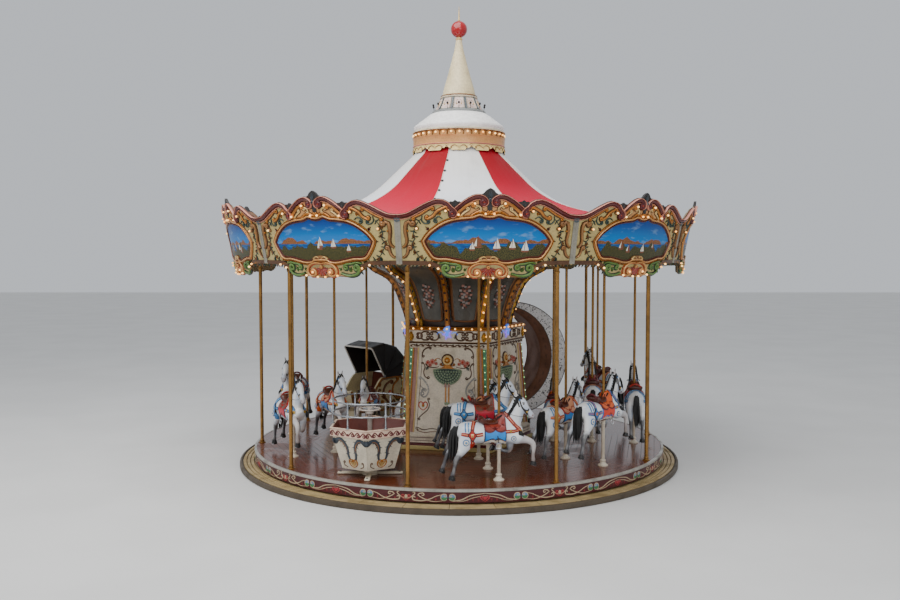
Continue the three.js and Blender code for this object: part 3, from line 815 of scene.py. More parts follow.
def platform_paints(colours):
    """Planks, step and skirt"""
    def planks(tree):
        u, v, _ = flow_parts(tree)
        board = times(tree, v, 10.4)
        count = sums(tree, "FLOOR", board)
        inside = sums(tree, "FRACT", board)
        gap = sums(tree, "ADD", fade(tree, inside, 0.045, 0.01), fade(tree, inside, 0.955, 0.99))
        chance = node(tree, "ShaderNodeTexWhiteNoise", {"W": count}, noise_dimensions="1D").outputs["Value"]
        where = pattern_place(tree, sums(tree, "ADD", u, times(tree, chance, 9.0)), v)
        grain = noise(tree, where, 5.0, 6.0, (1.0, 26.0, 1.0))
        tone = mix(tree, fade(tree, grain, 0.3, 0.7), linear("4a1e0c"), tuple(colours.deck_wood) + (1.0,))
        tone = mix(tree, times(tree, chance, 0.35), tone, linear("3a1a14"))
        wear = fade(tree, noise(tree, object_place(tree), 1.6, 5.0), 0.5, 0.7)
        tone = mix(tree, times(tree, wear, 0.16), tone, linear("7a5a4c"))
        tone = mix(tree, gap, tone, linear("1c0d09"))
        height = sums(tree, "SUBTRACT", times(tree, grain, 0.25), gap)
        return {"Base Color": tone, "Roughness": sums(tree, "ADD", fade(tree, wear, 0.0, 1.0, 0.2, 0.4),
                                                      times(tree, gap, 0.3)), "Height": height}
    material("deck planks", height=0.002, coat=0.14, shine=0.35, fill=planks)

    def slats(tree):
        u, v, _ = flow_parts(tree)
        where = pattern_place(tree, u, v)
        dots = node(tree, "ShaderNodeTexVoronoi",
                    {"Vector": where, "Scale": 62.0, "Randomness": 0.0}).outputs[0]
        knob = fade(tree, dots, 0.3, 0.18)
        worn = fade(tree, noise(tree, object_place(tree), 4.0, 5.0), 0.42, 0.7)
        tone = mix(tree, worn, linear("b09868"), linear("8a7448"))
        tone = mix(tree, times(tree, knob, 0.55), tone, linear("5c4a28"))
        return {"Base Color": tone, "Roughness": fade(tree, worn, 0, 1, 0.5, 0.7), "Height": knob}
    material("step slats", height=0.002, fill=slats)
    painted("step frame", "4e4232", "2a2218", "3a3024", 0.45, 5.0, 0.6)
    painted("skirt red", "4c1014", "2a0c0c", "2c1412", 0.35, 5.0, 0.4)
    painted("line cream", "c0ac8a", "9a8a70", "8a7a60", 0.35, 9.0, 0.42)
    painted("line red", "b0343a", "6a1a1c", "4a1a18", 0.3, 9.0, 0.42)
    painted("line green", "3f7a4a", "1c3a22", "26402a", 0.3, 9.0, 0.42)
    painted("line blue", "5f86b0", "2a4468", "30405a", 0.3, 9.0, 0.42)


def crown_and_drum_paints():
    """The crown above the roof, the centre drum and the shroud"""
    painted("dark knob", "2a2624", "121010", "1a1614", 0.3, 20.0, 0.4)
    painted("peach", "d0985c", "7a4624", "8a5c34", 0.3, 6.0, 0.34, metal=0.15)
    # Pale pink lines along the cornice: painted highlight
    painted("cornice pink highlight", "d8947c", "7a3a30", "8a5044", 0.25, 8.0, 0.34)
    painted("olive", "4a4a22", "181808", "201e0e", 0.35, 10.0, 0.4)
    painted("scallop cream", "e6cc84", "8c7040", "a08848", 0.3, 6.0, 0.4)
    painted("spire cream", "e2d2a6", "a08a58", "9c8658", 0.35, 3.0, 0.42)
    painted("lit niche", "c89858", "8a5c2c", "8a5c2c", 0.3, 12.0, 0.34)
    painted("crown cream", "dcd0b6", "8c7658", "8a785a", 0.35, 6.0, 0.42)
    painted("niche gold", "96683a", "4a2c16", "3c2412", 0.4, 12.0, 0.34, metal=0.2)
    painted("crown grey", "8c8e8c", "4c4e4e", "5a5852", 0.4, 9.0, 0.4)
    painted("rib grey", "5c6264", "34383a", "3a3a38", 0.3, 9.0, 0.4)
    painted("crown pink", "dcc4ba", "8c6a60", "7c6458", 0.3, 9.0, 0.4)
    painted("stud red", "7c1418", "2a0608", "2c0c0c", 0.3, 12.0, 0.25)
    painted("ball red", "a00a10", "5a080c", "7c0c12", 0.2, 3.0, 0.2, coat=0.5)
    painted("glitter green", "5a9870", "2c4a34", "1c3422", 0.8, 55.0, 0.2, metal=0.3)
    # Dark scroll colour, also laid under carved lines as painted shadow
    painted("dark scroll and shadow", "5a3a22", "1e1008", "201008", 0.35, 10.0, 0.36, metal=0.2)
    painted("brown scroll", "7c4c26", "2a160a", "2a180c", 0.35, 10.0, 0.36, metal=0.2)
    painted("silver scroll", "a8a49c", "4c4a48", "4a4640", 0.3, 10.0, 0.32, metal=0.4)
    painted("shell green", "92a484", "2c3a22", "3c4a30", 0.3, 10.0, 0.38)
    painted("violet lamp", "9a7cff", "7a5ae0", "8a6af0", 0.15, 12.0, 0.2, glow=0.7)
    painted("blue lamp", "5a90ff", "3a6ae0", "4a80f0", 0.15, 12.0, 0.2, glow=0.6)
    painted("shroud brown", "2c1c12", "1a120c", "1c1410", 0.4, 6.0, 0.4)
    painted("shroud panel", "545048", "101410", "26302a", 0.7, 2.6, 0.3)
    painted("bright gold", "cc9838", "4a2a0c", "5a3412", 0.25, 8.0, 0.24, metal=0.5)
    painted("blossom pink", "c08a7c", "5a3830", "5a4038", 0.3, 12.0, 0.45)
    painted("blossom grey", "b4aaa6", "4a4440", "4a4440", 0.3, 12.0, 0.45)
    painted("posy shade", "1c2418", "0c100a", "241c14", 0.5, 20.0, 0.5)
    painted("blossom core", "7c4a38", "3a1c14", "3a1c14", 0.3, 12.0, 0.45)
    painted("dusty pink", "b08478", "6a4238", "6a4a3c", 0.3, 7.0, 0.4)
    painted("rose pink", "c88070", "6a2c24", "6a3a30", 0.3, 9.0, 0.4)


def mount_paints():
    """Horses, tub, moon and carriage"""
    painted("hair", "0b0a09", "040303", "1a1612", 0.3, 14.0, 0.6, height=0.002)
    painted("hoof", "191716", "0a0908", "3a342c", 0.3, 20.0, 0.3)
    painted("silver", "c4c6c8", "5a5c60", "7a7468", 0.25, 14.0, 0.22, metal=0.9)
    painted("chrome", "a4a8ac", "6a6c70", "7a7874", 0.3, 9.0, 0.2, metal=0.9)
    painted("eye white", "e8e4dc", "a09890", "a09890", 0.1, 20.0, 0.2)
    painted("mouth", "7a3430", "3a1412", "3a1412", 0.2, 20.0, 0.3)
    painted("bridle", "241a16", "0c0806", "3a2c20", 0.3, 16.0, 0.4)
    painted("buckle", "d0a850", "5a3c14", "6a4a20", 0.25, 16.0, 0.25, metal=0.6)
    painted("rosette blue", "2e6fa8", "16304e", "1c3a5a", 0.25, 14.0, 0.35)
    painted("stripe", "7ab4dc", "3a6a96", "5a86a8", 0.25, 12.0, 0.35)
    painted("strap red", "a82010", "4e140c", "5a1c10", 0.3, 14.0, 0.35)
    painted("strap orange", "d85c1c", "7a3414", "6a3018", 0.3, 14.0, 0.35)
    painted("strap pale", "e0b48c", "8a5030", "8a5c3c", 0.3, 14.0, 0.4)
    painted("strap", "a82010", "4e140c", "5a1c10", 0.3, 14.0, 0.35)
    painted("strap line", "e0b48c", "8a5030", "8a5c3c", 0.3, 14.0, 0.4)
    painted("girth", "6a3420", "2a120a", "2e160c", 0.3, 14.0, 0.4)
    painted("cloth blue", "1e86d8", "1c4a7a", "2a5a86", 0.25, 12.0, 0.38)
    painted("cloth rose", "c01c34", "5c1420", "6a1c2a", 0.25, 12.0, 0.38)
    painted("cloth coral", "d83c1c", "6a2010", "7a3018", 0.25, 12.0, 0.38)
    painted("blanket", "1e86d8", "1c4a7a", "2a5a86", 0.25, 12.0, 0.38)
    painted("blanket border", "1c2c54", "0a1024", "141c34", 0.25, 12.0, 0.38)
    painted("navy", "1c2c54", "0a1024", "141c34", 0.25, 12.0, 0.38)
    painted("wine", "5c141c", "240608", "2a0a0c", 0.25, 12.0, 0.38)
    painted("fringe", "e0d8c8", "a09684", "8a7e6a", 0.35, 20.0, 0.5)
    painted("leather red", "8c2c1e", "3a0e08", "3c140c", 0.35, 12.0, 0.34)
    painted("leather brown", "6a3a26", "2a140a", "2c180e", 0.35, 12.0, 0.34)
    painted("leather peach", "d8946a", "7a4426", "7a4c30", 0.35, 12.0, 0.36)
    painted("saddle skirt", "8c2c1e", "3a0e08", "3c140c", 0.35, 12.0, 0.34)
    painted("skirt edge", "5c141c", "240608", "2a0a0c", 0.25, 12.0, 0.38)
    painted("saddle", "54261a", "240e08", "2a120c", 0.35, 9.0, 0.3)
    painted("white enamel", "bcb0a4", "8a8278", "7c7268", 0.3, 7.0, 0.35)
    painted("tub cream", "d6ccb6", "8c7650", "8a7c68", 0.3, 5.0, 0.4)
    painted("tub pink", "dcc0a8", "8c6850", "8a6c54", 0.3, 6.0, 0.4)
    painted("slate leaf", "3c4650", "181c22", "1c1e22", 0.3, 12.0, 0.34, metal=0.2)
    painted("seat brown", "6a3024", "2a100a", "2c140e", 0.35, 8.0, 0.34)
    painted("seat satin", "7a3226", "32120c", "34180f", 0.35, 10.0, 0.5, height=0.0012)
    painted("seat piping", "4e1c14", "1e0a06", "241008", 0.3, 12.0, 0.45)
    painted("moon back", "dedcd6", "9a968c", "8c887e", 0.3, 3.0, 0.4)
    painted("moon brown", "7a5038", "3a2418", "4a3428", 0.4, 3.0, 0.68)
    painted("moon edge", "4a423c", "1c1814", "2a241e", 0.35, 9.0, 0.36)
    painted("coach cream", "dccfa8", "8a744c", "86744e", 0.3, 5.0, 0.4)
    painted("hood cloth", "161518", "0a0a0b", "2c2a2a", 0.4, 7.0, 0.5, height=0.002)
    painted("hood lining", "2a2220", "14100e", "1c1816", 0.4, 7.0, 0.6)
    painted("hood edge", "dcd8d0", "8c887e", "8a857a", 0.3, 9.0, 0.4)
    painted("hood piping", "0e0d0f", "060606", "1c1a1a", 0.3, 9.0, 0.4)

    def coat(tree):
        x, y, z = flow_parts(tree)
        where = pattern_place(tree, x, y, z)
        drift = sums(tree, "MULTIPLY_ADD", noise(tree, where, 9.0, 3.0), 0.16, -0.08)
        height = sums(tree, "ADD", z, drift)
        soft = noise(tree, where, 6.0, 4.0, (1.0, 1.0, 0.35))
        tone = mix(tree, fade(tree, soft, 0.35, 0.7), linear("f0efec"), linear("c8d2e0"))
        # Grey-blue under the belly: airbrushing on the horse and painted shade
        belly = times(tree, fade(tree, height, 0.62, 0.5), fade(tree, sums(tree, "ABSOLUTE", x), 0.36, 0.2))
        tone = mix(tree, times(tree, belly, 0.75), tone, linear("7f8898"))
        legs = fade(tree, height, 0.47, 0.36)
        tone = mix(tree, legs, tone, linear("4a494c"))
        streak = fade(tree, noise(tree, where, 22.0, 3.0, (1.0, 1.0, 0.3)), 0.45, 0.7)
        tone = mix(tree, times(tree, times(tree, legs, streak), 0.6), tone, linear("8a8886"))
        # Grey-blue under the jaw: airbrushing on the horse and painted shade
        throat_shade = times(tree, fade(tree, sums(tree, "SUBTRACT", x, times(tree, z, 0.25)), 0.03,
                                  0.075), fade(tree, z, 0.74, 0.82))
        throat_shade = times(tree, throat_shade, fade(tree, z, 1.0, 0.93))
        tone = mix(tree, times(tree, throat_shade, 0.45), tone, linear("8fa0bc"))
        muzzle = fade(tree, sums(tree, "SUBTRACT", x, times(tree, z, 0.6)), -0.1, -0.06)
        tone = mix(tree, times(tree, muzzle, 0.6), tone, linear("a89890"))
        dapple = fade(tree, node(tree, "ShaderNodeTexVoronoi", {"Vector": where, "Scale": 26.0}).outputs[0],
                      0.2, 0.5)
        rump = times(tree, fade(tree, x, -0.3, -0.42), fade(tree, z, 0.6, 0.72))
        tone = mix(tree, times(tree, times(tree, dapple, rump), 0.18), tone, linear("98a2b4"))
        return {"Base Color": tone, "Roughness": fade(tree, soft, 0.3, 0.7, 0.24, 0.4),
                "Height": noise(tree, where, 40.0, 3.0)}
    material("coat", height=0.0006, coat=0.4, fill=coat)

    def speckle(tree):
        where = object_place(tree)
        warp = node(tree, "ShaderNodeTexNoise",
                    {"Vector": where, "Scale": 7.0, "Detail": 2.0}).outputs["Color"]
        bent = mix(tree, 0.12, where, warp, "ADD")
        curls = node(tree, "ShaderNodeTexWave",
                     {"Vector": bent, "Scale": 14.0, "Distortion": 12.0, "Detail": 2.0,
                      "Detail Scale": 2.0}, wave_type="RINGS").outputs["Fac"]
        line = fade(tree, sums(tree, "ABSOLUTE", sums(tree, "SUBTRACT", curls, 0.5)), 0.10, 0.04)
        fleck = fade(tree, noise(tree, where, 36.0, 4.0), 0.57, 0.61)
        ink = times(tree, sums(tree, "MAXIMUM", times(tree, line, 0.35), fleck), 0.85)
        soil = fade(tree, noise(tree, where, 3.0, 4.0), 0.45, 0.75)
        tone = mix(tree, times(tree, soil, 0.12), linear("fefefe"), linear("b4b4b8"))
        tone = mix(tree, ink, tone, linear("24201e"))
        return {"Base Color": tone, "Roughness": fade(tree, soil, 0.0, 1.0, 0.34, 0.5), "Height": ink}
    material("moon speckle", height=0.0015, fill=speckle)

    def green_lamp(tree):
        tone = mix(tree, fade(tree, noise(tree, object_place(tree), 20.0, 1.0), 0.4, 0.6), linear("9adf8a"),
                   linear("d8f8d0"))
        return {"Base Color": tone, "Emission Color": tone}
    material("green lamp", rough=0.25, glow=1.4, coat=0.5, fill=green_lamp)


def make_paints(colours):
    aged_paint_and_shade()
    carved_paints(colours)
    picture_paints()
    canopy_paints(colours)
    platform_paints(colours)
    crown_and_drum_paints()
    mount_paints()


# Pieces


class CarouselSizes(bpy.types.PropertyGroup):
    """Sizes that a user would change"""
    bulb_radius: FloatProperty(name="Bulb Radius", description="Radius of the round lamps on the boards",
                               default=0.015, min=0.005, max=0.05, unit="LENGTH")
    relief: FloatProperty(name="Relief", description="How far the carved scrolls stand out",
                          default=0.022, min=0.002, max=0.06, unit="LENGTH")
    canopy_sag: FloatProperty(name="Canopy Sag", description="Dip of the canopy between its seams",
                              default=0.018, min=0.0, max=0.08, unit="LENGTH")
    step_slats: IntProperty(name="Step Slats", description="Number of slats across the entry step",
                            default=5, min=2, max=12)
    flood: FloatProperty(name="Soft Light", description="Power of the overhead soft light",
                         default=1500.0, min=0.0, subtype="POWER")


class CarouselColours(bpy.types.PropertyGroup):
    """Colours that a user would change"""
    # Canopy Red and Canopy White colour the top of the canopy; the stripes are painted lighter lower down, so
    # the darker top is painted shade
    canopy_red: FloatVectorProperty(name="Canopy Red", description="Red stripes of the canopy", size=3,
                                    subtype="COLOR", default=linear("900818")[:3])
    canopy_white: FloatVectorProperty(name="Canopy White", description="White stripes of the canopy", size=3,
                                      subtype="COLOR", default=linear("dcdad4")[:3])
    cream: FloatVectorProperty(name="Cream", description="Ground of the boards and the drum", size=4,
                               subtype="COLOR", default=linear("b8a468"))
    gold: FloatVectorProperty(name="Gold", description="Carved scrolls and frames", size=4, subtype="COLOR",
                              default=linear("b8742a"))
    oxblood: FloatVectorProperty(name="Oxblood", description="Dark red-brown lines", size=4, subtype="COLOR",
                                 default=linear("5a1418"))
    leaf_green: FloatVectorProperty(name="Leaf Green", description="Carved leaves", size=4, subtype="COLOR",
                                    default=linear("5a7a34"))
    coral: FloatVectorProperty(name="Coral", description="Shells and roses", size=4, subtype="COLOR",
                               default=linear("c0452c"))
    deck_wood: FloatVectorProperty(name="Deck Wood", description="Varnished planks", size=3, subtype="COLOR",
                                   default=linear("7a3a1c")[:3])


def sizes():
    return bpy.context.scene.carousel_sizes


class BuildStage(bpy.types.Operator):
    """Adds the floor, the soft lights and the camera"""
    bl_idname = "carousel.stage"
    bl_label = "Stage"

    def execute(self, context):
        floor = bpy.data.meshes.new("floor")
        reach = 60
        floor.from_pydata([(-reach, -reach, 0), (reach, -reach, 0), (reach, reach, 0), (-reach, reach, 0)],
                          [], [(0, 1, 2, 3)])
        plane = bpy.data.objects.new("floor", floor)
        context.scene.collection.objects.link(plane)

        def ground(tree):
            soft = fade(tree, noise(tree, object_place(tree), 0.6, 3.0), 0.3, 0.7)
            return {"Base Color": mix(tree, soft, linear("d6d5d2"), linear("dcdbd8"))}
        floor.materials.append(material("studio floor", rough=0.6, fill=ground))
        world = bpy.data.worlds.new("studio")
        world.use_nodes = True
        sky = world.node_tree.nodes["Background"]
        sky.inputs[0].default_value = (0.86, 0.9, 0.96, 1)
        sky.inputs[1].default_value = 0.72
        context.scene.world = world
        lights = [("overhead", (-3, -5, 11), (24, -12, 0), 11.0, sizes().flood),
                  ("front", (4, -13, 6), (62, 0, 18), 6.0, 230.0),
                  ("side", (-12, -6, 6), (60, 0, -64), 6.0, 100.0)]
        for name, place, turn, size, power in lights:
            lamp = bpy.data.lights.new(name, "AREA")
            lamp.energy, lamp.size = power, size
            lit = bpy.data.objects.new(name, lamp)
            lit.location = place
            lit.rotation_euler = [math.radians(a) for a in turn]
            context.scene.collection.objects.link(lit)
        lens = bpy.data.cameras.new("camera")
        lens.lens, lens.sensor_width = 36.52, 36.0
        lens.shift_x = -0.00997
        lens.clip_end = 200
        camera = bpy.data.objects.new("camera", lens)
        camera.location = (0, -14.59, 3.26)
        tilt_down = 2.98
        camera.rotation_euler = (math.radians(90 - tilt_down), 0, 0)
        context.scene.collection.objects.link(camera)
        context.scene.camera = camera
        return {"FINISHED"}


class BuildGround(bpy.types.Operator):
    """Builds the slatted entry step and finishes the ground hub"""
    bl_idname = "carousel.ground"
    bl_label = "Entry Step"

    def execute(self, context):
        step = Carving()
        inner, outer, top = 3.1, 3.44, 0.078
        step.lathe([(inner, 0.001), (inner, 0.05), (inner + 0.006, 0.056), (outer - 0.034, 0.056),
                    (outer - 0.034, top), (outer - 0.02, top), (outer - 0.004, top - 0.006),
                    (outer, top - 0.02), (outer, 0.012), (outer - 0.01, 0.001), (inner, 0.001)], 200,
                   "step frame", flip=True)
        lanes = sizes().step_slats
        first, last = inner + 0.012, outer - 0.044
        pitch = (last - first) / lanes
        sectors = 36
        for lane in range(lanes):
            low, high = first + lane * pitch, first + (lane + 1) * pitch - 0.011
            for k in range(sectors):
                a = FIRST_JOINT + k * 2 * math.pi / sectors + 0.0011
                angles = np.linspace(a, a + 2 * math.pi / sectors - 0.0022, 5)
                section = [(low, 0.054), (low, top - 0.004), (low + 0.004, top), (high - 0.004, top),
                           (high, top - 0.004), (high, 0.054)]
                points = np.stack([on_ring(angles, r, z) for r, z in section])
                flow = np.stack([np.stack([angles * 3.3, np.full(5, r), np.ones(5)], -1) for r, z in section])
                step.grid(points, "step slats", flow, flip=True)
                for column in (points[::-1, 0], points[:, -1]):
                    step.add(column, [tuple(range(len(section)))], "step slats")
        piece("entry_step_slats", step, "base", ["entry_step"])
        for material_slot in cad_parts["ground_hub"].material_slots:
            material_slot.material = PAINTS["hub steel"]
        return {"FINISHED"}


class BuildPlatform(bpy.types.Operator):
    """Builds the planked deck, its floor guides and the painted skirt"""
    bl_idname = "carousel.platform"
    bl_label = "Platform"

    def deck(self):
        deck = Carving()
        columns = 25
        edge = DECK_EDGE - 0.034
        for bay in range(1, BAYS + 1):
            middle = bay_middle(bay)
            angles = np.linspace(-BAY / 2, BAY / 2, columns)
            radii = np.array([0.9, 1.3, 1.7, 2.1, 2.5, 2.9, edge])
            points = on_ring(middle + angles[None], radii[:, None], DECK_TOP)
            flow = np.stack([radii[:, None] * np.sin(angles)[None] + 7 * bay,
                             radii[:, None] * np.cos(angles)[None], np.ones((len(radii), columns))], -1)
            deck.grid(points, "deck planks", flow, flip=True)
        deck.lathe([(edge, DECK_TOP - 0.003), (edge, DECK_TOP + 0.004), (DECK_EDGE - 0.006, DECK_TOP + 0.004),
                    (DECK_EDGE, DECK_TOP), (DECK_EDGE, DECK_TOP - 0.03),
                    (DECK_EDGE - 0.004, DECK_TOP - 0.034), (DECK_EDGE - 0.02, DECK_TOP - 0.034),
                    (DECK_EDGE - 0.0276, DECK_TOP - 0.034), (DECK_EDGE - 0.0276, DECK_TOP - 0.08)],
                   DECK_SIDES, "trim metal", FIRST_JOINT, flip=True)
        hub = 0.42
        deck.lathe([(0.9, DECK_TOP), (hub, DECK_TOP - 0.002), (hub, DECK_TOP - 0.08)], DECK_SIDES, "steel",
                   FIRST_JOINT)
        outer = DECK_EDGE - 0.0276
        for radius, _ in sorted(ROWS.values(), reverse=True) + [(hub - 0.05, 0)]:
            inner = radius + 0.05
            deck.lathe([(outer, DECK_TOP - 0.08), (inner, DECK_TOP - 0.08)], DECK_SIDES, "steel", FIRST_JOINT,
                       flip=True)
            outer = radius - 0.05
        guide = [(0.072, -0.002), (0.072, 0.012), (0.066, 0.018), (0.05, 0.02), (0.046, 0.028),
                 (0.044, 0.036), (0.038, 0.042), (0.034, 0.06), (0.04, 0.066), (0.042, 0.074), (0.038, 0.084),
                 (0.03, 0.09), (0.0256, 0.09), (0.0256, -0.08)]
        for bay, row, _ in HORSES:
            angle = bay_middle(bay) + HORSE_LEAD
            centre = on_ring(angle, ROWS[row][0], 0)[:2]
            deck.lathe([(r, z + DECK_TOP) for r, z in guide], 16, "ivory", centre=centre)
        piece("planked_deck", deck, "turntable", ["platform_deck"])

    def skirt(self):
        skirt = Carving()
        foot, head = 0.1, 0.2637 - 0.03
        middle_height = 0.5 * (foot + head) + 0.004
        skirt.lathe([(DECK_EDGE - 0.027, foot), (DECK_EDGE - 0.004, foot), (DECK_EDGE, foot + 0.004),
                     (DECK_EDGE, foot + 0.01), (DECK_EDGE - 0.004, foot + 0.012), (DECK_EDGE - 0.004, head),
                     (DECK_EDGE - 0.027, head), (DECK_EDGE - 0.027, foot)], DECK_SIDES, "skirt red",
                    FIRST_JOINT)
        for bay in range(1, BAYS + 1):
            onto = bent_board(bay_middle(bay), DECK_EDGE - 0.0035, 0.1, 0.0)

            def lift(u, v, out, onto=onto):
                return onto(u, np.asarray(v) + middle_height, out)
            self.panel(skirt, lift)
        piece("painted_skirt", skirt, "turntable", ["platform_skirt"])

    def panel(self, skirt, onto):
        """One bay of painted scrolls between two joints"""
        thin = 0.0022
        half = BAY / 2 * DECK_EDGE
        for side in (1, -1):
            way = np.array([side, 1.0])
            pair = 0.469 * side
            for near in (-0.05, 0.05):
                spot = (pair + near, 0.0)
                skirt.boss(onto, spot, 0.044, thin, "line blue", sides=14, dome=0.1)
                lower = [(spot[0] + 0.038 * math.cos(a), spot[1] + 0.038 * math.sin(a))
                         for a in np.linspace(math.pi, 2 * math.pi, 9)]
                skirt.plate(onto, lower, thin * 1.7, "line green")
                hand = 1 if near > 0 else -1
                arc = [(spot[0] + 0.043 * math.cos(a) * hand, 0.043 * math.sin(a))
                       for a in np.linspace(-2.6, 1.8, 12)]
                skirt.relief(onto, curl(arc, 0.022, 1.0, hand), swell(0.012, 0.5), thin * 2, "line cream",
                             FLAT)
            lines = [
                ([(0.40, -0.045), (0.30, -0.03), (0.18, 0.025), (0, 0.05)], None, (0.014, 0.6, 1), 0.012),
                ([(0.36, -0.055), (0.25, -0.04), (0.15, -0.005), (0, 0.022)], None, None, 0.007),
                ([(0.54, 0.035), (0.62, 0.015), (0.70, -0.025), (0.80, -0.05), (0.9, -0.045)],
                 (0.03, 0.8, 1), None, 0.012),
                ([(0.54, -0.045), (0.66, -0.055), (0.78, -0.02), (0.86, 0.03), (0.80, 0.05)],
                 (0.022, 0.9, 1), None, 0.010),
                ([(0.9, 0.03), (0.95, -0.01), (half, -0.03)], None, (0.02, 0.7, -1), 0.009),
            ]
            for points, end, start, width in lines:
                path = scroll(points, end, start)
                skirt.relief(onto, path * way, swell(1.35 * width, 0.35), thin * 1.6, "line cream", FLAT)
            for at, size in ((0.0, 0.03), (half, 0.035)):
                points = [(at, -0.055), (at + 0.05 * (1 if at == 0 else -1), -0.02)]
                path = curl(smooth_line(points, 6), size * 0.7, 1.2, 1 if at == 0 else -1)
                skirt.relief(onto, path * way, swell(0.013, 0.4), thin * 1.6, "line red", FLAT)
            for at in (0.08, 0.15, 0.22, 0.33, 0.62, 0.74, 0.86):
                skirt.leaf(onto, np.array([at, -0.05]) * way, math.pi / 2 - side * 0.5, 0.05, 0.024, thin * 2,
                           "line red", side * 0.8)
        skirt.boss(onto, (0, -0.012), 0.03, thin * 2, "line red", petals=5, sides=15)
        skirt.boss(onto, (half, 0.0), 0.03, thin * 2, "line cream", petals=5, sides=15)

    def execute(self, context):
        self.deck()
        self.skirt()
        return {"FINISHED"}


class BuildPosts(bpy.types.Operator):
    """Turns the brass posts between the platform and the ceiling"""
    bl_idname = "carousel.posts"
    bl_label = "Posts"

    def execute(self, context):
        foot, head = DECK_TOP + 0.0005, CEILING - 0.0005
        for i in range(BAYS):
            centre = on_ring(FIRST_JOINT + i * BAY, POST_CIRCLE, 0)[:2]
            post = Carving()
            post.lathe([(0.002, foot), (0.055, foot), (0.056, foot + 0.005), (0.05, foot + 0.01),
                        (0.036, foot + 0.013), (0.033, foot + 0.03), (0.037, foot + 0.038),
                        (0.034, foot + 0.046), (0.027, foot + 0.05), (0.0265, foot + 0.9),
                        (0.0265, head - 0.9), (0.027, head - 0.15), (0.034, head - 0.14),
                        (0.036, head - 0.125), (0.028, head - 0.115), (0.03, head - 0.05),
                        (0.045, head - 0.02), (0.056, head - 0.01), (0.056, head), (0.002, head)],
                       20, "brass", centre=centre)
            piece(f"brass_post_{i + 1}", post, "turntable", [f"post_{i + 1}"])
        return {"FINISHED"}


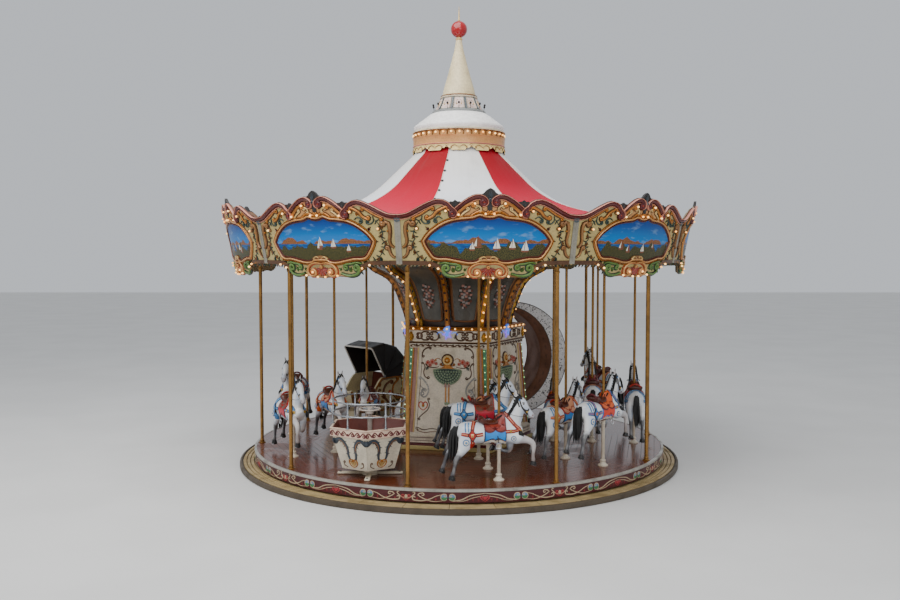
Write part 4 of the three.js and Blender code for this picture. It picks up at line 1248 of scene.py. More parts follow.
class BuildBoards(bpy.types.Operator):
    """Carves the rounding boards with their cartouches, scrolls and lamps"""
    bl_idname = "carousel.boards"
    bl_label = "Rounding Boards"

    top_line = [(0, 3.94), (0.1, 3.946), (0.2, 3.925), (0.29, 3.88), (0.37, 3.80), (0.43, 3.765),
                (0.465, 3.795), (0.52, 3.865), (0.6, 3.89), (0.7, 3.86), (0.8, 3.80), (0.9, 3.748),
                (1.0, 3.712), (1.1, 3.706)]
    foot_line = [(0, 2.932), (0.14, 2.945), (0.265, 2.955), (0.38, 2.948), (0.468, 2.953), (0.54, 2.985),
                 (0.6, 3.04), (0.66, 3.08), (0.74, 3.098), (1.1, 3.104)]
    frame_top = [(0, 3.665), (0.06, 3.672), (0.1, 3.69), (0.135, 3.685), (0.2, 3.66), (0.32, 3.648),
                 (0.44, 3.628), (0.55, 3.585), (0.64, 3.525), (0.7, 3.475), (0.765, 3.395)]
    frame_foot = [(0.765, 3.395), (0.745, 3.345), (0.7, 3.27), (0.655, 3.213), (0.6, 3.2), (0.5, 3.198),
                  (0.38, 3.175), (0.25, 3.152), (0.16, 3.155), (0.12, 3.175), (0.06, 3.185), (0, 3.188)]
    field_top = [(0, 3.87), (0.1, 3.885), (0.2, 3.87), (0.3, 3.81), (0.38, 3.735), (0.46, 3.66)]
    stem = [(0.8, 3.665), (0.845, 3.625), (0.905, 3.50), (0.884, 3.434), (0.925, 3.365), (0.89, 3.28),
            (0.83, 3.195), (0.75, 3.16)]
    cornice = [
        ([(0.055, 3.897), (0.105, 3.926), (0.178, 3.922), (0.265, 3.876), (0.352, 3.81), (0.4, 3.768)],
         0.042),
        ([(0.412, 3.758), (0.453, 3.79), (0.511, 3.852), (0.613, 3.874), (0.744, 3.825), (0.889, 3.748),
          (0.99, 3.704), (1.09, 3.694)], 0.04),
    ]
    # Half of the carved lines: points, end volute, start volute, width, height, paint
    strokes = [
        ([(0.375, 3.735), (0.33, 3.768), (0.27, 3.82), (0.205, 3.85)], (0.026, 1.2, 1), (0.02, 1.1, -1),
         0.042, 1.3, "gold"),
        ([(0.03, 3.722), (0.09, 3.748), (0.15, 3.742), (0.21, 3.705)], (0.02, 1.2, -1), (0.02, 1.2, -1), 0.03,
         1.1, "gold"),
        ([(0.15, 3.82), (0.11, 3.80), (0.10, 3.76)], (0.016, 1.1, 1), (0.018, 1.1, -1), 0.026, 1.0,
         "pale gold"),
        ([(0.25, 3.765), (0.30, 3.735), (0.34, 3.69)], (0.016, 1.1, -1), (0.018, 1.2, -1), 0.026, 1.0,
         "pale gold"),
        ([(0.5, 3.81), (0.56, 3.785), (0.62, 3.75), (0.66, 3.70), (0.72, 3.665)], (0.02, 1.1, 1),
         (0.028, 1.1, 1), 0.034, 1.2, "gold"),
        ([(0.68, 3.80), (0.74, 3.765), (0.82, 3.715), (0.9, 3.68)], (0.018, 1.1, -1), (0.02, 1.1, 1), 0.026,
         1.0, "gold"),
        ([(0.55, 3.665), (0.6, 3.69), (0.645, 3.66)], (0.024, 1.3, -1), None, 0.022, 0.9, "dark leaf"),
        ([(0.79, 3.70), (0.80, 3.65), (0.765, 3.61), (0.72, 3.61)], (0.02, 1.3, -1), None, 0.022, 0.9,
         "dark leaf"),
        ([(0.925, 3.60), (0.955, 3.632), (0.99, 3.60), (0.998, 3.50), (0.985, 3.41), (1.0, 3.35),
          (1.04, 3.318)],
         None, (0.02, 1.1, -1), 0.046, 1.8, "niche gold"),
        ([(0.97, 3.315), (0.985, 3.255), (1.01, 3.215), (1.045, 3.195)], None, (0.018, 1.2, 1), 0.034, 1.3,
         "niche gold"),
        ([(0.29, 3.0), (0.36, 2.975), (0.45, 2.968), (0.53, 2.995), (0.558, 3.045)], (0.044, 1.35, 1), None,
         0.044, 1.5, "leaf green"),
        ([(0.6, 3.12), (0.53, 3.135), (0.46, 3.12), (0.4, 3.115), (0.36, 3.102)], (0.03, 1.3, 1), None, 0.036,
         1.4, "leaf green"),
        ([(0.0, 3.118), (0.08, 3.128), (0.16, 3.112), (0.222, 3.065), (0.23, 3.0), (0.19, 2.962),
          (0.14, 2.962)],
         (0.046, 1.35, -1), None, 0.034, 1.9, "peach"),
        ([(0.02, 3.185), (0.06, 3.205), (0.10, 3.185)], (0.014, 1.1, -1), None, 0.022, 1.6, "pale gold"),
    ]

    def outline(self, board, onto):
        """The slab, with its upper and lower edges"""
        tables = [smooth_line(line, 100) for line in (self.top_line, self.foot_line)]
        reach = BAY / 2 * BOARD_FOOT_RADIUS - 0.0006
        along = np.linspace(-reach, reach, 89)
        high, low = (np.interp(np.abs(along), t[:, 0], t[:, 1]) for t in tables)
        board.slab(onto, along, low, high, 5, -0.012, -BOARD_THICKNESS, "cream", "board back")
        return reach, tables[1]

    def patch(self, board, face, across, top, foot, out, paint, shift=0.0):
        """A raised area of the board between two lines given for its right half"""
        heights = [np.interp(np.abs(across), line[:, 0], line[:, 1]) for line in (foot, top)]
        v = heights[0] + (heights[1] - heights[0]) * np.linspace(0, 1, 5)[:, None]
        u = np.broadcast_to(across, v.shape)
        board.grid(face(u, v, out), paint, np.stack([u + shift, v - 3.44, np.ones_like(u)], -1))

    # A flat dark line under a carved one: painted shadow round the carving
    def shadow_bed(self, board, face, path, width, paint="dark scroll and shadow"):
        board.relief(face, path, width, sizes().relief * 0.4, paint, FLAT)

    def carve(self, onto, number):
        board = Carving()
        r = sizes().relief
        reach, edge = self.outline(board, onto)

        def face(u, v, out):
            return onto(u, v, np.asarray(out) - 0.012)
        upper, lower = smooth_line(self.frame_top, 30), smooth_line(self.frame_foot, 30)[::-1]
        self.patch(board, face, np.linspace(-0.455, 0.455, 31), smooth_line(self.field_top, 24), upper, 0.003,
                   "peach")
        self.patch(board, face, np.linspace(-0.76, 0.76, 49), upper, lower, 0.006, "picture", 11 * number)
        self.boats(board, face, number)
        oval = np.vstack([upper, lower[::-1][1:]])
        oval = np.vstack([oval, (oval * [-1, 1])[::-1][1:-1]])
        # The first, wide flat dark band is painted shadow under the frame
        for shift, width, height, paint, section in ((0.018, 0.076, 0.5, "dark scroll and shadow", FLAT),
                                                     (0.02, 0.028, 1.5, "peach", ROUND),
                                                     (-0.001, 0.014, 1.3, "oxblood", ROUND),
                                                     (0.044, 0.014, 1.1, "gold", ROUND)):
            board.relief(face, beside(oval, shift), width, height * r, paint, section, closed=True)
        board.plate(face,
                    [(-0.11, 3.15), (0.11, 3.15), (0.128, 3.185), (0.085, 3.212), (0, 3.22), (-0.085, 3.212),
                     (-0.128, 3.185)], 0.022, "niche gold")
        for side in (1, -1):
            self.half(board, face, np.array([side, 1.0]), side, reach, edge)
        for k in range(9):
            lean = (k - 4) / 4
            board.leaf(face, (0.0, 3.07), -math.pi / 2 + lean * 1.2, 0.13 - 0.02 * abs(lean), 0.042, r * 1.7,
                       "coral" if k % 2 else "rose line", 0.25 * lean)
        board.boss(face, (0, 3.075), 0.03, r * 2.2, "peach", petals=6, sides=18)
        crest = [(0, 3.745), (0.028, 3.765), (0.032, 3.84), (0.06, 3.875), (0.094, 3.93), (0.096, 3.958),
                 (0.068, 3.975), (0.05, 4.0), (0.025, 4.018), (0, 4.03)]
        crest = np.array(crest + [(-u, v) for u, v in crest[-2:0:-1]])
        board.plate(face, crest, 0.012, "dark knob", sink=0.024, back=True)
        board.acanthus(face, (0, 3.885), math.pi / 2, 0.145, r * 1.9, "crest teal", 5, 0.85)
        board.acanthus(face, (0, 3.90), math.pi / 2, 0.1, r * 1.9, "crest teal", 4, 1.45)
        board.acanthus(face, (0, 3.88), -math.pi / 2, 0.135, r * 1.6, "crest teal", 3, 0.28)
        board.boss(face, (0, 3.885), 0.03, r * 2.4, "crest teal", petals=5, sides=15)
        return board

    def half(self, board, face, way, side, reach, edge):
        """Everything that is carved to one side of the middle"""
        r = sizes().relief
        for points, radius in self.cornice:
            path = scroll(points, None, (radius, 1.15, 1), 14)
            # Each cornice lies on a dark bed of painted shadow, with pale pink lines of painted highlight
            # beside it
            self.shadow_bed(board, face, path * way, 0.068)
            board.relief(face, path * way, swell(0.058, 0.7), r * 1.9, "oxblood")
            board.relief(face, beside(path, 0.02)[8:] * way, 0.012, r * 2.3, "cornice pink highlight")
            board.relief(face, beside(path, -0.036)[12:] * way, 0.014, r * 1.1, "cornice pink highlight")
        for points, end, start, width, height, paint in self.strokes:
            path = scroll(points, end, start, 11) * way
            # Wide strokes lie on a darker bed of painted shadow
            if width > 0.025:
                self.shadow_bed(board, face, path, swell(width + 0.02, 0.6), "dark leaf" if "green" in paint
                         else "coral" if paint == "peach" else "dark scroll and shadow")
            board.relief(face, path, swell(width, 0.5), height * r, paint)
        stem = smooth_line(self.stem, 19) * way
        board.vine(face, stem, 0.052, r * 0.9, "dark leaf", 2)
        for k, turn in ((3, 1), (6, -1), (9, 1), (12, -1), (15, 1)):
            ahead = stem[k + 1] - stem[k]
            ahead /= np.linalg.norm(ahead)
            out = turn * np.array([-ahead[1], ahead[0]])
            path = curl([stem[k], stem[k] + 0.022 * (ahead + out)], 0.018, 1.1, -turn, 8)
            board.relief(face, path, 0.011, r * 0.8, "brown scroll")
        board.relief(face, beside(edge[:60:3] * way, 0.014 * side), 0.026, r * 1.1, "niche gold")
        board.relief(face, beside(edge[52::3] * way, 0.03 * side), 0.056, r * 0.5, "dark scroll and shadow", FLAT)
        for k in range(21):
            u = 0.57 + 0.024 * k
            v = np.interp(u, edge[:, 0], edge[:, 1]) + 0.014
            board.leaf(face, (u * side, v), math.pi / 2 - side * (1.2 if k % 2 else 2.1), 0.056, 0.03,
                       r * 1.1, ("dark leaf", "brown scroll", "olive")[k % 3], -side * 0.6, 4)
        strip = [(1.056, 3.115), (reach, 3.115), (reach, 3.70), (1.056, 3.69)]
        board.plate(face, np.array(strip) * way, 0.013, "joint grey")
        cap = [(1.058, 3.645), (reach - 0.004, 3.625), (reach - 0.004, 3.70), (1.058, 3.69)]
        board.plate(face, np.array(cap) * way, 0.02, "crest teal")
        tuft = [(0.33, 3.846), (0.36, 3.83), (0.405, 3.76), (0.43, 3.76), (0.46, 3.835), (0.478, 3.85),
                (0.462, 3.874), (0.43, 3.87), (0.405, 3.89), (0.375, 3.872), (0.345, 3.872)]
        board.plate(face, np.array(tuft) * way, 0.010, "dark knob", sink=0.024, back=True)
        board.acanthus(face, (0.408 * side, 3.80), math.pi / 2, 0.088, r * 1.5, "crest teal", 5, 1.05)
        for spot, lean, size, paint, lobes in (
                ((0.57, 3.735), -0.4, 0.06, "gold", 3), ((0.29, 3.80), 1.9, 0.05, "pale gold", 3),
                ((0.72, 3.535), 0.8, 0.055, "oxblood", 3), ((0.795, 3.395), 0.0, 0.05, "oxblood", 3),
                ((0.67, 3.195), -0.9, 0.055, "oxblood", 3), ((0.42, 3.02), 1.2, 0.07, "leaf green", 5),
                ((0.3, 3.04), 2.6, 0.055, "leaf green", 3), ((0.62, 3.14), 0.2, 0.06, "olive", 5),
                ((0.86, 3.15), 1.5, 0.06, "dark leaf", 5), ((0.95, 3.72), -1.2, 0.05, "dark leaf", 3)):
            angle = lean if side > 0 else math.pi - lean
            board.acanthus(face, (spot[0] * side, spot[1]), angle, size, r * 1.1, paint, lobes)
        for spot, radius, paint in (((0.068, 3.862), 0.018, "coral"), ((0.437, 3.727), 0.018, "coral"),
                                    ((0.137, 3.012), 0.03, "peach"), ((0.857, 3.549), 0.024, "niche gold"),
                                    ((0.513, 3.757), 0.024, "niche gold"), ((0.97, 3.52), 0.013, "gold")):
            board.boss(face, (spot[0] * side, spot[1]), radius, r * 1.6, paint, sides=10)

    def boats(self, board, face, number):
        """Small boats of the generic picture, in other places on each board"""
        chance = np.random.default_rng(100 + number)
        for spot in chance.uniform(-0.5, 0.5, 4 + number % 2):
            size = chance.uniform(0.05, 0.1)
            water = 3.36 - chance.uniform(0.02, 0.1)
            paint = "sail white" if chance.random() < 0.5 else "sail brown"
            for shape, tone in (([(0, 0.012), (0.55 * size, 0.016), (0.1 * size, 1.5 * size)], paint),
                                ([(-0.42 * size, 0.016), (-0.06 * size, 0.012), (-0.03 * size, 1.15 * size)],
                                 "sail white"),
                                ([(-0.5 * size, 0.01), (-0.35 * size, -0.008), (0.45 * size, -0.008),
                                  (0.62 * size, 0.01)], "sail brown")):
                board.plate(face, np.array(shape) + (spot, water), 0.0075, tone)

    def execute(self, context):
        bulbs = [(0.175, 3.845), (0.363, 3.712), (0.05, 3.722), (0.513, 3.757), (0.857, 3.549),
                 (0.137, 3.012), (0.61, 3.065), (0.714, 3.105), (0.25, 2.968), (0.06, 2.95)]
        spots, facings = [], []
        for number in range(1, BAYS + 1):
            onto = bent_board(bay_middle(number), BOARD_FOOT_RADIUS, BOARD_FOOT, BOARD_LEAN)
            piece(f"carved_board_{number}", self.carve(onto, number), "turntable",
                  [f"rounding_board_{number}"])
            for u, v in bulbs:
                for side in (1, -1):
                    spots.append(onto(side * u, v, 0.018))
                    facings.append(on_ring(bay_middle(number) + side * u / BOARD_FOOT_RADIUS, 1.0, -0.15))
        repeated("board_lamps", bulb_motif(sizes().bulb_radius), "lamp", spots, facings, "turntable")
        string, outward = [], []
        for angle in FIRST_JOINT + np.arange(0, 2 * math.pi, BAY / 8) + BAY / 16:
            string.append(on_ring(angle, 3.405, CEILING - 0.004))
            outward.append(on_ring(angle, 0.25, -1.0))
        repeated("rim_lamps", bulb_motif(sizes().bulb_radius), "lamp", string, outward, "turntable")
        return {"FINISHED"}


class BuildCanopy(bpy.types.Operator):
    """Shapes the striped canopy, sagging a little between its seams, with its welts and knobs, and finishes
    the ceiling
    """
    bl_idname = "carousel.canopy"
    bl_label = "Canopy"

    profile = [(3.548, 3.688), (3.2, 3.728), (2.8, 3.77), (2.45, 3.818), (2.1, 3.885), (1.8, 3.972),
               (1.55, 4.08), (1.3, 4.238), (1.1, 4.42), (0.87, 4.64), (0.69, 4.82), (0.645, 4.965)]

    def execute(self, context):
        line = smooth_line(self.profile, 34)
        cloth = Carving()
        columns = 20
        reach = run_along(line)
        for bay in range(1, BAYS + 1):
            t = np.linspace(0, 1, columns + 1)
            angles = FIRST_JOINT + (bay - 1 + t) * BAY
            dip = np.sin(np.pi * t)[None] * np.sin(np.pi * np.linspace(0, 1, len(line)))[:, None]
            drop = sizes().canopy_sag * dip * (line[:, :1] / 2.0).clip(0, 1)
            points = on_ring(angles[None], line[:, :1], line[:, 1:] - drop)
            band = 1.0 if bay % 2 else 0.0
            flow = together((t[None] - 0.5) * line[:, :1] * BAY + 7 * bay, reach[:, None], band)
            cloth.grid(points, "canopy cloth", flow)
        mesh = piece("striped_canopy", cloth, "turntable", ["canopy"], weld=False)
        work = bmesh.new()
        work.from_mesh(mesh.data)
        area = sum(f.calc_area() for f in work.faces)
        work.free()
        seams = Carving()
        for joint in range(BAYS):
            angle = FIRST_JOINT + joint * BAY
            path = on_ring(angle, line[:, 0], line[:, 1] + 0.001)
            seams.tube(path[:-1], 0.008, "welt", sides=6, flat=0.6)
        piece("canopy_welts", seams, "turntable")
        knob = Carving()
        knob.lathe([(0.003, -0.004), (0.02, -0.004), (0.021, 0.004), (0.014, 0.009), (0.003, 0.0105)], 10,
                   "dark knob")
        spots, facings = [], []
        for height in (4.63, 4.46, 4.30, 4.145, 4.005, 3.90):
            radius = np.interp(height, line[:, 1], line[:, 0])
            spots.append(on_ring(FIRST_JOINT + 0.012, radius, height + 0.008))
            facings.append(on_ring(FIRST_JOINT, 0.7, 0.7))
        repeated("canopy_knobs", knob, "dark knob", spots, facings, "turntable")
        for material_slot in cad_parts["ceiling"].material_slots:
            material_slot.material = PAINTS["ceiling paint"]
        return {"FINISHED"}


class BuildCrown(bpy.types.Operator):
    """Builds the lambrequin, lamp band, bell dome, crown, spire and ball"""
    bl_idname = "carousel.crown"
    bl_label = "Crown"

    def lambrequin(self):
        scallops, steps = 12, 20
        hung = Carving()
        columns = scallops * steps
        first = math.pi / scallops
        angles = first + np.linspace(0, 2 * math.pi, columns, endpoint=False)
        t = (np.arange(columns) % steps) / steps
        near = np.minimum(t, 1 - t)
        foot = 4.808 + 0.032 * (near < 0.2) + 0.045 * np.clip(1 - near / 0.08, 0, 1)
        rows = [(0.724, 4.979), (0.722, 4.93), (0.73, 4.922), (0.732, 4.914), (0.722, 4.905), (0.72, 4.88)]
        table = [on_ring(angles, r, z) for r, z in rows]
        table += [on_ring(angles, 0.729, foot + 0.012), on_ring(angles, 0.733, foot),
                  on_ring(angles, 0.722, foot), on_ring(angles, 0.70, 4.9), on_ring(angles, 0.70, 4.979)]
        table = np.array(table)
        hung.grid(table[:3], "peach", None, around=True)
        hung.grid(table[2:5], "rose line", None, around=True)
        hung.grid(table[4:9], "scallop cream", None, around=True)
        hung.grid(table[8:], "dark knob", None, around=True)
        for k in range(scallops):
            onto = bent_board(first + k * 2 * math.pi / scallops, 0.724, 4.9, -0.08)
            hung.leaf(onto, (0, 4.905), -math.pi / 2, 0.055, 0.07, 0.012, "pale gold", 0.0)
            middle = math.pi / scallops * 0.722
            for side in (1, -1):
                path = scroll([(middle + side * 0.02, 4.862), (middle + side * 0.07, 4.885),
                               (middle + side * 0.12, 4.86)], (0.012, 1.0, -side), None, 8)
                hung.relief(onto, path, swell(0.013, 0.5), 0.007, "niche gold")
            hung.boss(onto, (middle, 4.856), 0.018, 0.014, "pale gold", petals=5, sides=15)
        piece("lambrequin_scallops", hung, "turntable", ["lambrequin"])

    def lamp_band(self):
        band = Carving()
        band.lathe([(0.002, 4.9803), (0.724, 4.9803), (0.727, 5.03), (0.733, 5.038), (0.735, 5.044),
                    (0.72, 5.047)],
                   120, "peach")
        band.lathe([(0.72, 5.047), (0.702, 5.052), (0.702, 5.125), (0.72, 5.13)], 120, "lit niche")
        band.lathe([(0.72, 5.13), (0.734, 5.132), (0.735, 5.1397), (0.002, 5.1397)], 120, "crown cream")
        lamps = 36
        angles = math.radians(0.5) + np.arange(lamps) * 2 * math.pi / lamps
        for angle in angles:
            onto = bent_board(angle + math.pi / lamps, 0.702, 5, 0.0)
            for side in (1, -1):
                path = [(side * 0.004, 5.05), (side * 0.004, 5.10), (side * 0.02, 5.118),
                        (side * 0.05, 5.128)]
                band.relief(onto, smooth_line(path, 6), 0.011, 0.026, "niche gold")
        piece("lamp_band_niches", band, "turntable", ["lamp_band"])
        spots = [on_ring(angle, 0.708, 5.088) for angle in angles]
        repeated("crown_lamps", bulb_motif(0.0165), "lamp", spots, [on_ring(a, 1.0, 0.0) for a in angles],
                 "turntable")

    def upper(self):
        dome = Carving()
        dome.lathe([(0.002, 5.1403), (0.69, 5.1403), (0.704, 5.148), (0.704, 5.158), (0.698, 5.164)],
                   CROWN_SIDES, "crown cream")
        dome.lathe([(0.698, 5.164), (0.706, 5.18), (0.714, 5.205), (0.712, 5.228), (0.70, 5.243)],
                   CROWN_SIDES, "dome white")
        dome.lathe([(0.70, 5.243), (0.672, 5.262), (0.63, 5.297), (0.588, 5.328), (0.535, 5.368),
                    (0.482, 5.408), (0.45, 5.428), (0.428, 5.4397)], CROWN_SIDES, "dome white", smooth=14)
        dome.lathe([(0.428, 5.4397), (0.002, 5.4397)], CROWN_SIDES, "dome white")
        piece("bell_dome", dome, "turntable", ["dome"])
        crown = Carving()
        rim = [(0.002, 5.4403), (0.416, 5.4403), (0.422, 5.446), (0.422, 5.47), (0.41, 5.478)]
        line = [(0.41, 5.478), (0.38, 5.484), (0.364, 5.494), (0.345, 5.53), (0.312, 5.60), (0.287, 5.66),
                (0.281, 5.68)]
        crown.lathe(rim, CROWN_SIDES, "crown grey")
        crown.lathe(line, CROWN_SIDES, "crown grey")
        crown.lathe([(0.281, 5.68), (0.292, 5.684), (0.296, 5.69), (0.296, 5.70), (0.29, 5.7047),
                     (0.002, 5.7047)], CROWN_SIDES, "crown cream")
        panels = 10
        half = math.pi / panels * 0.32
        radii, heights = np.array(line).T
        for k in range(panels):
            angle = k * 2 * math.pi / panels

            def onto(u, v, out, angle=angle):
                r = np.interp(v, heights, radii)
                return on_ring(angle + u / 0.32, r + out, v)
            shape = [(-0.066, 5.502), (0.066, 5.502), (0.066, 5.59), (0.064, 5.666), (-0.064, 5.666),
                     (-0.066, 5.59)]
            crown.plate(onto, shape, 0.009, "crown pink")
            crown.relief(onto, np.array(shape) * [1.12, 1], 0.012, 0.014, "crown cream", closed=True)
            crown.relief(onto, [(half, 5.488), (half, 5.53), (half, 5.60), (half, 5.676)], 0.026, 0.018,
                         "rib grey", FLAT)
            for side in (1, -1):
                crown.relief(onto, scroll([(side * 0.012, 5.63), (side * 0.04, 5.615), (side * 0.045, 5.57)],
                                          (0.012, 1.1, -side)), swell(0.01, 0.5), 0.014, "pale gold")
                crown.leaf(onto, (0, 5.54), -math.pi / 2 + side * 0.7, 0.035, 0.022, 0.013, "rose line")
        piece("crown_panels", crown, "turntable", ["crown_band"])
        knob = Carving()
        knob.lathe([(0.004, -0.006), (0.0032, 0.078), (0.012, 0.085), (0.017, 0.096), (0.017, 0.105),
                    (0.011, 0.117), (0.002, 0.121)], 8, "dark knob")
        angles = np.arange(14) * math.pi / 7
        repeated("crown_knobs", knob, "dark knob", [on_ring(a, 0.40, 5.47) for a in angles],
                 [on_ring(a, 0.14, 1.0) for a in angles], "turntable")
        spire = Carving()
        spire.lathe([(0.002, 5.7053), (0.284, 5.7053), (0.29, 5.712), (0.288, 5.722), (0.262, 5.732)], 60,
                    "brown scroll")
        spire.lathe([(0.262, 5.732), (0.252, 5.78), (0.238, 5.841), (0.196, 5.982), (0.152, 6.138),
                     (0.112, 6.294), (0.072, 6.45), (0.0465, 6.6)], 60, "spire cream", smooth=16)
        spire.lathe([(0.0465, 6.6), (0.056, 6.606), (0.056, 6.618), (0.045, 6.624), (0.044, 6.6397),
                     (0.002, 6.6397)],
                    40, "pale gold")
        piece("cream_spire", spire, "turntable", ["spire"])
        ball = Carving()
        turn = np.linspace(0.32, math.pi - 0.1, 20)
        profile = [(0.002, 6.6403), (0.04, 6.6403)] + [(0.13 * math.sin(a), 6.77 - 0.13 * math.cos(a))
                                                       for a in turn]
        ball.lathe(profile, 36, "ball red")
        ball.lathe([(0.0135, 6.899), (0.02, 6.905), (0.02, 6.915), (0.012, 6.925), (0.010, 6.98),
                    (0.007, 7.06), (0.002, 7.13)], 16, "pale gold")
        piece("red_ball", ball, "turntable", ["finial"])

    def execute(self, context):
        self.lambrequin()
        self.lamp_band()
        self.upper()
        return {"FINISHED"}


class BuildDrum(bpy.types.Operator):
    """Builds the five-sided centre drum, its frieze and the flared shroud above"""
    bl_idname = "carousel.drum"
    bl_label = "Centre Drum"

    def body(self):
        drum = Carving()
        drum.turned(DRUM_CORNERS, [
            ("cream", [(0.002, 0.2703), (1.195, 0.2703), (1.2, 0.275), (1.2, 0.32), (1.19, 0.332)]),
            ("oxblood", [(1.19, 0.332), (1.176, 0.338), (1.168, 0.352), (1.176, 0.366), (1.166, 0.376)]),
            ("ivory", [(1.166, 0.376), (1.16, 0.40), (1.155, 0.46), (1.162, 0.474), (1.155, 0.488),
                       (1.132, 0.5)]),
            ("ivory", [(1.132, 0.5), (1.122, 0.51), (1.01, 1.80), (1.0, 1.82)]),
            ("ivory", [(1.0, 1.82), (1.026, 1.825), (1.034, 1.832), (1.034, 1.8797), (0.002, 1.8797)]),
        ], DRUM_FIRST)
        for side in range(DRUM_CORNERS):
            self.face(drum, drum_face(side, [(1.122, 0.51), (1.01, 1.80), (1.0, 1.88)]))
            lower = drum_face(side, [(1.16, 0.3), (1.16, 0.5)])
            border = drum_face(side, [(1.034, 1.8), (1.034, 1.9)])
            for k in range(12):
                u, hand = 0.095 * (k - 5.5), 1 if k % 2 else -1
                path = scroll([(u - 0.045, 1.843 - 0.006 * hand), (u, 1.856),
                               (u + 0.03, 1.853 + 0.008 * hand)],
                              (0.013, 1.2, -hand), (0.01, 1.0, -hand), 7)
                drum.relief(border, path, swell(0.018, 0.5), 0.010, "dark scroll and shadow")
                drum.leaf(border, (u, 1.84), math.pi / 2 + hand * 1.1, 0.04, 0.02, 0.008, "brown scroll",
                          hand, 4)
            for height in (0.405, 0.452):
                drum.relief(lower, [(-0.66, height), (0.66, height)], 0.008, 0.004, "oxblood", FLAT)
        piece("painted_drum", drum, "turntable", ["centre_drum"])

    def corner_radius(self, v):
        return np.interp(v, [0.51, 1.8], [1.122, 1.01])

    def edge(self, v):
        return self.corner_radius(v) * math.sin(math.pi / DRUM_CORNERS)

    def face(self, drum, onto):
        for side in (1, -1):
            way = np.array([side, 1.0])
            low, high = self.edge(0.55), self.edge(1.8)

            def bar(inner, outer, foot, head, height, paint, way=way, low=low, high=high):
                base, tip = (np.interp(z, [0.55, 1.8], [low, high]) for z in (foot, head))
                drum.plate(onto, np.array([(base - outer, foot), (base - inner, foot), (tip - inner, head),
                                           (tip - outer, head)]) * way, height, paint)
            bar(0.004, 0.052, 0.55, 1.80, 0.010, "glitter green")
            bar(0.055, 0.075, 0.53, 1.81, 0.024, "gold")
            bar(0.079, 0.128, 0.53, 1.81, 0.012, "dusty pink")
            bar(0.132, 0.15, 0.53, 1.81, 0.016, "pale gold")
            panel = [(0.405, 1.70), (0.40, 1.6), (0.425, 1.2), (0.45, 0.9), (0.462, 0.62)]
            drum.relief(onto, smooth_line(np.array(panel) * way, 14), 0.009, 0.006, "dark scroll and shadow")
            strokes = [
                ([(0.28, 1.815), (0.34, 1.80), (0.385, 1.755), (0.40, 1.69)], (0.02, 1.1, -1), (0.016, 1, 1),
                 0.022, "dark scroll and shadow"),
                ([(0.38, 1.58), (0.35, 1.52), (0.37, 1.45), (0.355, 1.38), (0.31, 1.345)], (0.02, 1.2, -1),
                 (0.016, 1.1, -1), 0.018, "dark scroll and shadow"),
                ([(0.41, 1.36), (0.35, 1.30), (0.295, 1.21), (0.30, 1.12), (0.35, 1.06), (0.40, 1.08)],
                 (0.034, 1.3, 1), (0.02, 1, -1), 0.026, "silver scroll"),
                ([(0.42, 1.24), (0.385, 1.20), (0.345, 1.19)], (0.022, 1.2, 1), None, 0.02, "silver scroll"),
                ([(0.372, 0.86), (0.32, 0.90), (0.305, 0.955), (0.335, 0.99), (0.372, 0.965)],
                 (0.012, 0.8, -1), None, 0.02, "coral"),
                ([(0.372, 0.86), (0.425, 0.90), (0.44, 0.955), (0.41, 0.99), (0.372, 0.965)], (0.012, 0.8, 1),
                 None, 0.02, "coral"),
                ([(0.30, 1.02), (0.275, 0.95), (0.30, 0.87), (0.38, 0.80), (0.44, 0.74)], (0.018, 1.1, -1),
                 (0.02, 1.1, 1), 0.016, "dark scroll and shadow"),
                ([(0.455, 0.60), (0.36, 0.565), (0.24, 0.59), (0.12, 0.575), (0.02, 0.585)], None,
                 (0.02, 1, -1), 0.014, "dark scroll and shadow"),
                ([(0.45, 0.545), (0.34, 0.525), (0.2, 0.545), (0.02, 0.53)], None, (0.014, 1, 1), 0.012,
                 "brown scroll"),
                ([(0.13, 1.53), (0.19, 1.515), (0.27, 1.515), (0.33, 1.545)], (0.022, 1.2, 1), None, 0.018,
                 "dark scroll and shadow"),
                ([(0.10, 1.63), (0.15, 1.655), (0.19, 1.635)], (0.014, 1.1, -1), None, 0.014, "gold"),
            ]
            for points, end, start, width, paint in strokes:
                drum.relief(onto, scroll(points, end, start) * way, swell(width, 0.5), 0.010, paint)
            for u, v, radius in ((0.235, 1.603, 0.052), (0.308, 1.588, 0.042), (0.272, 1.552, 0.036),
                                 (0.178, 1.572, 0.032)):
                drum.boss(onto, (u * side, v), radius, 0.02, "rose pink", petals=6, sides=18)
                drum.boss(onto, (u * side, v), radius * 0.5, 0.03, "coral", petals=5, sides=15)
            drum.acanthus(onto, (0.30 * side, 1.52), -math.pi / 2 + side * 0.7, 0.07, 0.010, "dark leaf")
            drum.acanthus(onto, (0.40 * side, 1.14), math.pi / 2 + side * 0.6, 0.08, 0.012, "silver scroll",
                          5, 0.8)
            drum.boss(onto, (0.372 * side, 0.93), 0.022, 0.014, "gold", sides=10)
            drum.relief(onto, np.array([(0.024, 0.99), (0.024, 1.25)]) * way, 0.028, 0.014, "peach")
            for v in (1.235, 1.262):
                drum.boss(onto, (0.026 * side, v), 0.02, 0.02, "dusty pink", sides=10)
            drum.boss(onto, (0.02 * side, 0.975), 0.03, 0.016, "shell green", petals=5, sides=15)
        turn = np.linspace(math.pi, 2 * math.pi, 22)
        bowl = np.stack([0.214 * np.cos(turn), 1.478 + 0.216 * np.sin(turn)], 1)
        rim = smooth_line([(0.214, 1.478), (0.11, 1.498), (0, 1.505), (-0.11, 1.498), (-0.214, 1.478)], 12)
        drum.plate(onto, np.vstack([bowl, rim[1:-1]]), 0.010, "dark leaf")
        drum.relief(onto, bowl, 0.022, 0.02, "shell green")
        drum.relief(onto, rim, 0.022, 0.02, "shell green")
        for row in range(5):
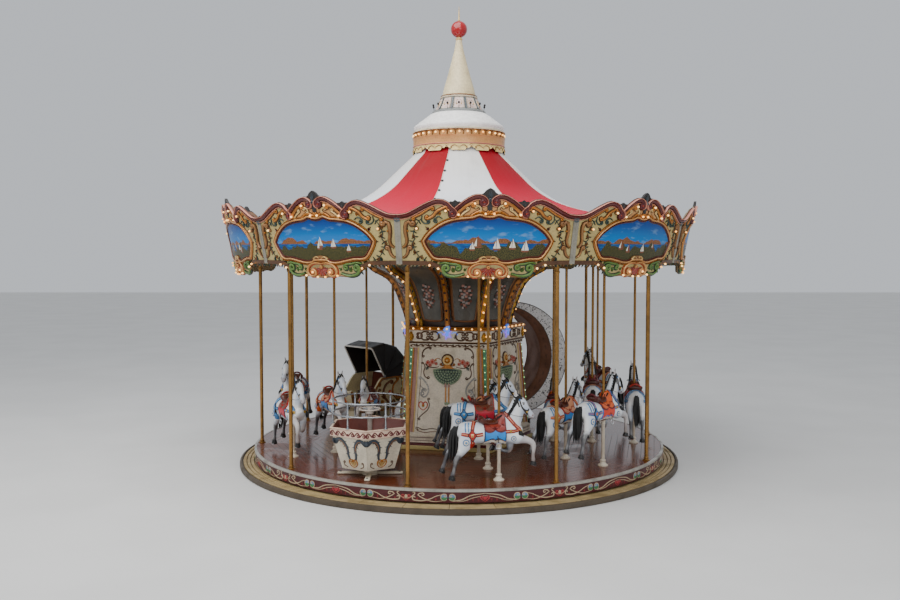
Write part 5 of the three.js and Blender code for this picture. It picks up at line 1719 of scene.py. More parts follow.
            radius = 0.185 - 0.04 * row
            count = int(math.pi * radius / 0.036)
            for a in math.pi * (1 + (np.arange(count) + 0.5) / count):
                drum.boss(onto, (radius * math.cos(a), 1.475 + radius * math.sin(a)), 0.020, 0.026,
                          "shell green", sides=6, dome=0.8)
        drum.plate(onto,
                   [(-0.05, 1.54), (-0.11, 1.502), (0.11, 1.502), (0.05, 1.54), (0.035, 1.575),
                    (-0.035, 1.575)], 0.018, "gold")
        for radius, height, paint, petals in ((0.10, 0.018, "dark scroll and shadow", 0), (0.09, 0.028, "pale gold", 12),
                                              (0.058, 0.04, "gold", 8), (0.02, 0.05, "pale gold", 0)):
            drum.boss(onto, (0, 1.628), radius, height, paint, petals=petals, cut=0.12, sides=36)
        for side in (1, -1):
            drum.relief(onto, scroll([(0.02 * side, 1.56), (0.06 * side, 1.545), (0.10 * side, 1.55)],
                                     (0.016, 1.1, side), None, 7), 0.016, 0.024, "gold")

    def frieze(self):
        frieze = Carving()
        frieze.turned(DRUM_CORNERS, [
            ("dark scroll and shadow", [(0.002, 1.8803), (1.055, 1.8803), (1.06, 1.886), (1.07, 1.896), (1.062, 1.906)]),
            ("ivory", [(1.062, 1.906), (1.05, 1.912), (1.05, 2.07), (1.062, 2.078)]),
            ("gold", [(1.062, 2.078), (1.08, 2.085), (1.085, 2.10), (1.07, 2.112), (1.04, 2.12),
                      (1.035, 2.1297), (0.002, 2.1297)]),
        ], DRUM_FIRST)
        spots, facings = [], []
        for side in range(DRUM_CORNERS):
            onto = drum_face(side, [(1.05, 1.9), (1.05, 2.1)])
            for hand in (1, -1):
                way = np.array([hand, 1.0])
                for u, turn in ((0.195, 1), (0.35, -1), (0.43, 1)):
                    tall = 0.062 if u < 0.4 else 0.04
                    arc = [(0.7, 1.0), (-0.5, 0.95), (-1.0, 0.0), (-0.5, -0.95), (0.7, -1.0)]
                    path = scroll([(x * tall * turn + u, z * tall + 1.995) for x, z in arc],
                                  (tall * 0.5, 1.25, turn), (tall * 0.45, 1.1, -turn), 10)
                    frieze.relief(onto, path * way, swell(0.026, 0.5), 0.012, "dark scroll and shadow")
                for u in (0.272, 0.12):
                    frieze.acanthus(onto, (u * hand, 1.955), math.pi / 2, 0.07, 0.01, "dark leaf", 3)
                frieze.relief(onto,
                              scroll([(0.07, 2.035), (0.11, 2.055), (0.15, 2.04)], (0.012, 1, -1), None, 7)
                              * way, 0.014, 0.01, "blue lamp")
                frieze.acanthus(onto, (0.565 * hand, 1.925), math.pi / 2, 0.15, 0.035, "bright gold", 7, 0.9)
                frieze.boss(onto, (0.565 * hand, 1.935), 0.03, 0.03, "bright gold", petals=6, sides=18)
            frieze.boss(onto, (0, 2.02), 0.092, 0.03, "violet lamp", petals=5, cut=0.5, sides=30)
            frieze.boss(onto, (0, 2.02), 0.045, 0.045, "blue lamp", petals=5, cut=0.4, sides=20)
            frieze.boss(onto, (0, 2.095), 0.07, 0.04, "blue lamp", petals=3, cut=0.3, sides=24)
            for u in np.linspace(-0.52, 0.52, 9):
                spots.append(drum_face(side, [(1.085, 1.9), (1.085, 2.2)])(u, 2.105, 0.0))
                middle = DRUM_FIRST + (side + 0.5) * 2 * math.pi / DRUM_CORNERS
                facings.append(on_ring(middle, 1.0, 0.35))
            for end in (0.60, -0.60):
                spots.append(onto(end, 2.0, 0.02))
                corner = DRUM_FIRST + (side + 0.5 + 0.5 * np.sign(end)) * 2 * math.pi / DRUM_CORNERS
                facings.append(on_ring(corner, 1.0, 0.1))
        piece("drum_frieze_scrolls", frieze, "turntable", ["drum_frieze"])
        repeated("frieze_lamps", bulb_motif(0.015), "lamp", spots, facings, "turntable")
        green, outward = [], []
        for k in range(DRUM_CORNERS):
            angle = DRUM_FIRST + k * 2 * math.pi / DRUM_CORNERS
            for z in np.arange(0.62, 1.8, 0.105):
                radius = self.corner_radius(z)
                for lean in (0.034, -0.034):
                    green.append(on_ring(angle + lean, radius - 0.012, z))
                    outward.append(on_ring(angle + lean * 6, 1.0, 0.0))
        repeated("pilaster_lamps", bulb_motif(0.010), "green lamp", green, outward, "turntable")

    shell = [(0.79, 2.13), (0.80, 2.2), (0.83, 2.34), (0.87, 2.48), (0.92, 2.62), (0.985, 2.76), (1.08, 2.88),
             (1.22, 2.97), (1.36, 3.04), (1.445, 3.1397)]
    rib = [(0.845, 2.13), (0.855, 2.2), (0.895, 2.34), (0.945, 2.48), (1.0, 2.62), (1.065, 2.75),
           (1.17, 2.86), (1.30, 2.93), (1.41, 3.0), (1.455, 3.1397)]

    def shroud(self):
        line = smooth_line(self.shell, 26)
        shroud = Carving()
        shroud.lathe([(0.002, 2.1303)] + [tuple(p) for p in line] + [(0.002, 3.1397)], 100, "shroud brown",
                     FIRST_JOINT)
        run = run_along(line)

        def bay_face(middle):
            def onto(u, v, out):
                r, z = np.interp(v, run, line[:, 0]), np.interp(v, run, line[:, 1])
                return on_ring(middle + np.asarray(u) * BAY / 2, r + out, z - 0.25 * np.asarray(out))
            return onto
        crest = smooth_line(self.rib, 24)
        spots, facings, studs, stud_way = [], [], [], []
        for bay in range(1, BAYS + 1):
            onto = bay_face(bay_middle(bay))
            top = run[-1] - 0.06
            outline = [(-0.60, 0.10), (-0.66, 0.14), (-0.70, 0.3), (-0.72, 0.6), (-0.70, top - 0.2),
                       (-0.55, top), (0, top + 0.01), (0.55, top), (0.70, top - 0.2), (0.72, 0.6),
                       (0.70, 0.3), (0.66, 0.14), (0.60, 0.10), (0, 0.09)]
            fine = smooth_line(outline + outline[:1], 46)[:-1]
            v = 0.10 + (top - 0.10) * np.linspace(0, 1, 14)[:, None]
            wide = np.interp(v, [0.10, 0.14, 0.3, 0.6, top - 0.2, top], [0.60, 0.66, 0.70, 0.72, 0.70, 0.55])
            u = wide * np.linspace(-1, 1, 11)[None]
            v = np.broadcast_to(v, u.shape)
            shroud.grid(onto(u, v, 0.006), "shroud panel", np.stack([u, v, np.ones_like(u)], -1))
            width = 1 / 0.29
            for extra, size, paint in ((1.0, 0.034, "brown scroll"), (1.12, 0.014, "dark scroll and shadow"),
                                       (0.92, 0.010, "niche gold")):
                path = fine.copy()
                path[:, 0] *= extra
                metric = path / [width, 1]

                def stretched(u, v, out, onto=onto):
                    return onto(u * width, v, out)
                shroud.relief(stretched, metric, size, 0.02, paint, closed=True)
            self.bouquet(shroud, stretched, bay)
        for joint in range(BAYS):
            angle = FIRST_JOINT + joint * BAY
            lit = joint % 2 == 1
            half = 0.046 if lit else 0.034
            paint = "bright gold" if lit else "gold"
            across = np.array([-1.0, -1.0, -0.8, 0.8, 1.0, 1.0])
            back = np.array([-0.16, -0.012, 0.0, 0.0, -0.012, -0.16])
            forward, sideways = on_ring(angle, 1.0, 0.0), np.array([math.cos(angle), math.sin(angle), 0])
            points = (on_ring(angle, crest[:, :1] + back[None], crest[:, 1:])
                      + half * across[None, :, None] * sideways)
            shroud.grid(points, paint, together(crest[:, 1:], across[None],
                                                (back[None] > -0.1) * 1.0))
            for side in (1, -1):
                edge = on_ring(angle, crest[:, 0] + 0.002, crest[:, 1]) + side * (half - 0.004) * sideways
                shroud.tube(edge[:-1], 0.008, "oxblood" if lit else "brown scroll", sides=5)
                for k in range(2, 22, 2):
                    base = edge[k] - 0.02 * forward
                    ahead = edge[k + 1] - edge[k - 1]
                    ahead /= np.linalg.norm(ahead)
                    path = np.array([base + ahead * s + side * sideways * (0.03 * math.sin(s * 30))
                                     for s in np.linspace(0, 0.055, 5)])
                    shroud.tube(path, swell(0.012, 0.2), "dark leaf", sides=4, flat=0.4)
            count = 9 if lit else 8
            for k in range(count):
                v = (k + 0.8) / (count + 0.5)
                index = v * (len(crest) - 1)
                spot = np.array([np.interp(index, range(len(crest)), crest[:, 0]),
                                 np.interp(index, range(len(crest)), crest[:, 1])])
                place = on_ring(angle, spot[0] + 0.001, spot[1])
                way = on_ring(angle, 1.0, -0.45)
                if lit:
                    spots.append(place)
                    facings.append(way)
                else:
                    studs.append(place)
                    stud_way.append(way)
        piece("flared_shroud_panels", shroud, "turntable", ["flared_shroud"])
        repeated("shroud_lamps", bulb_motif(0.017), "lamp", spots, facings, "turntable")
        stud = Carving()
        stud.lathe([(0.02, -0.003), (0.018, 0.006), (0.01, 0.012), (0.002, 0.013)], 8, "stud red")
        repeated("shroud_studs", stud, "stud red", studs, stud_way, "turntable")

    def bouquet(self, shroud, onto, bay):
        """A posy of round blossoms over dark stems"""
        chance = np.random.default_rng(40 + bay)
        for k in range(7):
            lean = (k - 3) / 3
            shroud.leaf(onto, (0.01 * lean, 0.16), math.pi / 2 + 0.3 * lean, 0.26, 0.026, 0.012,
                        ("dark leaf", "brown scroll")[k % 2], 0.3 * lean)
        ring = np.linspace(0, 2 * math.pi, 25)[:-1]
        ragged = 1 + 0.12 * np.cos(8 * ring)
        shroud.plate(onto, np.stack([0.098 * ragged * np.cos(ring), 0.49 + 0.19 * ragged * np.sin(ring)], 1),
                     0.008, "posy shade")
        for k in range(30):
            a, r = k * 2.4, 0.15 * math.sqrt((k + 0.5) / 30)
            spot = (0.68 * r * math.cos(a), 0.49 + 1.35 * r * math.sin(a))
            radius = 0.022 + 0.008 * chance.random()
            shroud.boss(onto, spot, radius, 0.02, ("blossom pink", "blossom grey", "blossom core")[k % 3],
                        petals=4, sides=8)

    def execute(self, context):
        self.body()
        self.frieze()
        self.shroud()
        return {"FINISHED"}


# Horses, in their own coordinates: x forward, y to the left, z above the deck at the foot of the travel


def limb(carving, rings, samples, paint="coat", sides=14):
    """A rounded limb through rings of (x, y, z, half height, half width) with domed ends"""
    line = smooth_line(rings, samples)
    ahead = np.gradient(line[:, [0, 2]], axis=0)
    ahead /= np.linalg.norm(ahead, axis=1, keepdims=True)
    first, last = line[0].copy(), line[-1].copy()
    caps = []
    for end, way, spot in ((first, -ahead[0], 0), (last, ahead[-1], -1)):
        cap = end.copy()
        cap[[0, 2]] += way * 0.45 * end[3]
        cap[3:] *= 0.55
        caps.append(cap)
    line = np.vstack([caps[0], line, caps[1]])
    ahead = np.vstack([ahead[:1], ahead, ahead[-1:]])
    turn = np.linspace(0, 2 * math.pi, sides, endpoint=False)
    tall, wide = line[:, 3:4] * np.cos(turn)[None], line[:, 4:5] * np.sin(turn)[None]
    points = np.stack([line[:, :1] - ahead[:, 1:] * tall, line[:, 1:2] + wide,
                       line[:, 2:3] + ahead[:, :1] * tall], -1)
    carving.grid(points, paint, None, around=True, flip=True)
    carving.cap(sides, len(line), paint)


class Hide:
    """The surface of a finished body, for laying trappings on it"""

    def __init__(self, points, faces):
        self.tree = BVHTree.FromPolygons([Vector(p) for p in points], faces)

    def cast(self, origins, aims, out):
        found = np.empty(origins.shape)
        for index in np.ndindex(origins.shape[:-1]):
            start, aim = Vector(origins[index]), Vector(aims[index])
            spot, normal, _, _ = self.tree.ray_cast(start, aim - start)
            if spot is None:
                spot, normal, _, _ = self.tree.find_nearest(aim)
            found[index] = spot + normal * float(out[index])
        return found

    def barrel(self, side):
        """u forward, v the way down from the spine round the trunk"""
        def onto(u, v, out):
            u, v, out = np.broadcast_arrays(np.asarray(u, float), v, out)
            turn = v / 0.15
            origins = np.stack([u, side * 0.7 * np.sin(turn), 0.65 + 0.7 * np.cos(turn)], -1)
            aims = np.stack([u, 0 * u, 0.65 + 0 * u], -1)
            return self.cast(origins, aims, out)
        return onto

    def flank(self, side):
        """u forward, v up, seen straight from the side"""
        def onto(u, v, out):
            u, v, out = np.broadcast_arrays(np.asarray(u, float), v, out)
            return self.cast(np.stack([u, side * 0.7 + 0 * u, v], -1), np.stack([u, 0 * u, v], -1), out)
        return onto


def settled(z):
    """Lowers the trunk of a horse a little between its hooves and its head"""
    return np.interp(z, [-1.0, 0.03, 0.46, 0.82, 1.18, 4.0], [-1.0, 0.03, 0.422, 0.785, 1.168, 3.988])


class BuildHorses(bpy.types.Operator):
    """Shapes one jumping horse and sets fifteen dressed copies on their brass poles"""
    bl_idname = "carousel.horses"
    bl_label = "Horses"

    trunk = [(-0.555, 0, 0.655, 0.05, 0.05), (-0.52, 0, 0.66, 0.115, 0.1), (-0.44, 0, 0.665, 0.14, 0.142),
             (-0.34, 0, 0.66, 0.14, 0.15), (-0.2, 0, 0.65, 0.132, 0.146), (-0.05, 0, 0.64, 0.135, 0.15),
             (0.08, 0, 0.645, 0.142, 0.146), (0.18, 0, 0.66, 0.135, 0.13), (0.25, 0, 0.675, 0.105, 0.1),
             (0.285, 0, 0.69, 0.06, 0.06)]
    neck = [(0.06, 0, 0.73, 0.16, 0.1), (0.14, 0, 0.78, 0.155, 0.092), (0.2, 0, 0.86, 0.128, 0.072),
            (0.235, 0, 0.95, 0.105, 0.058), (0.25, 0, 1.03, 0.082, 0.048), (0.255, 0, 1.075, 0.055, 0.038)]
    head = [(0.225, 0, 1.065, 0.05, 0.04), (0.27, 0, 1.035, 0.074, 0.052), (0.315, 0, 0.99, 0.074, 0.054),
            (0.36, 0, 0.94, 0.054, 0.043), (0.4, 0, 0.898, 0.044, 0.036), (0.435, 0, 0.862, 0.042, 0.037),
            (0.458, 0, 0.84, 0.034, 0.032)]
    legs = [
        [(0.12, -0.08, 0.63, 0.09, 0.06), (0.2, -0.088, 0.59, 0.085, 0.062), (0.29, -0.09, 0.572, 0.06, 0.05),
         (0.37, -0.088, 0.55, 0.045, 0.04), (0.425, -0.086, 0.52, 0.042, 0.036),
         (0.448, -0.086, 0.47, 0.034, 0.03), (0.446, -0.086, 0.40, 0.025, 0.023),
         (0.44, -0.086, 0.33, 0.024, 0.022), (0.442, -0.086, 0.285, 0.031, 0.027),
         (0.446, -0.086, 0.25, 0.026, 0.024)],
        [(0.12, 0.08, 0.62, 0.085, 0.06), (0.16, 0.088, 0.55, 0.072, 0.058),
         (0.172, 0.088, 0.47, 0.052, 0.042), (0.165, 0.086, 0.395, 0.04, 0.035),
         (0.13, 0.086, 0.372, 0.036, 0.032), (0.07, 0.086, 0.388, 0.026, 0.023),
         (0.01, 0.086, 0.41, 0.025, 0.022), (-0.02, 0.086, 0.42, 0.031, 0.027),
         (-0.04, 0.086, 0.425, 0.026, 0.024)],
        [(-0.42, -0.07, 0.64, 0.12, 0.08), (-0.46, -0.085, 0.55, 0.105, 0.072),
         (-0.5, -0.09, 0.46, 0.068, 0.05), (-0.55, -0.088, 0.375, 0.044, 0.036),
         (-0.59, -0.086, 0.315, 0.04, 0.032), (-0.6, -0.086, 0.25, 0.027, 0.024),
         (-0.617, -0.086, 0.17, 0.025, 0.023), (-0.63, -0.086, 0.12, 0.032, 0.028),
         (-0.643, -0.086, 0.088, 0.027, 0.025)],
        [(-0.43, 0.07, 0.64, 0.12, 0.08), (-0.49, 0.085, 0.56, 0.1, 0.07), (-0.55, 0.09, 0.48, 0.064, 0.048),
         (-0.62, 0.088, 0.42, 0.044, 0.036), (-0.66, 0.086, 0.37, 0.04, 0.032),
         (-0.69, 0.086, 0.3, 0.027, 0.024), (-0.716, 0.086, 0.22, 0.025, 0.023),
         (-0.728, 0.086, 0.18, 0.032, 0.028), (-0.738, 0.086, 0.155, 0.027, 0.025)],
    ]
    # ankle, toe and side of each hoof
    hooves = [((0.446, 0.25), (0.43, 0.2), -0.086), ((-0.045, 0.425), (-0.085, 0.445), 0.086),
              ((-0.643, 0.088), (-0.655, 0.034), -0.086), ((-0.738, 0.155), (-0.758, 0.112), 0.086)]

    def body(self):
        """Joins the limbs, smooths them and returns the points and faces of one skin"""
        rough = Carving()
        limb(rough, self.trunk, 22, sides=20)
        limb(rough, self.neck, 12, sides=16)
        limb(rough, self.head, 12, sides=14)
        for leg in self.legs:
            limb(rough, leg, 18, sides=12)
        mesh = bpy.data.meshes.new("horse_form")
        mesh.from_pydata([tuple(p) for p in np.concatenate(rough.points)], [], rough.faces)
        form = bpy.data.objects.new("horse_form", mesh)
        bpy.context.scene.collection.objects.link(form)
        remesh = form.modifiers.new("skin", "REMESH")
        remesh.mode, remesh.voxel_size = "VOXEL", 0.009
        soften = form.modifiers.new("soften", "SMOOTH")
        soften.factor, soften.iterations = 0.5, 5
        fewer = form.modifiers.new("fewer", "DECIMATE")
        fewer.ratio = 0.1
        graph = bpy.context.evaluated_depsgraph_get()
        skin = bpy.data.meshes.new_from_object(form.evaluated_get(graph), depsgraph=graph)
        points = np.array([v.co[:] for v in skin.vertices])
        faces = [tuple(p.vertices) for p in skin.polygons]
        bpy.data.objects.remove(form)
        bpy.data.meshes.remove(skin)
        return points, faces

    def hair(self, horse):
        """Tail, mane locks and forelock"""
        def lock(points, radius, lean=0.7, paint="hair"):
            horse.tube(smooth_line(points, 9),
                       lambda t: radius * (0.5 + 0.5 * np.sin(np.pi * (0.15 + 0.7 * t)))
                       * (1 - t ** 4 * 0.85), paint, 5, flat=lean, up=(0, 1, 0))
        chance = np.random.default_rng(5)
        for k in range(12):
            side = (k % 4 - 1.5) * 0.018
            drift = chance.uniform(-0.01, 0.01)
            back = -0.038 * (k // 4)
            lock([(-0.53, side * 0.4, 0.75 - 0.012 * (k // 4)), (-0.56 + back * 0.5, side * 0.9, 0.735),
                  (-0.575 + back * 0.8, side, 0.66), (-0.572 + back + drift, side * 1.1, 0.54),
                  (-0.585 + back, side * 1.1 + drift, 0.40),
                  (-0.61 + back - drift, side + drift, 0.26 + 0.03 * (k % 2))],
                 0.021, 0.9)
        crest = smooth_line([(0.215, 1.125), (0.18, 1.06), (0.145, 0.99), (0.10, 0.93)], 8)
        for k, (x, z) in enumerate(crest):
            for side in (1, -1):
                long = 0.09 + 0.03 * chance.random() - 0.006 * k
                lock([(x + 0.012, side * 0.012, z - 0.006), (x + 0.024, side * 0.034, z - 0.02),
                      (x + 0.022 - 0.02 * k / 7, side * (0.052 + 0.002 * k), z - 0.35 * long - 0.03),
                      (x - 0.005, side * (0.06 + 0.004 * k), z - 0.6 * long - 0.05)], 0.019, 0.5)
        for k in range(5):
            side = (k - 2) * 0.022
            lock([(0.095, side * 0.3, 0.862), (0.055, side, 0.892 - abs(side) * 0.5),
                  (0.0, side * 1.5, 0.868), (-0.05, side * 1.7, 0.835)], 0.018, 0.7)
        for side in (-0.012, 0.012):
            lock([(0.235, side, 1.13), (0.28, side * 1.4, 1.11), (0.315, side * 1.5, 1.06),
                  (0.335, side, 1.02)], 0.014)

    def head_parts(self, horse, hide):
        for side in (1, -1):
            onto = hide.flank(side)
            ear = [(0.232, side * 0.026, 1.105), (0.226, side * 0.033, 1.145), (0.236, side * 0.034, 1.178)]
            horse.tube(smooth_line(ear, 6), lambda t: 0.022 * (1 - t ** 1.7) + 0.002, "coat", 8, flat=0.55,
                       up=(0, 1, 0))
            horse.tube(smooth_line(np.array(ear) + (0.006, side * 0.004, 0.004), 5),
                       lambda t: 0.013 * (1 - t ** 1.7) + 0.001, "hair", 6, flat=0.5, up=(0, 1, 0))
            horse.boss(onto, (0.318, 1.012), 0.015, 0.009, "eye white", sides=10)
            horse.boss(onto, (0.32, 1.011), 0.012, 0.0125, "hair", sides=10)
            horse.relief(onto, smooth_line([(0.298, 1.02), (0.315, 1.031), (0.335, 1.022)], 6), 0.008, 0.007,
                         "hair")
            horse.boss(onto, (0.447, 0.863), 0.009, 0.006, "mouth", sides=8)
            horse.relief(onto, smooth_line([(0.449, 0.836), (0.42, 0.843), (0.395, 0.862)], 6), 0.007, 0.003,
                         "mouth")
            bands = [[(0.395, 0.945), (0.378, 0.915), (0.36, 0.885)],
                     [(0.262, 1.10), (0.272, 1.04), (0.3, 0.97), (0.345, 0.93), (0.385, 0.925)],
                     [(0.232, 1.09), (0.245, 1.03), (0.262, 0.975)],
                     [(0.235, 1.098), (0.27, 1.085), (0.305, 1.07)],
                     [(0.385, 0.875), (0.36, 0.9), (0.3, 0.965)]]
            for band in bands:
                horse.relief(onto, smooth_line(band, 9), 0.02, 0.007, "bridle", FLAT)
            horse.boss(onto, (0.372, 0.908), 0.014, 0.011, "buckle", sides=10)
            horse.boss(onto, (0.27, 1.062), 0.016, 0.012, "rosette blue", petals=5, sides=15)
            rein = [(0.39, side * 0.05, 0.872), (0.30, side * 0.085, 0.86), (0.18, side * 0.1, 0.88),
                    (0.08, side * 0.075, 0.915), (0.0, side * 0.03, 0.925)]
            horse.tube(smooth_line(rein, 12), 0.006, "bridle", 6, flat=0.5)

    def trappings(self, horse, hide):
        """Blanket, saddle skirt, straps, rosettes and buckles on both sides"""
        for side in (1, -1):
            onto, flank = hide.barrel(side), hide.flank(side)
            columns, rows = 19, 6
            along = np.linspace(-0.225, 0.068, columns)
            t = np.linspace(0, 1, columns)
            edge = 0.352 - 0.03 * np.abs(np.sin(2 * math.pi * t)) ** 0.7 + 0.018 * np.cos(2 * math.pi * t)
            for low, high, out, paint in ((0.3, 1.0, 0.010, "blanket border"),
                                          (0.35, 0.87, 0.0135, "blanket"), (0.955, 1.06, 0.013, "fringe")):
                s = np.linspace(low, high, rows)[:, None]
                inset = 0.9 if paint == "blanket" else 1.0
                u = np.broadcast_to((-0.0785 + (along + 0.0785) * inset)[None], (rows, columns))
                v = 0.02 + (edge[None] - 0.02) * s
                horse.quilt(onto, u, v, out, paint)
            for k in range(9):
                u = -0.2 + 0.03 * k
                v = np.interp(u, along, edge)
                horse.relief(onto, [(u, v - 0.004), (u + 0.012, v - 0.022), (u + 0.024, v - 0.004)], 0.008,
                             0.016, "strap line")
            s = np.linspace(0, 1, rows)[:, None]
            reach = 0.168 + 0.03 * np.abs(np.sin(2 * math.pi * t)) ** 0.7
            for grow, out, paint in ((1.0, 0.019, "skirt edge"), (0.9, 0.0235, "saddle skirt")):
                u = np.broadcast_to((-0.0785 + (along + 0.0785) * grow)[None], (rows, columns))
                horse.quilt(onto, u, 0.012 + reach[None] * s * (1 if grow == 1 else 0.92), out, paint)
            for points, end, start in (([(-0.17, 0.10), (-0.13, 0.15), (-0.08, 0.17)], (0.018, 1.2, -1),
                                        (0.02, 1.1, -1)),
                                       ([(0.01, 0.10), (-0.03, 0.15), (-0.08, 0.17)], (0.018, 1.2, 1),
                                        (0.02, 1.1, 1))):
                horse.relief(onto, scroll(points, end, start, 8), 0.012, 0.031, "skirt edge")
            girdle = [(-0.245, 0.225), (-0.33, 0.235), (-0.43, 0.23), (-0.52, 0.215)]
            croup = [(-0.33, 0.0), (-0.36, 0.08), (-0.385, 0.17), (-0.39, 0.25), (-0.385, 0.33)]
            chest = [(0.055, 0.2), (0.12, 0.2), (0.19, 0.195), (0.25, 0.17)]
            lines = [([(-0.10, 0.33), (-0.10, 0.39), (-0.10, 0.47)], 0.05, "girth", FLAT, 0.010),
                     ([(-0.43, 0.03), (-0.447, 0.10), (-0.45, 0.18)], 0.07, "stripe", FLAT, 0.003),
                     ([(-0.42, 0.04), (-0.433, 0.11), (-0.435, 0.19)], 0.014, "rosette blue", FLAT, 0.006),
                     ([(-0.452, 0.05), (-0.467, 0.11), (-0.469, 0.19)], 0.014, "rosette blue", FLAT, 0.006)]
            for band in (girdle, croup, chest):
                lines += [(band, 0.054, "bridle", FLAT, 0.008), (band, 0.044, "strap", FLAT, 0.012),
                          (band, 0.014, "strap line", ROUND, 0.016)]
            for points, width, paint, section, height in lines:
                horse.relief(onto, smooth_line(points, 9), width, height, paint, section)
            breast = smooth_line([(0.07, 0.90), (0.13, 0.83), (0.2, 0.75), (0.262, 0.69)], 10)
            for shift, width, height, paint in ((0, 0.05, 0.008, "bridle"), (0.012, 0.018, 0.013, "strap"),
                                                (-0.012, 0.018, 0.013, "strap"),
                                                (0, 0.008, 0.011, "strap line")):
                horse.relief(flank, beside(breast, shift), width, height, paint, FLAT)
            for grow, height, paint in ((0.062, 0.017, "bridle"), (0.05, 0.021, "strap")):
                diamond = [(-0.388 - grow, 0.235), (-0.388, 0.235 - 1.3 * grow), (-0.388 + grow, 0.235),
                           (-0.388, 0.235 + 1.3 * grow)]
                horse.plate(onto, diamond, height, paint)
            horse.boss(onto, (-0.388, 0.235), 0.034, 0.027, "strap line", petals=4, cut=0.3, sides=16)
            horse.boss(onto, (-0.388, 0.235), 0.016, 0.032, "buckle", sides=10)
            horse.plate(onto, [(-0.42, 0.33), (-0.355, 0.33), (-0.36, 0.37), (-0.388, 0.40), (-0.416, 0.37)],
                        0.014, "strap")
            horse.boss(onto, (0.125, 0.2), 0.024, 0.022, "buckle", petals=6, sides=18)
            for x, z, radius in ((-0.468, 0.56, 0.046), (0.165, 0.59, 0.038)):
                horse.boss(flank, (x, z), radius, 0.008, "rosette blue", sides=16, dome=0.2)
                horse.boss(flank, (x, z), radius * 0.74, 0.012, "fringe", sides=14, dome=0.2)
                horse.boss(flank, (x, z), radius * 0.5, 0.017, "rosette blue", petals=5, cut=0.35, sides=15)
                horse.boss(flank, (x, z), radius * 0.2, 0.021, "stripe", sides=6)
            horse.boss(flank, (0.268, 0.675), 0.032, 0.02, "buckle", petals=5, cut=0.4, sides=15)
            for k in range(4):
                horse.tube(smooth_line([(0.262, side * 0.1, 0.675), (0.24 + 0.018 * k, side * 0.124, 0.635),
                                        (0.228 + 0.024 * k, side * 0.118, 0.585)], 6),
                           taper(0.016), "hair", 6, up=(0, 1, 0))
            leather = [(-0.055, side * 0.148, 0.66), (-0.05, side * 0.172, 0.6),
                       (-0.045, side * 0.178, 0.545)]
            horse.tube(smooth_line(leather, 6), 0.008, "bridle", 6, flat=0.4)
            ring = [(-0.045 + 0.034 * math.sin(a), side * 0.18,
                     0.505 - 0.04 * math.cos(a) * (1 if math.cos(a) < 0 else 0.8))
                    for a in np.linspace(0, 2 * math.pi, 16, endpoint=False)]
            horse.tube(ring, 0.0048, "silver", 6, closed=True, up=(0, 1, 0))
            horse.tube([(-0.079, side * 0.18, 0.478), (-0.045, side * 0.18, 0.474),
                        (-0.011, side * 0.18, 0.478)], 0.009,
                       "silver", 6, flat=0.5, up=(0, 1, 0))

    def saddle(self, horse):
        rings = [(-0.262, 0, 0.85, 0.026, 0.10), (-0.25, 0, 0.838, 0.042, 0.116),
                 (-0.215, 0, 0.805, 0.042, 0.11), (-0.155, 0, 0.785, 0.034, 0.1),
                 (-0.075, 0, 0.782, 0.034, 0.094), (-0.03, 0, 0.803, 0.036, 0.078),
                 (-0.008, 0, 0.84, 0.028, 0.052), (0.0, 0, 0.86, 0.02, 0.036)]
        limb(horse, rings, 18, "saddle", 16)
        edge = [(-0.278, -0.085, 0.845), (-0.284, -0.04, 0.878), (-0.286, 0.0, 0.886), (-0.284, 0.04, 0.878),
                (-0.278, 0.085, 0.845)]
        horse.tube(smooth_line(edge, 14), 0.013, "skirt edge", 8, up=(1, 0, 0))
        roll = [(-0.2, 0.10, 0.79), (-0.208, 0.05, 0.822), (-0.208, -0.05, 0.822), (-0.2, -0.10, 0.79)]
        horse.tube(smooth_line(roll, 12), swell(0.02, 0.5), "saddle", 8, up=(1, 0, 0))

    def hoof(self, horse, ankle, toe, side):
        ankle, toe = np.array([ankle[0], side, ankle[1]]), np.array([toe[0], side, toe[1]])
        down = (toe - ankle) / np.linalg.norm(toe - ankle)
        ahead = np.array([-down[2], 0, down[0]])
        turn = np.linspace(0, 2 * math.pi, 14, endpoint=False)
        rings = [(-0.012, 0.026), (0.004, 0.032), (0.5, 0.038), (0.96, 0.044), (1.0, 0.043)]
        length = np.linalg.norm(toe - ankle)
        points = np.array([[ankle + down * t * length + 0.006 * ahead * t + radius * (
            ahead * (1.12 * math.cos(a) + 0.1) + np.array([0, 1, 0]) * math.sin(a)) for a in turn]
                           for t, radius in rings])
        horse.grid(points, "hoof", None, around=True, flip=True)
        horse.cap(14, len(rings), "hoof")
        arc = [toe + down * 0.001
               + 0.034 * (ahead * (1.12 * math.cos(a) + 0.26) + np.array([0, 1, 0]) * math.sin(a))
               for a in np.linspace(-2.2, 2.2, 13)]
        horse.tube(arc, 0.0115, "silver", 6, flat=0.5, up=tuple(down))

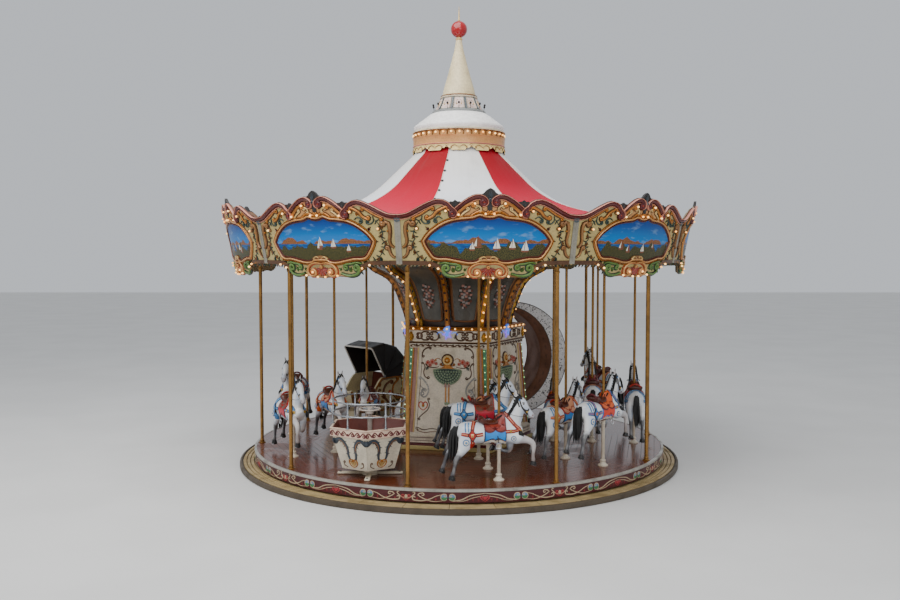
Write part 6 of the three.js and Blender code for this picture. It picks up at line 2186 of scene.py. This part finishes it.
    def execute(self, context):
        points, faces = self.body()
        hide = Hide(points, faces)
        horse = Carving()
        horse.add(points, faces, "coat", points)
        for ankle, toe, side in self.hooves:
            self.hoof(horse, ankle, toe, side)
        self.hair(horse)
        self.head_parts(horse, hide)
        self.trappings(horse, hide)
        self.saddle(horse)
        outfits = [
            {"blanket": "cloth blue", "blanket border": "navy", "saddle skirt": "leather red",
             "skirt edge": "wine", "strap": "strap red", "strap line": "strap pale"},
            {"blanket": "cloth rose", "blanket border": "wine", "saddle skirt": "leather brown",
             "skirt edge": "strap red", "strap": "rosette blue", "strap line": "stripe"},
            {"blanket": "cloth blue", "blanket border": "navy", "saddle skirt": "leather peach",
             "skirt edge": "strap red", "strap": "strap orange", "strap line": "strap pale"},
            {"blanket": "cloth coral", "blanket border": "cloth blue", "saddle skirt": "strap orange",
             "skirt edge": "wine", "strap": "rosette blue", "strap line": "strap orange"},
        ]
        choice = {(1, "outer"): 0, (1, "middle"): 1, (1, "inner"): 2, (2, "outer"): 3, (2, "middle"): 2,
                  (3, "outer"): 1, (3, "middle"): 0}
        for number, (bay, row, lift) in enumerate(HORSES):
            radius, size = ROWS[row]
            angle = bay_middle(bay) + HORSE_LEAD
            centre = on_ring(angle, radius, DECK_TOP + lift * TRAVEL)
            forward = np.array([math.cos(angle), math.sin(angle), 0])
            left = np.array([-math.sin(angle), math.cos(angle), 0])

            def place(local, scale, centre=centre, forward=forward, left=left):
                heights = HOOF_CLEARANCE + (settled(local[:, 2:]) - HOOF_CLEARANCE) * scale
                return (centre + local[:, :1] * scale * forward + local[:, 1:2] * scale * left
                        + heights * np.array([0, 0, 1.0]))
            outfit = outfits[choice.get((bay, row), number % len(outfits))]
            made = Carving()
            made.take(horse, lambda local: place(local, size), outfit)
            pole = Carving()
            saddle, belly = (HOOF_CLEARANCE + (settled(z) - HOOF_CLEARANCE) * size for z in (0.785, 0.53))
            pole.lathe([(0.002, saddle - 0.1), (0.0195, saddle - 0.1), (0.0195, saddle),
                        (0.03, saddle + 0.004), (0.03, saddle + 0.012), (0.02, saddle + 0.018),
                        (0.0195, saddle + 0.03), (0.0195, 2.955), (0.002, 2.955)], 14, "brass")
            pole.lathe([(0.002, -0.26), (0.025, -0.26), (0.025, belly - 0.09), (0.03, belly - 0.085),
                        (0.03, belly - 0.07), (0.026, belly - 0.062), (0.034, belly - 0.03),
                        (0.042, belly - 0.015), (0.036, belly), (0.03, belly + 0.04), (0.002, belly + 0.04)],
                       14, "ivory")
            made.take(pole, lambda p: centre + p[:, :1] * forward + p[:, 1:2] * left + p[:, 2:] * [0, 0, 1.0])
            name = f"horse_{bay}_{row}"
            piece(f"{name}_dressed", made, name, [name], weld=False, sharp=46)
        return {"FINISHED"}


TUB_ANGLE, TUB_RADIUS = math.radians(-27), 2.65
MOON_ANGLE, MOON_RADIUS, MOON_HEADING = math.radians(154), 1.847, math.radians(194.5)
COACH_ANGLE, COACH_RADIUS = math.radians(225), 2.42


def placed(angle, radius, heading):
    """Moves points from a ride's own coordinates to its place on the deck"""
    centre = on_ring(angle, radius, DECK_TOP)
    cos, sin = math.cos(heading), math.sin(heading)
    turn = np.array([[cos, sin, 0], [-sin, cos, 0], [0, 0, 1]])
    return lambda local: centre + local @ turn


def side_plane(hand, reach):
    """u forward, v up on the upright plane at y = hand times reach, out away from the middle"""
    return flat_face((0, hand * reach, 0), (1, 0, 0), (0, 0, 1), (0, hand, 0))


def cushion(centre, half, crown, tufts=(3, 2)):
    """A crowned pad with pulled-in corners, tufted dents and piping round its middle"""
    pad = Carving()
    a = np.linspace(-1, 1, 25)[None]
    b = np.linspace(-1, 1, 25)[:, None]
    edge = ((1 - a ** 6) * (1 - b ** 6)).clip(0, 1) ** 0.42
    pull = 1 - 0.035 * (a ** 2 * b ** 2) - 0.02 * (1 - np.cos(math.pi * a * tufts[0])) * (np.abs(b) > 0.9)
    dent = np.zeros_like(edge)
    for i in range(tufts[0]):
        for j in range(tufts[1]):
            ca, cb = (2 * i + 1) / tufts[0] - 1, (2 * j + 1) / tufts[1] - 1
            away = np.hypot((a - ca) * half[0], (b - cb) * half[1])
            dent += 0.45 * np.exp(-(away / 0.03) ** 2) + 0.12 * np.exp(-(away / 0.09) ** 2)
    x, y = centre[0] + half[0] * a * pull, centre[1] + half[1] * b * pull
    top = centre[2] + half[2] * edge * (0.75 + crown * (1 - a ** 2) * (1 - b ** 2)) - half[2] * dent * edge
    bottom = centre[2] - half[2] * 0.8 * edge
    for z, flip in ((top, False), (bottom, True)):
        points = together(x, y, z)
        pad.grid(points, "seat satin", points, flip=flip)
    rim = np.concatenate([np.stack([x[0] + 0 * a[0], y[0] + 0 * a[0]], 1),
                          np.stack([x[:, -1], y[:, -1]], 1)[1:],
                          np.stack([x[-1], y[-1] + 0 * a[0]], 1)[::-1][1:],
                          np.stack([x[:, 0], y[:, 0]], 1)[::-1][1:-1]])
    rim = np.column_stack([rim, np.full(len(rim), centre[2])])
    pad.tube(rim, 0.008, "seat piping", 6, closed=True)
    return pad


class BuildTub(bpy.types.Operator):
    """Builds the spinning six-sided tub, its chrome rails, foot and hand wheel"""
    bl_idname = "carousel.tub"
    bl_label = "Spinning Tub"

    def execute(self, context):
        centre = on_ring(TUB_ANGLE, TUB_RADIUS, DECK_TOP)
        stand = Carving()
        stand.lathe([(0.002, 0.0005), (0.11, 0.0005), (0.112, 0.01), (0.1, 0.028), (0.086, 0.055),
                     (0.09, 0.085), (0.118, 0.12), (0.12, 0.14), (0.116, 0.1497), (0.04, 0.1497)], 36,
                    "crown cream")
        stand.lathe([(0.04, 0.1497), (0.036, 0.2), (0.033, 0.25), (0.032, 0.8), (0.038, 0.812), (0.048, 0.82),
                     (0.05, 0.84), (0.04, 0.856), (0.034, 0.866), (0.036, 0.895), (0.024, 0.903),
                     (0.002, 0.905)], 24,
                    "white enamel")
        ring = np.linspace(0, 2 * math.pi, 40, endpoint=False)
        wheel_radius, wheel_height, spokes, spoke_turn = 0.137, 0.88, 5, 1.2566
        stand.tube(together(wheel_radius * np.cos(ring), wheel_radius * np.sin(ring), wheel_height), 0.0125,
                   "white enamel", 10, closed=True)
        for angle in spoke_turn * np.arange(spokes):
            way = np.array([math.cos(angle), math.sin(angle), 0])
            middle = np.array([0, 0, wheel_height])
            stand.tube([way * 0.03 + middle, way * 0.13 + middle], 0.008, "chrome", 8)
        for turn in (0.0, math.pi / 2):
            box(stand, (-0.44, -0.035, 0.0005), (0.44, 0.035, 0.03), "crown cream", turn, 0.008)
            for end in (-0.40, 0.40):
                bolt = Carving()
                bolt.lathe([(0.002, 0.028), (0.016, 0.028), (0.016, 0.036), (0.011, 0.041), (0.002, 0.042)],
                           8, "steel")
                spot = (end * math.cos(turn), end * math.sin(turn), 0)
                stand.take(bolt, lambda p, spot=spot: p + spot)
        piece("tub_foot_and_wheel", stand.moved(lambda p: p + centre), "turntable", ["tub_pedestal"])
        piece("painted_tub", self.shell().moved(lambda p: p + centre), "tub", ["tub_shell"])
        rails = Carving()
        rail_radius = 0.495
        for height in (0.85, 1.02):
            rails.tube(on_ring(ring, rail_radius, height), 0.011, "chrome",
                       10, closed=True)
        for k in range(TUB_CORNERS):
            x, y = on_ring((k + 0.5) * 2 * math.pi / TUB_CORNERS, rail_radius, 0)[:2]
            rails.lathe([(0.002, 0.6903), (0.028, 0.6903), (0.028, 0.697), (0.014, 0.702), (0.0115, 0.71),
                         (0.0115, 0.825), (0.02, 0.836), (0.022, 0.85), (0.02, 0.864), (0.0115, 0.875),
                         (0.0115, 0.998), (0.02, 1.006), (0.022, 1.02), (0.018, 1.034), (0.002, 1.04)], 12,
                        "chrome", centre=(x, y))
        piece("tub_chrome_rails", rails.moved(lambda p: p + centre), "tub", ["tub_rails"])
        return {"FINISHED"}

    def shell(self):
        tub = Carving()
        tub.turned(TUB_CORNERS, [
            ("tub cream",
             [(0.06, 0.15), (0.138, 0.15), (0.142, 0.118), (0.388, 0.118), (0.398, 0.124), (0.535, 0.56),
              (0.538, 0.568)]),
            ("tub pink", [(0.538, 0.568), (0.564, 0.57), (0.574, 0.576), (0.578, 0.584), (0.574, 0.59),
                          (0.574, 0.674), (0.58, 0.678), (0.58, 0.685), (0.573, 0.69), (0.55, 0.69),
                          (0.543, 0.683)]),
            ("seat brown", [(0.543, 0.683), (0.52, 0.62), (0.415, 0.425), (0.405, 0.416)]),
            ("seat satin", [(0.405, 0.416), (0.255, 0.416), (0.243, 0.412), (0.235, 0.40), (0.235, 0.385)]),
            ("seat brown", [(0.235, 0.385), (0.229, 0.185), (0.06, 0.185), (0.06, 0.15)]),
        ])
        for side in range(TUB_CORNERS):
            face = drum_face(side, [(0.398, 0.124), (0.535, 0.56)], TUB_CORNERS, 0)
            band = drum_face(side, [(0.574, 0.5), (0.574, 0.7)], TUB_CORNERS, 0)
            for hand in (1, -1):
                way = np.array([hand, 1.0])
                strokes = [
                    ([(0.225, 0.50), (0.19, 0.535), (0.135, 0.53), (0.085, 0.475), (0.06, 0.40),
                      (0.062, 0.32), (0.045, 0.262)], None, (0.024, 1.0, 1), 0.064, "slate leaf"),
                    ([(0.18, 0.525), (0.13, 0.515), (0.083, 0.455), (0.063, 0.38), (0.06, 0.31)], None, None,
                     0.022, "gold"),
                    ([(0.0, 0.152), (0.045, 0.18), (0.066, 0.225), (0.05, 0.262), (0.02, 0.262)],
                     (0.016, 0.8, 1), None, 0.020, "gold"),
                ]
                for points, end, start, width, paint in strokes:
                    tub.relief(face, scroll(points, end, start) * way, swell(width, 0.45), 0.012, paint)
                for u, v, lean, size in ((0.175, 0.53, 2.5, 0.06), (0.105, 0.505, 2.9, 0.06),
                                         (0.068, 0.44, 3.2, 0.055), (0.06, 0.37, 3.5, 0.045),
                                         (0.14, 0.53, 5.2, 0.055), (0.083, 0.46, 5.6, 0.055),
                                         (0.066, 0.35, 5.9, 0.045)):
                    angle = lean if hand > 0 else math.pi - lean
                    tub.acanthus(face, (u * hand, v), angle, size, 0.009, "slate leaf", 3, 0.6)
                for k in range(3):
                    u = hand * (0.03 + 0.092 * k)
                    path = scroll([(u - hand * 0.015, 0.605), (u + hand * 0.03, 0.65),
                                   (u + hand * 0.06, 0.635)],
                                  (0.025, 1.4, -hand), (0.014, 1, -hand), 8)
                    tub.relief(band, path, swell(0.02, 0.6), 0.006, "oxblood")
                tub.boss(face, (0.12 * hand, 0.47), 0.008, 0.008, "gold", sides=8)
                tub.relief(face, scroll([(0.10 * hand, 0.15), (0.15 * hand, 0.175), (0.16 * hand, 0.215)],
                                        (0.016, 1, hand)), 0.014, 0.008, "dark scroll and shadow")
            for k in range(3):
                tub.leaf(face, (0, 0.17), math.pi / 2 + 0.5 * (k - 1), 0.105, 0.05, 0.014, "pale gold",
                         0.2 * (k - 1))
            for v in (0.594, 0.67):
                tub.relief(band, [(-0.283, v), (0.283, v)], 0.005, 0.003, "rose line")
        for k in range(TUB_CORNERS):
            angle = k * 2 * math.pi / TUB_CORNERS
            edge = [on_ring(angle, r - 0.004, z) for r, z in ((0.40, 0.128), (0.468, 0.343), (0.535, 0.558))]
            tub.tube(np.array(edge), 0.006, "tub cream", 8)
        return tub


class BuildMoon(bpy.types.Operator):
    """Builds the crescent moon chariot with its plinth and seat"""
    bl_idname = "carousel.moon"
    bl_label = "Moon Chariot"

    def execute(self, context):
        place = placed(MOON_ANGLE, MOON_RADIUS, MOON_HEADING)
        (ox, oz, outer), (ix, iz, inner) = (-0.05, 1.14, 0.98), (0.30, 1.19, 0.86)
        apart, tilt = math.hypot(ix - ox, iz - oz), math.atan2(iz - oz, ix - ox)
        reach = (apart ** 2 + outer ** 2 - inner ** 2) / (2 * apart)
        outer_half, inner_half = math.acos(reach / outer), math.acos((reach - apart) / inner)
        s = np.linspace(0.004, 0.996, 73)

        def between(s, w):
            a = tilt + outer_half + s * (2 * math.pi - 2 * outer_half)
            b = tilt + inner_half + s * (2 * math.pi - 2 * inner_half)
            x = (1 - w) * (ox + outer * np.cos(a)) + w * (ix + inner * np.cos(b))
            z = (1 - w) * (oz + outer * np.sin(a)) + w * (iz + inner * np.sin(b))
            return x, z
        moon = Carving()
        half = 0.39
        thick = np.minimum(1.0,
                           0.02 / np.maximum(np.hypot(*np.subtract(between(s, 0.0), between(s, 1.0))), 0.02))

        def strip(section, paint):
            rows = []
            for w, y in section:
                share = w if isinstance(w, float) else (w[0] + w[1] * thick)
                x, z = between(s, share)
                rows.append(np.stack([x, np.full_like(x, y), z], -1))
            rows = np.array(rows)
            flow = np.stack([rows[..., 0], rows[..., 2], np.ones_like(rows[..., 0])], -1)
            moon.grid(rows, paint, flow)
        edge = half - 0.018
        strip([(0.0, edge), (0.0, 0.0), (0.0, -edge)], "moon back")
        strip([(0.0, -edge), ((0.0, 0.3), -half + 0.006), ((0.0, 0.9), -half), (0.3, -half - 0.004),
               (0.6, -half - 0.004)], "moon speckle")
        strip([(0.6, -half - 0.004), ((1.0, -0.9), -half), ((1.0, -0.3), -half + 0.006), (1.0, -edge)],
              "moon brown")
        strip([(1.0, -edge), (1.0, 0.0), (1.0, edge)], "moon brown")
        strip([(1.0, edge), ((1.0, -0.3), half - 0.006), ((1.0, -0.9), half), (0.6, half + 0.004)],
              "moon brown")
        strip([(0.6, half + 0.004), (0.3, half + 0.004), ((0.0, 0.9), half), ((0.0, 0.3), half - 0.006),
               (0.0, edge)],
              "moon speckle")
        for w, y in ((0.0, edge), (0.0, -edge), (1.0, edge), (1.0, -edge)):
            x, z = between(s, w)
            moon.tube(np.stack([x, np.full_like(x, y), z], 1), 0.011, "moon brown" if w else "moon edge", 8,
                      up=(0, 1, 0))
        for hand in (1, -1):
            onto = side_plane(hand, half + 0.003)
            path = np.stack(between(s[3:-3], 0.6), 1)
            moon.relief(onto, path[::2], 0.014, 0.008, "moon edge")
            for share in np.linspace(0.16, 0.84, 15):
                x, z = between(np.array(share), 0.8)
                ahead = np.subtract(between(np.array(share + 0.01), 0.8), (x, z))
                lean = math.atan2(ahead[1], ahead[0])
                moon.acanthus(onto, (float(x), float(z)), lean, 0.085, 0.008, "moon brown", 3, 0.7)
        box(moon, (-0.39, -0.28, 0.0005), (0.31, 0.28, 0.24), "moon back", 0.0, 0.012)
        box(moon, (-0.4, -0.29, 0.0005), (0.32, 0.29, 0.05), "moon edge", 0.0, 0.01)
        piece("crescent_moon", moon.moved(place), "turntable", ["moon_chariot"])
        seat = Carving()
        heights = np.linspace(0.36, 0.505, 7)
        outline = [(ix - math.sqrt(inner ** 2 - (z - iz) ** 2) + 0.001, z) for z in heights[::-1]]
        outline = [(0.12, 0.505), (0.14, 0.49), (0.14, 0.352)][::-1] + outline
        seat.plate(side_plane(1, 0.35), outline, 0.0, "seat brown", sink=0.7, back=True)
        piece("moon_bench", seat.moved(place), "turntable", ["moon_seat"])
        piece("moon_cushion",
                        cushion((-0.058, 0, 0.53), (0.205, 0.345, 0.028), 0.45, (2, 4)).moved(place),
                        "turntable")
        return {"FINISHED"}


class BuildCarriage(bpy.types.Operator):
    """Builds the hooded carriage with its carved sides, seat and folding hood"""
    bl_idname = "carousel.carriage"
    bl_label = "Carriage"

    def execute(self, context):
        place = placed(COACH_ANGLE, COACH_RADIUS, COACH_ANGLE)
        coach = Carving()
        side = smooth_line([(-0.56, 0.78), (-0.597, 0.64), (-0.56, 0.42), (-0.45, 0.25), (-0.24, 0.18),
                            (0.0, 0.176), (0.23, 0.18), (0.43, 0.23), (0.57, 0.38), (0.617, 0.6)], 40)
        top = smooth_line([(0.617, 0.6), (0.585, 0.612), (0.56, 0.585), (0.5, 0.475), (0.34, 0.42),
                           (0.16, 0.47), (0.05, 0.62), (-0.05, 0.74), (-0.15, 0.778), (-0.56, 0.78)], 40)
        outline = np.vstack([side, top[1:-1]])
        for hand in (1, -1):
            onto = side_plane(hand, 0.3995)
            coach.plate(onto, outline, 0.0, "coach cream", sink=0.035, back=True)
            coach.relief(onto, beside(outline, 0.02), 0.026, 0.012, "gold", closed=True)
            coach.relief(onto, beside(outline, 0.042), 0.010, 0.008, "oxblood", closed=True)
            strokes = [
                ([(-0.46, 0.70), (-0.36, 0.62), (-0.34, 0.48), (-0.42, 0.38)], (0.05, 1.3, -1),
                 (0.03, 1.1, -1), 0.04, "gold"),
                ([(-0.3, 0.70), (-0.18, 0.64), (-0.12, 0.5), (-0.2, 0.36), (-0.32, 0.28)], (0.045, 1.2, -1),
                 (0.03, 1.1, 1), 0.045, "brown scroll"),
                ([(-0.1, 0.3), (0.06, 0.26), (0.2, 0.32), (0.22, 0.4)], (0.045, 1.3, 1), (0.035, 1.2, -1),
                 0.04, "gold"),
                ([(0.3, 0.26), (0.42, 0.32), (0.5, 0.42), (0.47, 0.46)], (0.02, 1.1, 1), (0.03, 1.1, 1),
                 0.034, "brown scroll"),
                ([(-0.02, 0.56), (0.02, 0.46), (0.10, 0.38)], (0.03, 1.2, -1), (0.02, 1, 1), 0.03,
                 "brown scroll"),
            ]
            for points, end, start, width, paint in strokes:
                coach.relief(onto, scroll(points, end, start), swell(width, 0.45), 0.02, paint)
            for u, v, lean, size, paint in ((-0.42, 0.38, 3.6, 0.11, "leaf green"),
                                            (-0.18, 0.42, 0.2, 0.12, "gold"),
                                            (0.12, 0.34, 1.2, 0.09, "leaf green"),
                                            (0.47, 0.4, 0.8, 0.08, "gold"), (-0.02, 0.62, 2.2, 0.09, "gold"),
                                            (-0.25, 0.25, 5.2, 0.07, "leaf green")):
                coach.acanthus(onto, (u, v), lean, size, 0.018, paint)
            for u, v in ((-0.27, 0.5), (0.0, 0.38), (0.38, 0.36)):
                coach.boss(onto, (u, v), 0.04, 0.03, "coral", petals=7, sides=28)
                coach.boss(onto, (u, v), 0.017, 0.036, "pale gold", sides=12)
        inside = side_plane(1, 0.3825)
        floor = [(-0.45, 0.262), (-0.24, 0.192), (0.36, 0.192), (0.43, 0.24), (0.43, 0.262), (-0.44, 0.29)]
        back = [(-0.595, 0.64), (-0.555, 0.425), (-0.445, 0.258), (-0.14, 0.258), (-0.14, 0.42),
                (-0.155, 0.43), (-0.47, 0.43), (-0.52, 0.765), (-0.53, 0.775), (-0.558, 0.775)]
        dash = [(0.4, 0.238), (0.43, 0.233), (0.568, 0.383), (0.616, 0.592), (0.588, 0.598), (0.53, 0.4)]
        for shape, paint in ((floor, "coach cream"), (back, "seat brown"), (dash, "coach cream")):
            coach.plate(inside, shape, 0.0, paint, sink=0.765, back=True)
        front = flat_face((0.568, 0, 0.383), (0, 1, 0), (0.224, 0, 0.9746), (0.9746, 0, -0.224))
        for hand in (1, -1):
            path = scroll([(0.03, 0.02), (0.12, 0.04), (0.2, 0.12), (0.24, 0.17)], (0.03, 1.1, 1),
                          (0.02, 1, 1))
            coach.relief(front, path * [hand, 1.0], swell(0.03, 0.45), 0.012, "gold")
        coach.acanthus(front, (0, 0.03), math.pi / 2, 0.14, 0.014, "leaf green", 7)
        for x in (-0.33, 0.33):
            box(coach, (x - 0.06, -0.28, 0.0005), (x + 0.06, 0.28, 0.24), "coach cream", 0.0, 0.01)
            box(coach, (x - 0.07, -0.29, 0.0005), (x + 0.07, 0.29, 0.04), "brown scroll", 0.0, 0.008)
        piece("carved_carriage", coach.moved(place), "turntable", ["carriage_body"])
        piece("carriage_cushion",
                        cushion((-0.305, 0, 0.455), (0.158, 0.375, 0.028), 0.45, (2, 4)).moved(place),
                        "turntable")
        self.hood(place)
        return {"FINISHED"}

    def hood(self, place):
        pivot, reach, half = (-0.15, 0.7803), 0.6, 0.4
        angles = np.radians(np.linspace(62, 180, 33))
        bows = np.radians([62, 92, 121, 151, 180])
        nearest = np.min(np.abs(angles[:, None] - bows[None]), axis=1) / math.radians(15)
        sag = 0.012 * np.sin(0.5 * math.pi * nearest.clip(0, 1)) ** 1.2
        corner = 0.05
        round_off = [(half - corner + corner * math.sin(a), reach - corner + corner * math.cos(a))
                     for a in np.linspace(math.pi / 2, 0, 7)]
        half_section = [(half, r) for r in np.linspace(0.02, reach - corner - 0.03, 6)] + round_off
        section = np.array([(-y, r) for y, r in half_section]
                           + [(y, reach) for y in np.linspace(-half + corner + 0.05, half - corner - 0.05, 7)]
                           + half_section[::-1])

        def sheet(inset):
            y, r = section[None, :, 0], section[None, :, 1]
            drop = (sag[:, None] + inset) * (r / reach)
            shrink = 1 - (inset + 0.4 * sag[:, None] * (r / reach)) / half
            return together(pivot[0] + (r - drop) * np.cos(angles)[:, None], y * shrink,
                            pivot[1] + (r - drop) * np.sin(angles)[:, None])
        cloth = Carving()
        outside, inside = sheet(0.001), sheet(0.013)
        flow = together(angles[:, None] * 0.6, section[None, :, 0] + section[None, :, 1], 1.0)
        cloth.grid(outside, "hood cloth", flow)
        cloth.grid(inside, "hood lining", flow, flip=True)
        rim = [around_edge(layer) for layer in (outside, inside)]
        cloth.grid(np.array(rim), "hood cloth", None, around=True, flip=True)
        made = piece("folding_hood", cloth.moved(place), "turntable", ["carriage_hood"], sharp=50)
        frame_parts = Carving()
        for k, angle in enumerate(bows):
            y, r = section[:, 0], section[:, 1]
            row = np.stack([pivot[0] + (r - 0.004) * math.cos(angle), y * 0.992,
                            pivot[1] + (r - 0.004) * math.sin(angle)],
                           1)
            if k == 0:
                frame_parts.tube(row, 0.014, "hood edge", 8, up=(0.5, 0, 0.8))
            else:
                frame_parts.tube(row, 0.009, "hood piping", 6, up=(0.5, 0, 0.8))
        for hand in (1, -1):
            frame_parts.boss(side_plane(hand, half - 0.002), (pivot[0], pivot[1] + 0.012), 0.03, 0.02,
                             "chrome", sides=16)
        trims = piece("hood_bows", frame_parts.moved(place), "turntable", weld=False)


CLASSES = [CarouselSizes, CarouselColours, BuildStage, BuildGround, BuildPlatform, BuildPosts, BuildBoards,
           BuildCanopy, BuildCrown, BuildDrum, BuildHorses, BuildTub, BuildMoon, BuildCarriage]


class CarouselPanel(bpy.types.Panel):
    """Lists the carousel's pieces in the sidebar"""
    bl_idname = "VIEW3D_PT_carousel"
    bl_label = "Fairground Carousel"
    bl_space_type = "VIEW_3D"
    bl_region_type = "UI"
    bl_category = "Carousel"

    def draw(self, context):
        for holder in (context.scene.carousel_sizes, context.scene.carousel_colours):
            for key in holder.__annotations__:
                self.layout.prop(holder, key)
        for maker in CLASSES:
            if hasattr(maker, "bl_idname"):
                self.layout.operator(maker.bl_idname)


def register():
    for entry in CLASSES + [CarouselPanel]:
        bpy.utils.register_class(entry)
    bpy.types.Scene.carousel_sizes = PointerProperty(type=CarouselSizes)
    bpy.types.Scene.carousel_colours = PointerProperty(type=CarouselColours)


def unregister():
    del bpy.types.Scene.carousel_sizes
    del bpy.types.Scene.carousel_colours
    for entry in reversed(CLASSES + [CarouselPanel]):
        bpy.utils.unregister_class(entry)


def main():
    register()
    make_paints(bpy.context.scene.carousel_colours)
    for step in ("stage", "ground", "platform", "posts", "boards", "canopy", "crown", "drum", "horses", "tub",
                 "moon", "carriage"):
        getattr(bpy.ops.carousel, step)()


if __name__ == "__main__":
    main()
